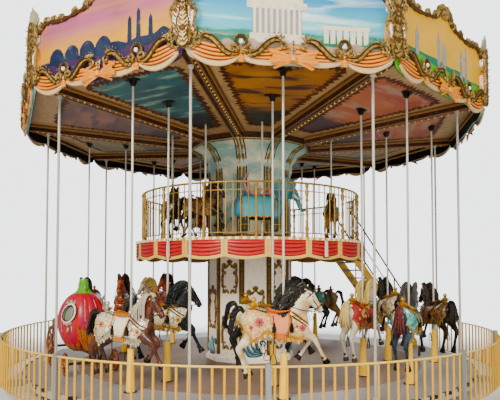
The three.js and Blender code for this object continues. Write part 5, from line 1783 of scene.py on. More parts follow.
# Horses
# Sixteen jumpers of painted fibreglass, two abreast, each carried by a polished steel pole through its back.
# Every horse is cast from the same moulds and finished by hand, with its own coat, trappings and mane.
TRUNK = [
    # x, height above the floor, half height, half width
    (-0.665, 1.13, 0.06, 0.05),
    (-0.62, 1.145, 0.165, 0.125),
    (-0.49, 1.14, 0.215, 0.182),
    (-0.28, 1.09, 0.21, 0.182),
    (-0.04, 1.065, 0.215, 0.18),
    (0.15, 1.08, 0.22, 0.172),
    (0.29, 1.11, 0.2, 0.145),
    (0.365, 1.13, 0.13, 0.09),
    (0.39, 1.13, 0.06, 0.05),
]
NECK = [
    (0.13, 1.15, 0.21, 0.13), (0.225, 1.3, 0.165, 0.1), (0.3, 1.44, 0.125, 0.078), (0.35, 1.57, 0.088, 0.062)
]
HEAD = [
    (0.345, 1.605, 0.06, 0.05),
    (0.41, 1.55, 0.098, 0.066),
    (0.49, 1.46, 0.075, 0.052),
    (0.57, 1.365, 0.053, 0.043),
    (0.612, 1.31, 0.042, 0.036),
]
# Rows of x, height, half in the leg's plane, half across, from the body to the hoof.
# The near fore leg reaches out, the far one is tucked, and both hind legs push back.
LEGS = [
    (-0.1, [
        (0.25, 1.02, 0.12, 0.075),
        (0.36, 0.955, 0.085, 0.06),
        (0.465, 0.895, 0.052, 0.044),
        (0.53, 0.77, 0.032, 0.029),
        (0.595, 0.645, 0.03, 0.027),
        (0.62, 0.6, 0.036, 0.032),
        (0.64, 0.565, 0.045, 0.042),
    ]),
    (0.1, [
        (0.25, 1.0, 0.11, 0.07),
        (0.38, 0.93, 0.075, 0.055),
        (0.45, 0.865, 0.05, 0.042),
        (0.4, 0.775, 0.031, 0.028),
        (0.335, 0.69, 0.03, 0.027),
        (0.3, 0.65, 0.036, 0.032),
        (0.27, 0.61, 0.045, 0.042),
    ]),
    (-0.1, [
        (-0.45, 1.06, 0.17, 0.09),
        (-0.57, 0.93, 0.1, 0.068),
        (-0.69, 0.82, 0.056, 0.045),
        (-0.72, 0.765, 0.05, 0.04),
        (-0.675, 0.63, 0.032, 0.029),
        (-0.635, 0.5, 0.031, 0.028),
        (-0.62, 0.45, 0.038, 0.034),
        (-0.605, 0.4, 0.048, 0.044),
    ]),
    (0.1, [
        (-0.42, 1.05, 0.16, 0.09),
        (-0.53, 0.9, 0.095, 0.065),
        (-0.65, 0.8, 0.054, 0.044),
        (-0.675, 0.745, 0.05, 0.04),
        (-0.61, 0.62, 0.032, 0.029),
        (-0.56, 0.5, 0.031, 0.028),
        (-0.545, 0.445, 0.038, 0.034),
        (-0.53, 0.395, 0.048, 0.044),
    ]),
]
HOOF_LONG = 0.075
CLOTH_MIDDLE = -0.1
CLOTH_HALF = 0.175
CLOTH_HANG = 1.95
SKIN_VOXEL = 0.012
SKIN_SHARE = 0.18
COAT, HOOF, MANE, TAIL, BLANKET, TRIM, CLOTH, SEAT, STRAP, ROSETTE, GLOSS, POLE, STREAK = range(13)


def outline_at(table, x):
    """Height, half height and half width of the trunk at x."""
    rows = smooth_line(table, 6)
    return [float(np.interp(x, rows[:, 0], rows[:, k])) for k in (1, 2, 3)]


def limb(rows, y=0.0, sides=12, finish=COAT):
    """A rounded bar through rows of (x, height, half in its plane, half across), all at one y."""
    line = smooth_line(rows, 4)
    path = np.stack([line[:, 0], np.full(len(line), y), line[:, 1]], 1)
    return sweep(path, line[:, 2], line[:, 3], sides=sides, finish=finish)


def melted(forms, voxel, passes, share):
    """One skin over overlapping forms: remeshed on a fine grid, smoothed and thinned."""
    melt = ("REMESH", {"mode": "VOXEL", "voxel_size": voxel})
    soften = ("SMOOTH", {"factor": 0.5, "iterations": passes})
    return reshaped(gathered(forms), [melt, soften, ("DECIMATE", {"ratio": share})])


def round_spot(x, y, z, radius, finish, flat=1.0):
    """A small ball, flattened across y."""
    ball = lathe([(0, -1), (0.6, -0.8), (1, 0), (0.6, 0.8), (0, 1)], 8, finish)
    return ball.scaled(radius, radius * flat, radius).moved(x, y, z)


def horse_body():
    """The skin with its muscles, then hooves, fetlocks, ears, eyes, nostrils and lips."""
    haunch = [(-0.56, 1.19, 0.11, 0.085), (-0.47, 1.17, 0.13, 0.1), (-0.36, 1.13, 0.1, 0.08)]
    shoulder = [(0.14, 1.15, 0.1, 0.06), (0.26, 1.07, 0.13, 0.07), (0.33, 0.99, 0.08, 0.05)]
    cheek = [(0.375, 1.57, 0.045, 0.02), (0.415, 1.51, 0.06, 0.03), (0.445, 1.465, 0.03, 0.015)]
    nostril = [(0.592, 1.36, 0.02, 0.012), (0.614, 1.33, 0.022, 0.014), (0.622, 1.31, 0.01, 0.01)]
    pairs = [(haunch, 0.076), (shoulder, 0.085), (cheek, 0.045), (nostril, 0.028)]
    muscles = [limb(rows, side * aside) for side in (-1, 1) for rows, aside in pairs]
    lip = limb([(0.52, 1.365, 0.02, 0.02), (0.558, 1.32, 0.026, 0.028), (0.586, 1.285, 0.02, 0.024)])
    legs = [limb(rows, y) for y, rows in LEGS]
    skin = melted(
        [limb(TRUNK), limb(NECK, sides=14), limb(HEAD), lip, *muscles, *legs], SKIN_VOXEL, 5, SKIN_SHARE
    )
    extras = []
    for y, rows in LEGS:
        (ax, az), (bx, bz) = rows[-2][:2], rows[-1][:2]
        way = np.array([bx - ax, bz - az]) / math.hypot(bx - ax, bz - az)
        start = np.array([bx, bz]) - way * 0.02
        foot = [
            (*(start + way * HOOF_LONG * t), r, r * 0.93) for t, r in ((0, 0.04), (0.1, 0.047), (1.0, 0.06))
        ]
        extras.append(limb(foot, y, 12, HOOF))
        extras.append(round_spot(ax - 0.02, y, az + 0.01, 0.035, HOOF, 0.8))
    for side in (-1, 1):
        ear = [(0.345, side * 0.036, 1.65), (0.358, side * 0.045, 1.69), (0.38, side * 0.04, 1.735)]
        brow = [(0.42, side * 0.055, 1.55), (0.447, side * 0.064, 1.565), (0.473, side * 0.056, 1.545)]
        smile = [(0.55, 1.32, 0.004, 0.004), (0.588, 1.303, 0.006, 0.004), (0.615, 1.286, 0.003, 0.003)]
        extras.append(sweep(ear, [0.026, 0.028, 0.004], [0.014, 0.014, 0.003], sides=6, finish=COAT))
        extras.append(sweep(brow, [0.004, 0.009, 0.004], sides=5, finish=COAT))
        extras.append(limb(smile, side * 0.027, 5, GLOSS))
        extras.append(round_spot(0.447, side * 0.058, 1.542, 0.017, GLOSS, 0.6))
        extras.append(round_spot(0.616, side * 0.034, 1.323, 0.011, GLOSS, 0.5))
    return gathered([skin, *extras])


def lock(points, thick, flat, finish, wave, phase=0.0):
    """A wavy, tapering lock of carved hair through (x, y, z) points."""
    line = smooth_line(points, 3)
    share = np.linspace(0, 1, len(line))
    bends = [np.sin(9 * share + phase), np.cos(7 * share + phase), np.sin(8 * share + 1 + phase)]
    line = line + wave * np.stack(bends, 1) * share[:, None]
    taper = np.clip(np.sin(math.pi * (0.18 + 0.8 * share)), 0.08, 1)
    return sweep(line, thick * taper, flat * taper, sides=5, finish=finish)


def forelocks(line, thick, flat):
    """The same short lock on both sides of the forehead."""
    return [lock([(x, side * y, z) for x, y, z in line], thick, flat, MANE, 0.006) for side in (-1, 1)]


def mane(full):
    """Locks that stream back from the crest on both sides; full scales how far they fly."""
    crest = [(0.4, 1.675), (0.345, 1.685), (0.27, 1.61), (0.2, 1.51), (0.15, 1.41), (0.1, 1.33)]
    crest = smooth_line(crest, 5)
    chance = random.Random(4)
    parts = []
    for i in range(34):
        t = i / 33
        x, z = crest[min(int(t * len(crest)), len(crest) - 1)]
        side = -1 if i % 5 < 3 else 1
        depth = side * (0.04 + 0.06 * chance.random())
        reach = full * (0.8 + 0.35 * chance.random()) * (1 - 0.45 * t)
        lift = (0.015 + 0.045 * chance.random()) * full * (1 - t)
        drop = 0.6 + 0.5 * chance.random()
        points = [
            (x + 0.015, 0.4 * depth, z - 0.02),
            (x - 0.1 * reach, depth, z + lift + 0.01),
            (x - 0.22 * reach, depth * 1.3, z + lift - 0.05),
            (x - 0.28 * reach, depth * 1.45, z - 0.2 * drop * (1 - 0.4 * t)),
            (x - 0.3 * reach, depth * 1.3, z - 0.36 * drop * (1 - 0.6 * t)),
        ]
        wave = 5 * chance.random()
        parts.append(lock(points, 0.04, 0.028, MANE, 0.013, wave))
        shift = 0.03 - 0.03 * (i % 3)
        raised = [(px + shift, py + math.copysign(0.022, side), pz + 0.012) for px, py, pz in points[1:]]
        parts.append(lock(raised[i % 3 :][:2], 0.005, 0.005, STREAK, 0.013, wave))
    forelock = [(0.37, 0.02, 1.69), (0.42, 0.03, 1.665), (0.455, 0.025, 1.61), (0.485, 0.015, 1.55)]
    return gathered(parts + forelocks(forelock, 0.02, 0.014))


def braids():
    """Long braids that hang from the crest down both sides of the neck."""
    crest = [(0.4, 1.665), (0.345, 1.68), (0.27, 1.61), (0.2, 1.51), (0.15, 1.41), (0.12, 1.35)]
    crest = smooth_line(crest, 5)
    chance = random.Random(14)
    parts = []
    for i in range(22):
        x, z = crest[min(int(i / 21 * len(crest)), len(crest) - 1)]
        side = -1 if i % 2 else 1
        drop = 0.3 + 0.12 * chance.random()
        points = [
            (x, 0.0, z + 0.01),
            (x - 0.04, side * 0.075, z - 0.03),
            (x - 0.06, side * 0.125, z - drop * 0.45),
            (x - 0.04, side * 0.155, z - drop),
        ]
        line = smooth_line(points, 8)
        girth = np.where(np.arange(len(line)) % 2, 0.026, 0.019) * np.linspace(1.1, 0.5, len(line))
        parts.append(sweep(line, girth, side=(1, 0, 0), sides=6, finish=MANE))
    forelock = [(0.37, 0.02, 1.69), (0.43, 0.03, 1.66), (0.465, 0.03, 1.59), (0.5, 0.02, 1.52)]
    return gathered(parts + forelocks(forelock, 0.024, 0.016))


def tail(full):
    """Locks that rise from the dock and fall behind the hind legs."""
    chance = random.Random(9)
    parts = []
    for i in range(11):
        aside = (i - 5) * 0.01
        out = 0.02 * chance.random() + 0.012 * (i % 3)
        points = [
            (-0.6, aside * 0.3, 1.27),
            (-0.67, aside * 0.6, 1.35 + out),
            (-0.75 - out, aside, 1.3 + out),
            (-0.79 - out * full, aside * 1.3, 1.16),
            (-0.8 - out * 1.5, aside * 1.7, 1.03),
            (-0.74 - 0.08 * chance.random(), aside * 2.2, 0.88 + 0.09 * chance.random()),
        ]
        parts.append(lock(points, 0.03, 0.02, TAIL, 0.014, 6 * chance.random()))
    return gathered(parts)


def on_trunk(x, angle, proud):
    """A point on the horse's barrel. The angle runs from the top towards -y.

    Past the side, cloth hangs straight down at rump and shoulder.
    """
    z, tall, wide = outline_at(TRUNK, x)
    past = abs(angle) - math.pi / 2
    y, up = (wide + proud) * math.sin(angle), (tall + proud) * math.cos(angle)
    if past > 0:
        hangs = float(np.interp(x, [-0.5, -0.38, 0.1, 0.24], [1, 0, 0, 0.7]))
        straight = math.copysign((wide + proud) * (1 - 0.1 * past * past), angle)
        y += hangs * (straight - y)
        up += hangs * (-(tall + proud) * past * 1.1 - up)
    return (x, -y, z + up)


def barrel_sheet(x_range, half_angle, proud, finish, columns, rows, narrow=None):
    """A moulded cloth over the barrel. half_angle(x) is how far down it hangs; narrow(share) draws it in."""
    block = []
    for i in range(rows + 1):
        share = 2 * i / rows - 1
        line = []
        for x in np.linspace(*x_range, columns):
            middle = (x_range[0] + x_range[1]) / 2
            at = middle + (x - middle) * narrow(abs(share)) if narrow else x
            lift = proud - 0.018 if i in (0, rows) else proud
            line.append(on_trunk(at, share * half_angle(at), lift))
        block.append(line)
    return grid(np.array(block)[::-1], finish)


def rosette(x, angle, size):
    """A pale disc with eight petals round a dark button in a gilt ring, flat on the cloth."""
    disc = [(0, 0.001), (size, 0.002), (size * 0.98, 0.009), (size * 0.8, 0.012), (0, 0.012)]
    parts = [lathe(disc, 16, CLOTH)]
    for i in range(8):
        bend = i * math.pi / 4
        petal = ((0.3, 0.016), (0.88, 0.01))
        tip = [(r * size * math.cos(bend), r * size * math.sin(bend), h) for r, h in petal]
        parts.append(sweep(tip, size * 0.22, 0.007, side=(0, 0, 1), sides=5, finish=ROSETTE))
    parts.append(lathe([(0, 0.012), (size * 0.42, 0.012), (size * 0.4, 0.02), (0, 0.02)], 10, TRIM))
    parts.append(lathe([(0, 0.02), (size * 0.24, 0.02), (size * 0.2, 0.027), (0, 0.03)], 8, HOOF))
    form = gathered(parts)
    above, below = (np.array(on_trunk(x, angle + turn, 0.012)) for turn in (0.05, -0.05))
    turn = Vector((0, 0, 1)).rotation_difference(Vector(np.cross(above - below, (1, 0, 0)))).to_matrix()
    form.points = form.points @ np.array(turn).T + (above + below) / 2
    return form


def blanket_hem(x):
    along = [-0.64, -0.52, -0.42, -0.3, -0.15, 0.05, 0.2, 0.37]
    hang = float(np.interp(x, along, [1.9, 2.55, 2.3, 1.75, 2.1, 2.1, 2.35, 1.9]))
    return hang + 0.09 * abs(math.sin(x * 34))


def blanket():
    """The painted cloth from rump to chest, with a scalloped gilt hem, rosettes and drops."""
    parts = [barrel_sheet((-0.65, 0.37), blanket_hem, 0.014, BLANKET, 40, 20)]
    xs = np.linspace(-0.645, 0.365, 48)
    spots = [(0.25, 1.66, 0.058), (-0.43, 1.36, 0.075), (-0.55, 1.75, 0.035), (0.16, 1.45, 0.026)]
    outline = [(0, -0.07), (0.016, -0.055), (0.026, -0.02), (0.02, 0.01), (0, 0.02)]
    drops = [lathe(outline, 7, finish).scaled(1, 0.5, 1).moved(z=-0.005) for finish in (BLANKET, TRIM)]
    for side in (-1, 1):
        for up, thick, proud in ((0.0, 0.013, 0.017), (-0.11, 0.006, 0.018)):
            line = np.array([on_trunk(x, side * (blanket_hem(x) + up), proud) for x in xs])
            parts.append(sweep(line, thick, thick, side=(0, side, 0), sides=5, finish=TRIM))
        for x, angle, size in spots:
            parts.append(rosette(x, side * angle, size))
        for i, x in enumerate(np.linspace(-0.6, 0.33, 22)):
            parts.append(drops[i % 2].moved(*on_trunk(x, side * (blanket_hem(x) + 0.02), 0.01)))
    return gathered(parts)


def cloth_width(share):
    """A flap: full at the saddle, drawn in to a flat foot with round corners."""
    return max(0.3, (1 - share**12) ** 0.5 * (1 - 0.42 * share**1.2))


def in_middle(line):
    """A line of (x, z) as points on the plane y = 0."""
    return np.stack([line[:, 0], line[:, 0] * 0, line[:, 1]], 1)


def saddle():
    """The painted shield cloth with its border, fringe, tassels and stirrups, and the seat with its rim."""
    reach = (CLOTH_MIDDLE - CLOTH_HALF, CLOTH_MIDDLE + CLOTH_HALF)
    parts = [barrel_sheet(reach, lambda x: CLOTH_HANG, 0.036, CLOTH, 15, 24, narrow=cloth_width)]
    shares = np.linspace(0.1, 1, 16)
    edge = [(CLOTH_MIDDLE - CLOTH_HALF * cloth_width(s), s * CLOTH_HANG) for s in shares]
    edge += [(CLOTH_MIDDLE + CLOTH_HALF * cloth_width(s), s * CLOTH_HANG) for s in shares[::-1]]
    fringe = lathe([(0, -0.075), (0.013, -0.065), (0.016, -0.02), (0.008, 0.0), (0, 0.005)], 6, SEAT)
    tuft = [(0, -0.13), (0.03, -0.125), (0.034, -0.07), (0.024, -0.03), (0.014, 0.0), (0.018, 0.012)]
    tassel = lathe([*tuft, (0, 0.02)], 9, GLOSS)
    for side in (-1, 1):
        border = [on_trunk(x, side * angle, 0.038) for x, angle in edge]
        parts.append(sweep(border, 0.012, 0.01, side=(0, side, 0), sides=5, finish=SEAT))
        for x in np.linspace(-0.075, 0.075, 6):
            parts.append(fringe.moved(*on_trunk(CLOTH_MIDDLE + x, side * CLOTH_HANG, 0.03)))
        for x in (-0.205, 0.07):
            top, low = (np.array(on_trunk(x, side * angle, 0.045)) for angle in (0.7, 1.3))
            cord = [top, (top + low) / 2 + (0, -0.005 * side, 0), low]
            parts += [sweep(cord, 0.007, side=(1, 0, 0), sides=5, finish=GLOSS), tassel.moved(*low)]
        strap = [(-0.2, side * 0.235, 1.0), (-0.21, side * 0.215, 0.86), (-0.215, side * 0.205, 0.72)]
        parts.append(sweep(strap, 0.012, 0.004, side=(0, side, 0), sides=4, finish=STRAP))
        iron = [(-0.215, 0.72), (-0.25, 0.66), (-0.268, 0.58), (-0.262, 0.545), (-0.17, 0.545)]
        iron = [(x, side * 0.205, z) for x, z in [*iron, (-0.163, 0.58), (-0.18, 0.66)]]
        parts.append(sweep(iron, 0.007, 0.012, side=(0, side, 0), sides=6, finish=STRAP, closed=True))
    line = [(-0.255, 1.365), (-0.22, 1.335), (-0.14, 1.316), (-0.02, 1.314), (0.06, 1.325), (0.09, 1.35)]
    line = smooth_line([*line, (0.1, 1.37)], 4)
    share = np.linspace(0, 1, len(line))
    wide = np.interp(share, [0, 0.12, 0.35, 0.7, 0.9, 1], [0.09, 0.145, 0.15, 0.11, 0.06, 0.035])
    parts.append(sweep(in_middle(line), 0.022, wide, sides=10, finish=SEAT))
    rim = []
    for t in round_angles(32):
        s = (1 - math.cos(t)) / 2
        x, z = (np.interp(s, share, line[:, a]) for a in (0, 1))
        aside = math.copysign(abs(math.sin(t)) ** 0.5, math.sin(t))
        rim.append((x, np.interp(s, share, wide) * aside, z + 0.02))
    parts.append(sweep(rim, 0.01, 0.01, side=(0, 0, 1), sides=5, finish=SEAT, closed=True))
    return gathered(parts)


def strap_round(row, way, thick, finish):
    """A strap round a limb, given by a row of the limb's table and the way the limb runs."""
    x, z, tall, wide = row
    along = np.array([way[0], 0, way[1]]) / math.hypot(*way)
    across = np.array([-along[2], 0, along[0]])
    points = []
    for t in round_angles(24):
        out = across * (tall + 0.006) * math.cos(t) + (0, (wide + 0.006) * math.sin(t), 0)
        points.append(np.array([x, 0, z]) + out)
    return sweep(points, thick, thick * 0.6, side=along, sides=5, finish=finish, closed=True)


def harness():
    """Bridle, reins, breast straps, girth and crupper with its finial."""
    parts = [
        strap_round((0.553, 1.386, 0.055, 0.045), (0.08, -0.11), 0.012, STRAP),
        strap_round((0.4, 1.56, 0.1, 0.068), (0.08, -0.1), 0.012, STRAP),
        strap_round((0.205, 1.27, 0.178, 0.108), (0.1, 0.16), 0.014, TRIM),
    ]
    cheek = [(0.375, 0.062, 1.61), (0.465, 0.062, 1.49), (0.54, 0.05, 1.39)]
    reins = [(0.555, 0.048, 1.36), (0.46, 0.11, 1.32), (0.28, 0.135, 1.34), (0.11, 0.05, 1.39)]
    breast = [
        (0.09, 0.155, 1.32), (0.2, 0.18, 1.245), (0.3, 0.16, 1.175), (0.385, 0.075, 1.12), (0.405, 0, 1.11)
    ]
    lower = [(x, y, z - 0.06) for x, y, z in breast]
    stay = [(-0.44, 0.02, 1.44), (-0.36, 0.05, 1.39), (-0.26, 0.07, 1.345)]
    straps = [
        (cheek, 4, 0.008, 0.005), (reins, 5, 0.007, 0.005), (breast, 4, 0.011, 0.006),
        (lower, 4, 0.011, 0.006),
    ]
    for side in (-1, 1):
        for line, steps, thick, flat in straps:
            line = smooth_line(line, steps) * (1, side, 1)
            parts.append(sweep(line, thick, flat, side=(0, side, 0), sides=5, finish=STRAP))
        parts.append(round_spot(0.548, side * 0.05, 1.375, 0.016, TRIM, 0.5))
        parts.append(round_spot(0.4, side * 0.07, 1.59, 0.018, ROSETTE, 0.5))
        crupper = [on_trunk(x, side * 0.3, 0.026) for x in np.linspace(-0.55, -0.24, 9)]
        for line in (crupper, [(x, side * y, z) for x, y, z in stay]):
            parts.append(sweep(line, 0.009, 0.006, side=(0, 0, 1), sides=5, finish=STRAP))
    sink = lambda a: 0.02 - 0.05 * max(0.0, abs(a) - 2.4) / (math.pi - 2.4)
    for x in (-0.02, 0.02):
        hoop = [on_trunk(x, a, sink(a)) for a in np.linspace(-math.pi, math.pi, 30, endpoint=False)]
        parts.append(sweep(hoop, 0.008, 0.006, side=(1, 0, 0), sides=5, finish=STRAP, closed=True))
    knob = [
        (0, 1.32), (0.07, 1.345), (0.055, 1.37), (0.03, 1.39), (0.055, 1.415), (0.06, 1.435), (0.032, 1.46)
    ]
    knob += [(0.024, 1.47), (0.042, 1.497), (0.034, 1.527), (0, 1.55)]
    parts.append(lathe(knob, 12, TRIM).moved(x=-0.47))
    for i in range(6):
        c, d = math.cos(i * math.pi / 3), math.sin(i * math.pi / 3)
        leaf = [(r * c, r * d, z) for r, z in ((0.02, 1.38), (0.08, 1.42), (0.09, 1.46))]
        leaf = sweep(leaf, [0.02, 0.024, 0.004], [0.01, 0.01, 0.003], side=(0, 0, 1), sides=5, finish=TRIM)
        parts.append(leaf.moved(x=-0.47))
    return gathered(parts)


def scaled_cloth(tree, base, line, bloom):
    """Painted scales with dark lines, scattered with flowers."""
    place = put(tree, "ShaderNodeTexCoord").outputs["Object"]
    cells = lambda scale, **more: put(tree, "ShaderNodeTexVoronoi", {"Vector": place, "Scale": scale}, **more)
    edge = cells(17.0, feature="DISTANCE_TO_EDGE").outputs["Distance"]
    scales = blend(tree, level(tree, edge, 0.03, 0.14), rgb(line), rgb(base))
    flower = level(tree, cells(8.5, feature="F1").outputs["Distance"], 0.34, 0.26)
    return blend(tree, flower, scales, rgb(bloom))


def shaded_coat(colour, shade):
    """A coat sprayed darker in soft patches."""
    return patches(colour, shade, 0.4, 0.64, 5.0, 3.0)


def streaked_hair(colour, streak):
    """Carved hair with paler ridges."""
    return patches(colour, streak, 0.62, 0.72, 38.0, 3.0, distortion=1.0)


WHITE_COAT = (0.75, 0.7, 0.6)
BLACK_COAT = (0.012, 0.013, 0.015)
GOLD_TRIM = (0.66, 0.42, 0.1)
# For each horse: coat, its shade, stockings, mane, mane streak, tail
COATS = {
    "rose": [WHITE_COAT, (0.66, 0.5, 0.3), (0.02, 0.018, 0.016), BLACK_COAT, (0.24, 0.27, 0.26), BLACK_COAT],
    "ivory": [
        (0.22, 0.08, 0.04), (0.09, 0.03, 0.02), (0.06, 0.02, 0.015), (0.5, 0.46, 0.4), (0.1, 0.06, 0.05),
        (0.04, 0.03, 0.025),
    ],
    "raven": [
        BLACK_COAT, (0.03, 0.04, 0.045), BLACK_COAT, (0.015, 0.022, 0.025), (0.16, 0.2, 0.2), BLACK_COAT
    ],
    "chestnut": [
        (0.62, 0.22, 0.05), (0.36, 0.1, 0.03), (0.1, 0.04, 0.03), (0.06, 0.025, 0.02), (0.2, 0.09, 0.06),
        (0.06, 0.025, 0.02),
    ],
    "teal": [
        (0.03, 0.032, 0.035), (0.1, 0.14, 0.16), BLACK_COAT, (0.08, 0.08, 0.08), (0.4, 0.38, 0.34),
        (0.2, 0.04, 0.05),
    ],
    "crimson": [
        (0.78, 0.72, 0.6), (0.62, 0.55, 0.44), WHITE_COAT, (0.82, 0.66, 0.3), (0.9, 0.82, 0.6),
        (0.82, 0.68, 0.36),
    ],
    "bronze": [
        (0.06, 0.035, 0.025), (0.02, 0.015, 0.012), (0.02, 0.014, 0.012), (0.04, 0.03, 0.025),
        (0.16, 0.14, 0.12), (0.03, 0.02, 0.02),
    ],
    "indigo": [
        (0.03, 0.03, 0.04), (0.012, 0.012, 0.016), (0.015, 0.015, 0.018), (0.03, 0.03, 0.045),
        (0.14, 0.15, 0.2), (0.03, 0.03, 0.04),
    ],
    "golden": [
        (0.55, 0.34, 0.06), (0.34, 0.18, 0.03), (0.5, 0.32, 0.08), (0.05, 0.03, 0.02), (0.2, 0.1, 0.05),
        (0.06, 0.035, 0.02),
    ],
}
# For each horse: blanket, its lines, its flowers, trim, cloth, seat, rosette
DRESSES = {
    "rose": [
        (0.9, 0.76, 0.48), (0.7, 0.46, 0.2), (0.86, 0.5, 0.44), (0.86, 0.56, 0.14), (0.95, 0.5, 0.34),
        (0.85, 0.36, 0.04), (0.62, 0.1, 0.2),
    ],
    "ivory": [
        (0.86, 0.8, 0.66), (0.34, 0.27, 0.2), (0.9, 0.85, 0.72), (0.62, 0.58, 0.45), (0.86, 0.82, 0.7),
        (0.8, 0.42, 0.12), (0.85, 0.42, 0.1),
    ],
    "raven": [
        (0.9, 0.84, 0.68), (0.28, 0.27, 0.24), (0.9, 0.72, 0.3), GOLD_TRIM, (0.6, 0.56, 0.45),
        (0.5, 0.32, 0.1), (0.78, 0.55, 0.08),
    ],
    "chestnut": [
        (0.34, 0.38, 0.37), (0.12, 0.14, 0.14), (0.5, 0.5, 0.42), (0.55, 0.5, 0.38), (0.2, 0.3, 0.33),
        (0.3, 0.12, 0.05), (0.6, 0.5, 0.2),
    ],
    "teal": [
        (0.35, 0.6, 0.55), (0.05, 0.28, 0.28), (0.72, 0.74, 0.66), GOLD_TRIM, (0.08, 0.36, 0.38),
        (0.6, 0.42, 0.12), (0.1, 0.45, 0.55),
    ],
    "crimson": [
        (0.6, 0.03, 0.07), (0.4, 0.02, 0.05), (0.85, 0.76, 0.66), GOLD_TRIM, (0.5, 0.03, 0.05),
        (0.7, 0.3, 0.05), (0.75, 0.62, 0.3),
    ],
    "bronze": [
        (0.32, 0.22, 0.1), (0.05, 0.035, 0.02), (0.5, 0.38, 0.2), (0.5, 0.36, 0.14), (0.25, 0.13, 0.05),
        (0.2, 0.1, 0.04), (0.45, 0.2, 0.06),
    ],
    "indigo": [
        (0.1, 0.14, 0.35), (0.5, 0.45, 0.35), (0.5, 0.55, 0.6), GOLD_TRIM, (0.06, 0.1, 0.36),
        (0.3, 0.16, 0.05), (0.6, 0.45, 0.15),
    ],
    "golden": [
        (0.6, 0.42, 0.12), (0.25, 0.12, 0.04), (0.2, 0.4, 0.4), GOLD_TRIM, (0.0, 0.28, 0.1),
        (0.4, 0.18, 0.05), (0.2, 0.45, 0.5),
    ],
}
OUTER_HORSES = {
    0: "rose", 1: "teal", 2: "bronze", 4: "golden", 5: "ivory", 6: "crimson", 7: "indigo", 9: "ivory"
}
INNER_HORSES = {
    0: "raven", 1: "crimson", 2: "raven", 4: "teal", 5: "rose", 6: "chestnut", 7: "chestnut", 9: "raven"
}
# How far each horse is turned inwards on its pole, in degrees
OUTER_TURN = {0: 4, 1: 18, 2: 20, 4: 12, 5: 4, 6: 14, 7: 8, 9: 6}
INNER_TURN = {0: 0, 1: 11, 2: 16, 4: 12, 5: 0, 6: 14, 7: 10, 9: 20}
HAIR_STYLES = {"ivory": "braided", "rose": "long", "crimson": "long", "teal": "long"}
STOCKING_TOPS = {"bronze": 0.72, "chestnut": 0.72}
POLE_ROUND = 0.0195
MODEL_FLOAT = 0.26
UPPER_HORSES = {2: "golden", 6: "crimson", 8: "raven", 9: "bronze"}
POLE_STEEL = finish("polished_pole", (0.66, 0.65, 0.6), 0.3, 0.35, dirt=0.3, wear=0.1)
HARNESS_BROWN = finish("harness_brown", (0.1, 0.035, 0.02), 0.4, coat=0.2)


def horse_finishes(name):
    coat, shade, stocking, hair, streak, tail_hair = COATS[name]
    base, line, bloom, trim, cloth, seat, flower = DRESSES[name]
    hooves = tuple(0.12 * c for c in stocking)
    dust = 0.25 if max(coat) > 0.1 else 0.04
    return [
        finish(f"{name}_coat", coat, 0.32, coat=0.5, bump=0.1, dirt=dust, pattern=shaded_coat(coat, shade)),
        finish(f"{name}_hoof", hooves, 0.35, coat=0.3, dirt=0.3),
        finish(f"{name}_mane", hair, 0.4, coat=0.3, bump=0.5, pattern=streaked_hair(hair, streak)),
        finish(f"{name}_tail", tail_hair, 0.4, coat=0.3, bump=0.5, pattern=streaked_hair(tail_hair, streak)),
        finish(
            f"{name}_blanket", base, 0.38, coat=0.3, bump=0.5, dirt=0.3,
            pattern=lambda tree: scaled_cloth(tree, base, line, bloom),
        ),
        finish(f"{name}_trim", trim, 0.35, 0.35, coat=0.2, dirt=0.4, dirt_colour=(0.2, 0.09, 0.02), bump=0.4),
        finish(f"{name}_cloth", cloth, 0.42, coat=0.2, dirt=0.3, grain=60.0, bump=0.3),
        finish(f"{name}_seat", seat, 0.35, coat=0.35, dirt=0.35, dirt_colour=(0.25, 0.08, 0.02)),
        HARNESS_BROWN,
        finish(f"{name}_rosette", flower, 0.4, coat=0.3, dirt=0.2),
        BLACK,
        POLE_STEEL,
        finish(f"{name}_streak", streak, 0.4, coat=0.2, dirt=0.2),
    ]


FINISHES = {name: horse_finishes(name) for name in COATS}
CAST_BODY = horse_body()
TRAPPINGS = thinned(gathered([blanket(), saddle(), harness()]), 0.74)
HAIR = {"long": [mane(1.3), tail(1.0)], "short": [mane(0.85), tail(0.6)], "braided": [braids(), tail(0.6)]}
HAIR = {style: thinned(gathered(locks), 0.7) for style, locks in HAIR.items()}


def stocking_faces(form, top):
    """Gives the coat's faces below a height the stocking finish."""
    finishes = list(form.finishes)
    for i, face in enumerate(form.faces):
        if finishes[i] == COAT and form.points[face[0], 2] < top:
            finishes[i] = HOOF
    return Form(form.points, form.faces, finishes)


def on_pole(node, shape, out, bay, finish):
    """The shape with the node's own pole, set out from the mast and round to its bay."""
    low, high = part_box(node)
    pole = rod(0, 0, low[2], high[2], POLE_ROUND, 12, finish)
    return gathered([shape, pole]).moved(y=-out).turned(BAY * bay)


def jumper(row, bay, name):
    node = f"{row}_horse_{bay:02d}"
    out, turn = (OUTER_ROW, OUTER_TURN) if row == "outer" else (INNER_ROW, INNER_TURN)
    body = stocking_faces(CAST_BODY, STOCKING_TOPS[name]) if name in STOCKING_TOPS else CAST_BODY
    figure = gathered([body, TRAPPINGS, HAIR[HAIR_STYLES.get(name, "short")]])
    shape = figure.turned(math.radians(turn[bay])).moved(z=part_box(node)[0][2] - MODEL_FLOAT)
    slot = "light_horse" if max(COATS[name][0]) > 0.7 else "dark_horse"
    form = on_pole(node, shape, out, bay, POLE)
    made(f"{row}_jumper_{bay:02d}", form, FINISHES[name], node, replaces=[node], slot=slot)


for bay, name in OUTER_HORSES.items():
    jumper("outer", bay, name)
for bay, name in INNER_HORSES.items():
    jumper("inner", bay, name)


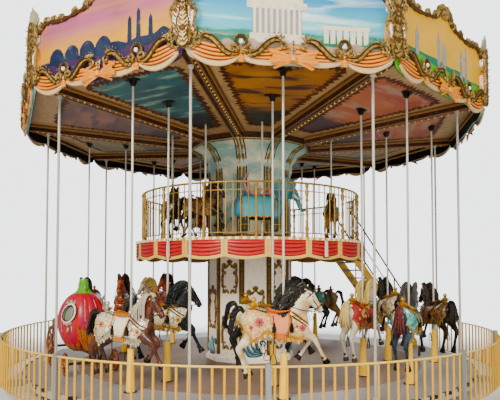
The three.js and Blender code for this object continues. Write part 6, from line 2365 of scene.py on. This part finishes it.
# Horses of the upper deck
# Four smaller horses from the same moulds stand on fixed poles behind the railing.
UPPER_ROW = 1.87
UPPER_SCALE = 0.76
UPPER_SINK = -0.17


def upper_horse(bay, name):
    node = f"upper_horse_{bay:02d}"
    figure = gathered([CAST_BODY, TRAPPINGS, HAIR["short"]]).scaled(UPPER_SCALE, UPPER_SCALE, UPPER_SCALE)
    form = on_pole(node, figure.moved(z=DECK + UPPER_SINK), UPPER_ROW, bay, POLE)
    made(f"deck_horse_{bay:02d}", form, FINISHES[name], "carousel", replaces=[node], slot="dark_horse")


for bay, name in UPPER_HORSES.items():
    upper_horse(bay, name)


# Elephant
# A painted fibreglass elephant in a tall saddle stands on a pole of its own beside the upper horses.
# Its skin is turquoise, and the saddle is a sofa of pink scrolls with a raised blue back.
ELEPHANT_KNEE = 0.42
HIDE, TUSK, SCROLL, BAND, EYE, ELEPHANT_POLE, SADDLE_CLOTH, SHIN = range(8)


def elephant_skin():
    body = [
        (-0.56, 0.62, 0.1, 0.07), (-0.5, 0.62, 0.2, 0.15), (-0.36, 0.62, 0.24, 0.2), (0, 0.6, 0.235, 0.205),
        (0.25, 0.63, 0.22, 0.195), (0.38, 0.68, 0.16, 0.14),
    ]
    head = [
        (0.22, 0.72, 0.15, 0.12), (0.34, 0.86, 0.18, 0.15), (0.45, 0.99, 0.19, 0.16),
        (0.56, 1.03, 0.16, 0.145), (0.65, 1.0, 0.1, 0.09),
    ]
    brow = [(0.42, 1.12, 0.05, 0.05), (0.47, 1.16, 0.075, 0.065), (0.52, 1.13, 0.05, 0.05)]
    brows = [limb(brow, y) for y in (-0.062, 0.062)]
    trunk = [
        (0.58, 0.98, 0.1, 0.09), (0.665, 0.88, 0.075, 0.068), (0.72, 0.76, 0.056, 0.05),
        (0.75, 0.66, 0.045, 0.04), (0.785, 0.59, 0.038, 0.034), (0.84, 0.575, 0.032, 0.03),
        (0.862, 0.61, 0.03, 0.03),
    ]
    legs = []
    for x in (0.26, -0.35):
        leg = [(x, 0.6, 0.12, 0.1), (x, 0.42, 0.095, 0.085)]
        leg += [(x + 0.01, 0.26, 0.082, 0.074), (x + 0.005, 0.15, 0.09, 0.082)]
        legs += [limb(leg, y) for y in (-0.11, 0.11)]
    ears = [ear_sheet(side) for side in (-1, 1)]
    jaw = limb([(0.47, 0.88, 0.06, 0.07), (0.56, 0.83, 0.05, 0.045), (0.61, 0.8, 0.02, 0.02)])
    tail_line = [
        (-0.54, 0.72, 0.03, 0.03), (-0.6, 0.6, 0.022, 0.022), (-0.6, 0.45, 0.02, 0.02),
        (-0.61, 0.37, 0.03, 0.028),
    ]
    forms = [
        limb(body, sides=16), limb(head, sides=16), *brows, limb(trunk), *legs, *ears, jaw, limb(tail_line)
    ]
    return melted(forms, SKIN_VOXEL, 4, 0.3)


def ear_sheet(side):
    """A flat, drooping ear."""
    outline = [
        (0.4, 1.1), (0.33, 1.16), (0.24, 1.12), (0.19, 1.0), (0.2, 0.86), (0.27, 0.76), (0.33, 0.72),
        (0.39, 0.8), (0.43, 0.92),
    ]
    outline = smooth_line(outline + outline[:1], 3)[:-1]
    flap = board([tuple(p) for p in outline], -0.012, 0.012)
    x, y, z = flap.points.T
    y += side * (0.165 + 0.28 * np.clip(0.42 - x, 0, 1)) + side * 0.02 * np.sin(16 * z)
    return Form(np.stack([x, y, z], 1), flap.faces)


def elephant_dress():
    """Eyes, tusks, toenails, brow band and the scrolled saddle."""
    parts = []
    for side in (-1, 1):
        tusk = [(0.6, 0.1, 0.88), (0.68, 0.125, 0.8), (0.765, 0.125, 0.79), (0.83, 0.11, 0.83)]
        tusk = [(x, side * y, z) for x, y, z in tusk]
        parts.append(sweep(smooth_line(tusk, 4), np.linspace(0.026, 0.006, 13), sides=8, finish=TUSK))
        parts.append(round_spot(0.6, side * 0.115, 1.015, 0.022, EYE, 0.6))
        # A small ivory dot on each black eye is a painted glint.
        parts.append(round_spot(0.608, side * 0.122, 1.018, 0.01, TUSK, 0.6))
        lid = [(0.565, 1.05, 0.006, 0.01), (0.6, 1.06, 0.01, 0.012), (0.63, 1.04, 0.005, 0.01)]
        parts.append(limb(lid, side * 0.105, 6, HIDE))
        for x in (0.26, -0.35):
            for i in (-1, 0, 1):
                parts.append(round_spot(x + 0.075 - 0.02 * abs(i), side * 0.11 + 0.04 * i, 0.17, 0.026, TUSK))
            parts.append(ring_of_beads(x, side * 0.11, 0.27, 0.088))
    band = [(0.5, math.sin(a) * 0.165, 1.02 + math.cos(a) * 0.195) for a in np.linspace(-1.9, 1.9, 20)]
    parts.append(sweep(band, 0.014, 0.008, side=(1, 0, 0), sides=5, finish=BAND))
    blanket_rows = []
    for a in np.linspace(-1.75, 1.75, 19):
        row = []
        for x in np.linspace(-0.4, 0.16, 13):
            hem = 0.03 * abs(math.sin(x * 28)) + 0.12 if abs(a) > 1.7 else 0
            row.append((x, -0.222 * math.sin(a), 0.605 + 0.252 * math.cos(a) - hem))
        blanket_rows.append(row)
    parts.append(grid(np.array(blanket_rows)[::-1], SADDLE_CLOTH))
    for side in (-1, 1):
        hem = [(x, side * 0.222, 0.44 - 0.03 * abs(math.sin(x * 28))) for x in np.linspace(-0.41, 0.17, 30)]
        parts.append(sweep(hem, 0.012, 0.012, side=(0, side, 0), sides=5, finish=BAND))
        for x in (-0.41, 0.17):
            edge = [(x, side * 0.222, 0.44), (x, side * 0.16, 0.78)]
            parts.append(sweep(edge, 0.01, side=(1, 0, 0), sides=5, finish=BAND))
        curls = [(1.6, -0.25, 0.93, 0.1), (-1.6, 0.09, 0.92, 0.075), (1.3, -0.08, 0.9, 0.05)]
        for turns, x, z, size in curls:
            curl = spiral((x, z), size * 0.15, size, 0.4, turns, 22)
            parts.append(upright_bar(curl, 0.022, 0.02, side * 0.17, SCROLL, sides=6))
    back = smooth_line([(-0.3, 0.84), (-0.37, 0.96), (-0.4, 1.1), (-0.36, 1.22), (-0.29, 1.25)], 4)
    parts.append(sweep(in_middle(back), 0.035, np.linspace(0.15, 0.08, len(back)), sides=10))
    half = [(-0.28, -0.17, 0.86), (-0.35, -0.17, 1.0), (-0.37, -0.14, 1.15), (-0.31, -0.07, 1.26)]
    rim = smooth_line([*half, (-0.28, 0, 1.28), *[(x, -y, z) for x, y, z in half[::-1]]], 3)
    parts.append(sweep(rim, 0.022, side=(1, 0, 0.3), sides=6, finish=SCROLL))
    seat = [(-0.34, 0.9), (-0.2, 0.865), (-0.02, 0.86), (0.12, 0.89), (0.16, 0.95), (0.15, 1.0)]
    seat = smooth_line(seat, 4)
    parts.append(sweep(in_middle(seat), 0.03, np.linspace(0.17, 0.09, len(seat)), sides=10, finish=SCROLL))
    for x in (-0.45, 0.24):
        hoop = [(x, 0.235 * math.sin(a), 0.61 + 0.255 * math.cos(a)) for a in round_angles(28)]
        parts.append(sweep(hoop, 0.014, 0.008, side=(1, 0, 0), sides=5, finish=BAND, closed=True))
    return gathered(parts)


def ring_of_beads(x, y, z, radius):
    ring = [(x + radius * math.cos(a), y + radius * math.sin(a), z) for a in round_angles(16)]
    return sweep(ring, 0.01, 0.008, side=(0, 0, 1), sides=5, finish=BAND, closed=True)


TURQUOISE = finish(
    "turquoise_skin", (0.1, 0.42, 0.5), 0.32, coat=0.5, bump=0.15, dirt=0.35,
    pattern=shaded_coat((0.1, 0.44, 0.52), (0.04, 0.24, 0.33)),
)
IVORY = finish("tusk_ivory", (0.75, 0.7, 0.58), 0.35, coat=0.3, dirt=0.3)
SADDLE_PINK = finish(
    "saddle_pink", (0.72, 0.34, 0.34), 0.4, coat=0.35, bump=0.3, dirt=0.5, dirt_colour=(0.3, 0.08, 0.08)
)
PALE_TURQUOISE = finish(
    "pale_turquoise", (0.2, 0.55, 0.6), 0.4, coat=0.35, bump=0.3, dirt=0.5, dirt_colour=(0.05, 0.3, 0.4)
)
ELEPHANT_LEG = finish(
    "elephant_leg", (0.05, 0.07, 0.05), 0.4, coat=0.3, dirt=0.4, dirt_colour=(0.01, 0.02, 0.02)
)
skin = elephant_skin()
skin.finishes = [SHIN if skin.points[face[0], 2] < ELEPHANT_KNEE else HIDE for face in skin.faces]
elephant = on_pole("elephant", gathered([skin, elephant_dress()]).moved(z=DECK), UPPER_ROW, 0, ELEPHANT_POLE)
ELEPHANT_COATS = [
    TURQUOISE, IVORY, SADDLE_PINK, FINISHES["rose"][5], BLACK, POLE_STEEL, PALE_TURQUOISE, ELEPHANT_LEG
]
made("elephant_figure", elephant, ELEPHANT_COATS, "carousel", replaces=["elephant"], slot="blue_figure")


# Coach
# A melon-shaped coach of red fibreglass with swelling ribs and a green stem, in place of two horses.
# It has an oval window outside and a doorway towards the mast, and stands on four painted wheels.
# The beam between them carries a gilt basket of leaves and a gilt driver's seat with a red cushion.
COACH_R = 3.7
COACH_MID = FLOOR_TOP + 0.96
COACH_HALF_HEIGHT = 0.56
COACH_RADIUS = 0.47
COACH_RIBS = 12
DOOR_HALF = 0.23
DOOR_LOW = FLOOR_TOP + 0.7
DOOR_HIGH = FLOOR_TOP + 1.38
COACH_TURN = math.radians(7)
WINDOW_TURN = math.radians(40)
WINDOW_HEIGHT = FLOOR_TOP + 1.15
WINDOW_HALF = (0.26, 0.155)
REAR_WHEEL = (-0.64, 0.42)
FRONT_WHEEL = (0.56, 0.22)
SEAT_AT = 0.6
MELON_RED, HIGHLIGHT, MOULDING, INSIDE, STEM, DARK_BEAD, WHEEL, GILDED, BEAM, PANE = range(10)


def melon_radius(angle, z):
    """Distance of the shell from its axis."""
    t = np.clip((z - COACH_MID) / COACH_HALF_HEIGHT, -1, 1)
    round_out = np.cos(t * math.pi / 2) ** 0.55
    rib = 1 - 0.075 * (1 - abs(np.sin(COACH_RIBS * angle / 2)) ** 0.6)
    return 0.16 + (COACH_RADIUS + 0.02 - 0.16) * round_out * rib


def melon_shell(inner):
    """The ribbed skin, open at the doorway and the window; inner gives the lining."""
    thick = 0.03 if inner else 0.0
    angles = np.linspace(0, TURN, 145)[:-1]
    heights = COACH_MID + COACH_HALF_HEIGHT * np.sin(np.linspace(-1, 1, 33) * math.pi / 2)
    points = []
    for z in heights:
        for a in angles:
            r = melon_radius(a, z) - thick
            points.append((r * math.sin(a), -r * math.cos(a), z))
    count = len(angles)
    faces = []
    for i in range(len(heights) - 1):
        for j in range(count):
            k = (j + 1) % count
            face = (i * count + j, i * count + k, (i + 1) * count + k, (i + 1) * count + j)
            x, y, z = np.mean([points[v] for v in face], 0)
            if y > 0 and abs(x) < DOOR_HALF - 0.02 and DOOR_LOW < z < DOOR_HIGH:
                continue
            aside = (math.atan2(x, -y) - WINDOW_TURN) / WINDOW_HALF[0]
            if math.hypot(aside, (z - WINDOW_HEIGHT) / WINDOW_HALF[1]) < 1.12:
                continue
            faces.append(face[::-1] if inner else face)
    if not inner:
        top = (len(heights) - 1) * count
        faces += [tuple(range(count))[::-1], tuple(range(top, top + count))]
    return Form(points, faces, INSIDE if inner else MELON_RED)


def coach_stripes():
    """White highlights beside the ribs' crests."""
    parts = []
    for i in range(COACH_RIBS):
        crest = TURN * (i + 0.5) / COACH_RIBS
        a = crest + 0.07
        line = []
        for z in COACH_MID + COACH_HALF_HEIGHT * np.linspace(-0.3, 0.8, 12):
            r = melon_radius(a, z) + 0.001
            line.append((r * math.sin(a), -r * math.cos(a), z))
        over_door = abs(line[5][0]) < DOOR_HALF + 0.05 and line[5][1] > 0
        if not over_door:
            out = (math.sin(crest), -math.cos(crest), 0)
            parts.append(sweep(line, 0.0032, 0.002, side=out, sides=4, finish=HIGHLIGHT))
    return gathered(parts)


def door_frame(side):
    """Silvered moulding round the doorway, with a sill and a crest of pearls."""
    jamb = [(-DOOR_HALF, DOOR_LOW), (-DOOR_HALF, DOOR_HIGH - 0.16), (-0.15, DOOR_HIGH - 0.03)]
    outline = [*jamb, (0, DOOR_HIGH + 0.02), *[(-x, z) for x, z in jamb[::-1]]]
    points = []
    for x, z in smooth_line(outline, 5):
        angle = math.atan2(x, -side * 0.42)
        y = math.sqrt(max(melon_radius(angle, z) ** 2 - x**2, 0.01))
        points.append((x, side * y, z))
    parts = [sweep(points, 0.03, 0.022, side=(0, side, 0), sides=8, finish=MOULDING)]
    across = np.linspace(-DOOR_HALF, DOOR_HALF, 9)
    sill = [(x, side * math.sqrt(COACH_RADIUS**2 - x**2), DOOR_LOW) for x in across]
    parts.append(sweep(sill, 0.03, 0.02, side=(0, side, 0), sides=6, finish=MOULDING))
    for x, up, size in ((0, 0.04, 0.05), (-0.07, 0.02, 0.032), (0.07, 0.02, 0.032)):
        parts.append(round_spot(x, side * (COACH_RADIUS - 0.06), DOOR_HIGH + up, size, MOULDING, 0.5))
    return gathered(parts)


def window_point(size, t, skew=0.0):
    """The direction and height at an angle round the window's oval, size times as large."""
    wide, tall = WINDOW_HALF
    return WINDOW_TURN + size * wide * math.cos(t - skew), WINDOW_HEIGHT + size * tall * math.sin(t)


def on_crest(angle, z, proud):
    """A point at a direction and height, at the distance of a rib's crest."""
    r = melon_radius(math.pi / COACH_RIBS, z) + proud
    return r * math.sin(angle), -r * math.cos(angle), z


def oval_window():
    """A heavy silvered oval with a dark bead, shells at its head and foot, and a drop below."""
    parts = []
    out = (math.sin(WINDOW_TURN), -math.cos(WINDOW_TURN), 0)
    rings = [
        (1.1, 0.02, 0.024, 0.014, HIGHLIGHT),
        (0.97, 0.008, 0.018, 0.026, DARK_BEAD),
        (1.28, 0.012, 0.012, 0.004, DARK_BEAD),
    ]
    for size, thick, deep, proud, kind in rings:
        ring = [on_crest(*window_point(size, t, 0.15), proud) for t in round_angles(40)]
        parts.append(sweep(ring, thick, deep, side=out, sides=8, finish=kind, closed=True))
    turns = np.linspace(0, TURN, 33)
    pane = [[on_crest(*window_point(size, t), -0.034) for t in turns] for size in (1.3, 0.65, 0.05)]
    parts.append(grid(np.array(pane)[::-1], PANE))
    trims = []
    shells = [(x, up, 0.03) for up in (1.24, -1.24) for x in (-0.07, 0.07)]
    for aside, up, size in [(0, 1.32, 0.05), (0, -1.32, 0.045), *shells]:
        z = WINDOW_HEIGHT + up * WINDOW_HALF[1]
        trims.append(
            round_spot(aside, -melon_radius(math.pi / COACH_RIBS, z) - 0.015, z, size, MOULDING, 0.6)
        )
    drop = lathe([(0, -0.12), (0.026, -0.085), (0.032, -0.045), (0.012, 0), (0, 0.01)], 10, MOULDING)
    trims.append(drop.moved(0, -COACH_RADIUS - 0.01, WINDOW_HEIGHT - 0.27))
    return gathered([*parts, gathered(trims).turned(WINDOW_TURN)])


def coach_roof():
    """The flared green stem with side shoots."""
    stem = [
        (0.2, -0.06), (0.165, -0.02), (0.11, 0.05), (0.085, 0.12), (0.078, 0.2), (0.09, 0.25), (0.078, 0.28)
    ]
    base = COACH_MID + COACH_HALF_HEIGHT
    stem = lathe([(r, base + up) for r, up in [*stem, (0, 0.285)]], 20, STEM)
    ridges = []
    for i in range(10):
        a = i * math.pi / 5
        rows = [(0.24, -0.075), (0.175, -0.01), (0.115, 0.05), (0.087, 0.13), (0.084, 0.22)]
        line = [(r * math.cos(a), r * math.sin(a), base + up) for r, up in rows]
        ridges.append(sweep(line, 0.016, 0.012, side=(math.cos(a), math.sin(a), 0.2), sides=6, finish=STEM))
    shoots = []
    for side in (-1, 1):
        shoot = [(side * x, 0, base + up) for x, up in ((0.1, 0.03), (0.15, 0.1), (0.14, 0.16), (0.1, 0.17))]
        shoots.append(sweep(smooth_line(shoot, 4), np.linspace(0.025, 0.008, 13), sides=6, finish=STEM))
    return gathered([stem, *ridges, *shoots])


def wheel(x, y, radius):
    """A painted wheel with ten turned spokes, a gilt hub and a banded rim."""
    parts = []
    rings = [
        (radius - 0.022, 0.02, 0.022, WHEEL),
        (radius - 0.05, 0.009, 0.026, GILDED),
        (radius * 0.3, 0.016, 0.02, WHEEL),
    ]
    for r, wide, deep, kind in rings:
        ring = [(r * math.cos(a), 0, r * math.sin(a)) for a in round_angles(36)]
        parts.append(sweep(ring, wide, deep, sides=8, finish=kind, closed=True))
    reach = np.linspace(radius * 0.1, radius - 0.03, 9)
    widths = [0.018, 0.013, 0.02, 0.013, 0.02, 0.017, 0.014, 0.02, 0.016]
    for i in range(10):
        a = i * math.pi / 5
        parts.append(
            sweep([(r * math.cos(a), 0, r * math.sin(a)) for r in reach], widths, sides=7, finish=WHEEL)
        )
    hub = [(0, -0.028), (0.05, -0.028), (0.06, -0.015), (0.06, 0.015), (0.05, 0.028), (0, 0.028)]
    parts.append(lathe(hub, 14, GILDED).turned(math.pi / 2, "X"))
    return gathered(parts).moved(x, y, FLOOR_TOP + radius + 0.002)


def leaf_ring(count, rows, wide, kind):
    """Upright leaves side by side round an axis; rows are (radius, height) along a leaf."""
    leaves = []
    for i in range(count):
        a = TURN * i / count
        line = [(r * math.sin(a), -r * math.cos(a), z) for r, z in rows]
        leaves.append(sweep(line, wide, 0.014, side=(math.sin(a), -math.cos(a), 0), sides=6, finish=kind))
    return gathered(leaves)


def coach_carriage():
    """Beam, axles, wheels, the basket of leaves and the scrolls that join them."""
    z = FLOOR_TOP
    beam = [(-0.88, 0, z + 0.425), (0.74, 0, z + 0.425)]
    parts = [sweep(beam, 0.06, 0.06, side=(0, 0, 1), sides=8, finish=BEAM)]
    for x, radius in (REAR_WHEEL, FRONT_WHEEL):
        parts += [wheel(x, y, radius) for y in (-0.47, 0.47)]
        axle = [(x, -0.5, z + radius), (x, 0.5, z + radius)]
        parts.append(sweep(axle, 0.025, 0.025, side=(0, 0, 1), sides=8, finish=BEAM))
        post = [(x, 0, z + radius - 0.02), (x, 0, z + 0.44)]
        parts.append(sweep(post, 0.03, 0.03, side=(1, 0, 0), sides=8, finish=BEAM))
    tray = [(0, 0.37), (0.12, 0.38), (0.22, 0.42), (0.31, 0.5), (0.34, 0.56), (0.32, 0.585), (0.28, 0.6)]
    parts.append(lathe(tray, 28, GILDED).moved(z=z))
    rows = [(0.17, z + 0.39), (0.28, z + 0.46), (0.345, z + 0.54), (0.36, z + 0.6), (0.4, z + 0.65)]
    parts.append(leaf_ring(18, rows, [0.02, 0.034, 0.04, 0.028, 0.008], GILDED))
    for side in (-1, 1):
        for end in (-1, 1):
            curl = spiral((end * 0.5, z + 0.56), 0.02, 0.09, math.pi / 2, -end * 1.4, 26)
            branch = [(end * x, z + up) for x, up in ((0.3, 0.46), (0.4, 0.48), (0.5, 0.46), (0.66, 0.5))]
            for line in (curl, smooth_line(branch, 4)):
                parts.append(upright_bar(line, 0.022, 0.03, side * 0.07, GILDED, sides=6))
    return gathered(parts)


def driver_seat():
    """A gilt cup of two rings of leaves with a round red cushion, buttoned on top."""
    cup = [(0, 0.45), (0.1, 0.46), (0.13, 0.55), (0.18, 0.68), (0.225, 0.83), (0.2, 0.86), (0, 0.86)]
    low = [(0.11, 0.47), (0.15, 0.56), (0.2, 0.66), (0.24, 0.7)]
    high = [(0.15, 0.6), (0.2, 0.72), (0.235, 0.84), (0.28, 0.9)]
    cushion = [(0.19, 0.85), (0.205, 0.88), (0.195, 0.93), (0.16, 0.985), (0.11, 1.025), (0.05, 1.045)]
    button = [(0.022, 1.03), (0.018, 1.045), (0, 1.05)]
    raised = lambda rows: [(r, FLOOR_TOP + up) for r, up in rows]
    parts = [
        lathe(raised(cup), 20, GILDED),
        leaf_ring(10, raised(low), [0.03, 0.045, 0.04, 0.008], GILDED),
        leaf_ring(10, raised(high), [0.03, 0.06, 0.055, 0.01], GILDED),
        lathe(raised([*cushion, (0.012, 1.03), (0, 1.03)]), 24, MELON_RED),
        lathe(raised(button), 10, GILDED),
    ]
    return gathered(parts).moved(x=SEAT_AT)


def coach_bench():
    """Two facing seats inside."""
    parts = []
    for end in (-1, 1):
        outline = [(end * x, DOOR_LOW + up) for x, up in ((0.2, 0.0), (0.34, 0.0), (0.36, 0.2), (0.22, 0.2))]
        parts.append(board(outline if end > 0 else outline[::-1], -0.2, 0.2, INSIDE))
    floor = [(0.38 * math.cos(a), 0.38 * math.sin(a)) for a in round_angles(28)]
    parts.append(slab(floor, DOOR_LOW - 0.03, DOOR_LOW, BEAM))
    return gathered(parts)


def rib_shade(tree):
    """Red that deepens to magenta in the valleys between the ribs."""
    place = put(tree, "ShaderNodeTexCoord").outputs["Object"]
    middle = (COACH_R * math.sin(BAY * COACH_BAY), -COACH_R * math.cos(BAY * COACH_BAY), 0)
    away = put(tree, "ShaderNodeVectorMath", {0: place, 1: middle}, operation="SUBTRACT").outputs[0]
    x, y = put(tree, "ShaderNodeSeparateXYZ", {0: away}).outputs[:2]
    angle = calc(tree, "ARCTAN2", x, calc(tree, "MULTIPLY", y, -1.0))
    wave = calc(tree, "MULTIPLY_ADD", angle, float(COACH_RIBS), -COACH_RIBS * (BAY * COACH_BAY + COACH_TURN))
    share = level(tree, calc(tree, "COSINE", wave), -1.0, 1.0)
    return blend(tree, share, rgb((0.54, 0.0, 0.18)), rgb((0.72, 0.0, 0.035)))


COACH_RED = finish(
    "coach_red", (0.72, 0.0, 0.035), 0.34, coat=0.1, dirt=0.1, dirt_colour=(0.4, 0.0, 0.03), pattern=rib_shade
)
COACH_WHITE = finish("coach_white", (0.85, 0.78, 0.74), 0.35, coat=0.3)
LINING = finish("coach_lining", (0.55, 0.36, 0.2), 0.7)
STEM_GREEN = finish(
    "stem_green", (0.28, 0.62, 0.05), 0.38, coat=0.4, dirt=0.5, dirt_colour=(0.03, 0.2, 0.01), bump=0.2
)
WINDOW_DARK = finish("window_dark", (0.02, 0.022, 0.03), 0.12)
SMOKED_PANE = finish(
    "smoked_pane", (0.3, 0.33, 0.27), 0.15, coat=0.3, dirt=0.3, dirt_colour=(0.12, 0.14, 0.1), grain=8.0
)
WHEEL_BROWN = finish("wheel_brown", (0.2, 0.06, 0.035), 0.4, coat=0.3, dirt=0.3)
COACH_GOLD = finish("coach_gold", (0.7, 0.34, 0.07), 0.35, 0.3, coat=0.2, dirt=0.4)
COACH_BEAM = finish("coach_beam", (0.12, 0.05, 0.03), 0.45, dirt=0.2)
shape = [melon_shell(False), melon_shell(True), coach_stripes(), coach_roof(), coach_carriage()]
shape += [driver_seat(), coach_bench(), door_frame(1), oval_window()]
coach = thinned(gathered(shape), 0.8).turned(COACH_TURN).moved(y=-COACH_R).turned(BAY * COACH_BAY)
COACH_FINISHES = [
    COACH_RED, COACH_WHITE, SILVERED, LINING, STEM_GREEN, WINDOW_DARK, WHEEL_BROWN, COACH_GOLD, COACH_BEAM,
    SMOKED_PANE,
]
made("melon_coach", coach, COACH_FINISHES, "carousel", replaces=["coach"], slot="coach_red")

visual_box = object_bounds()
[[list(corner) for corner in box] for box in (cad_box, visual_box)]
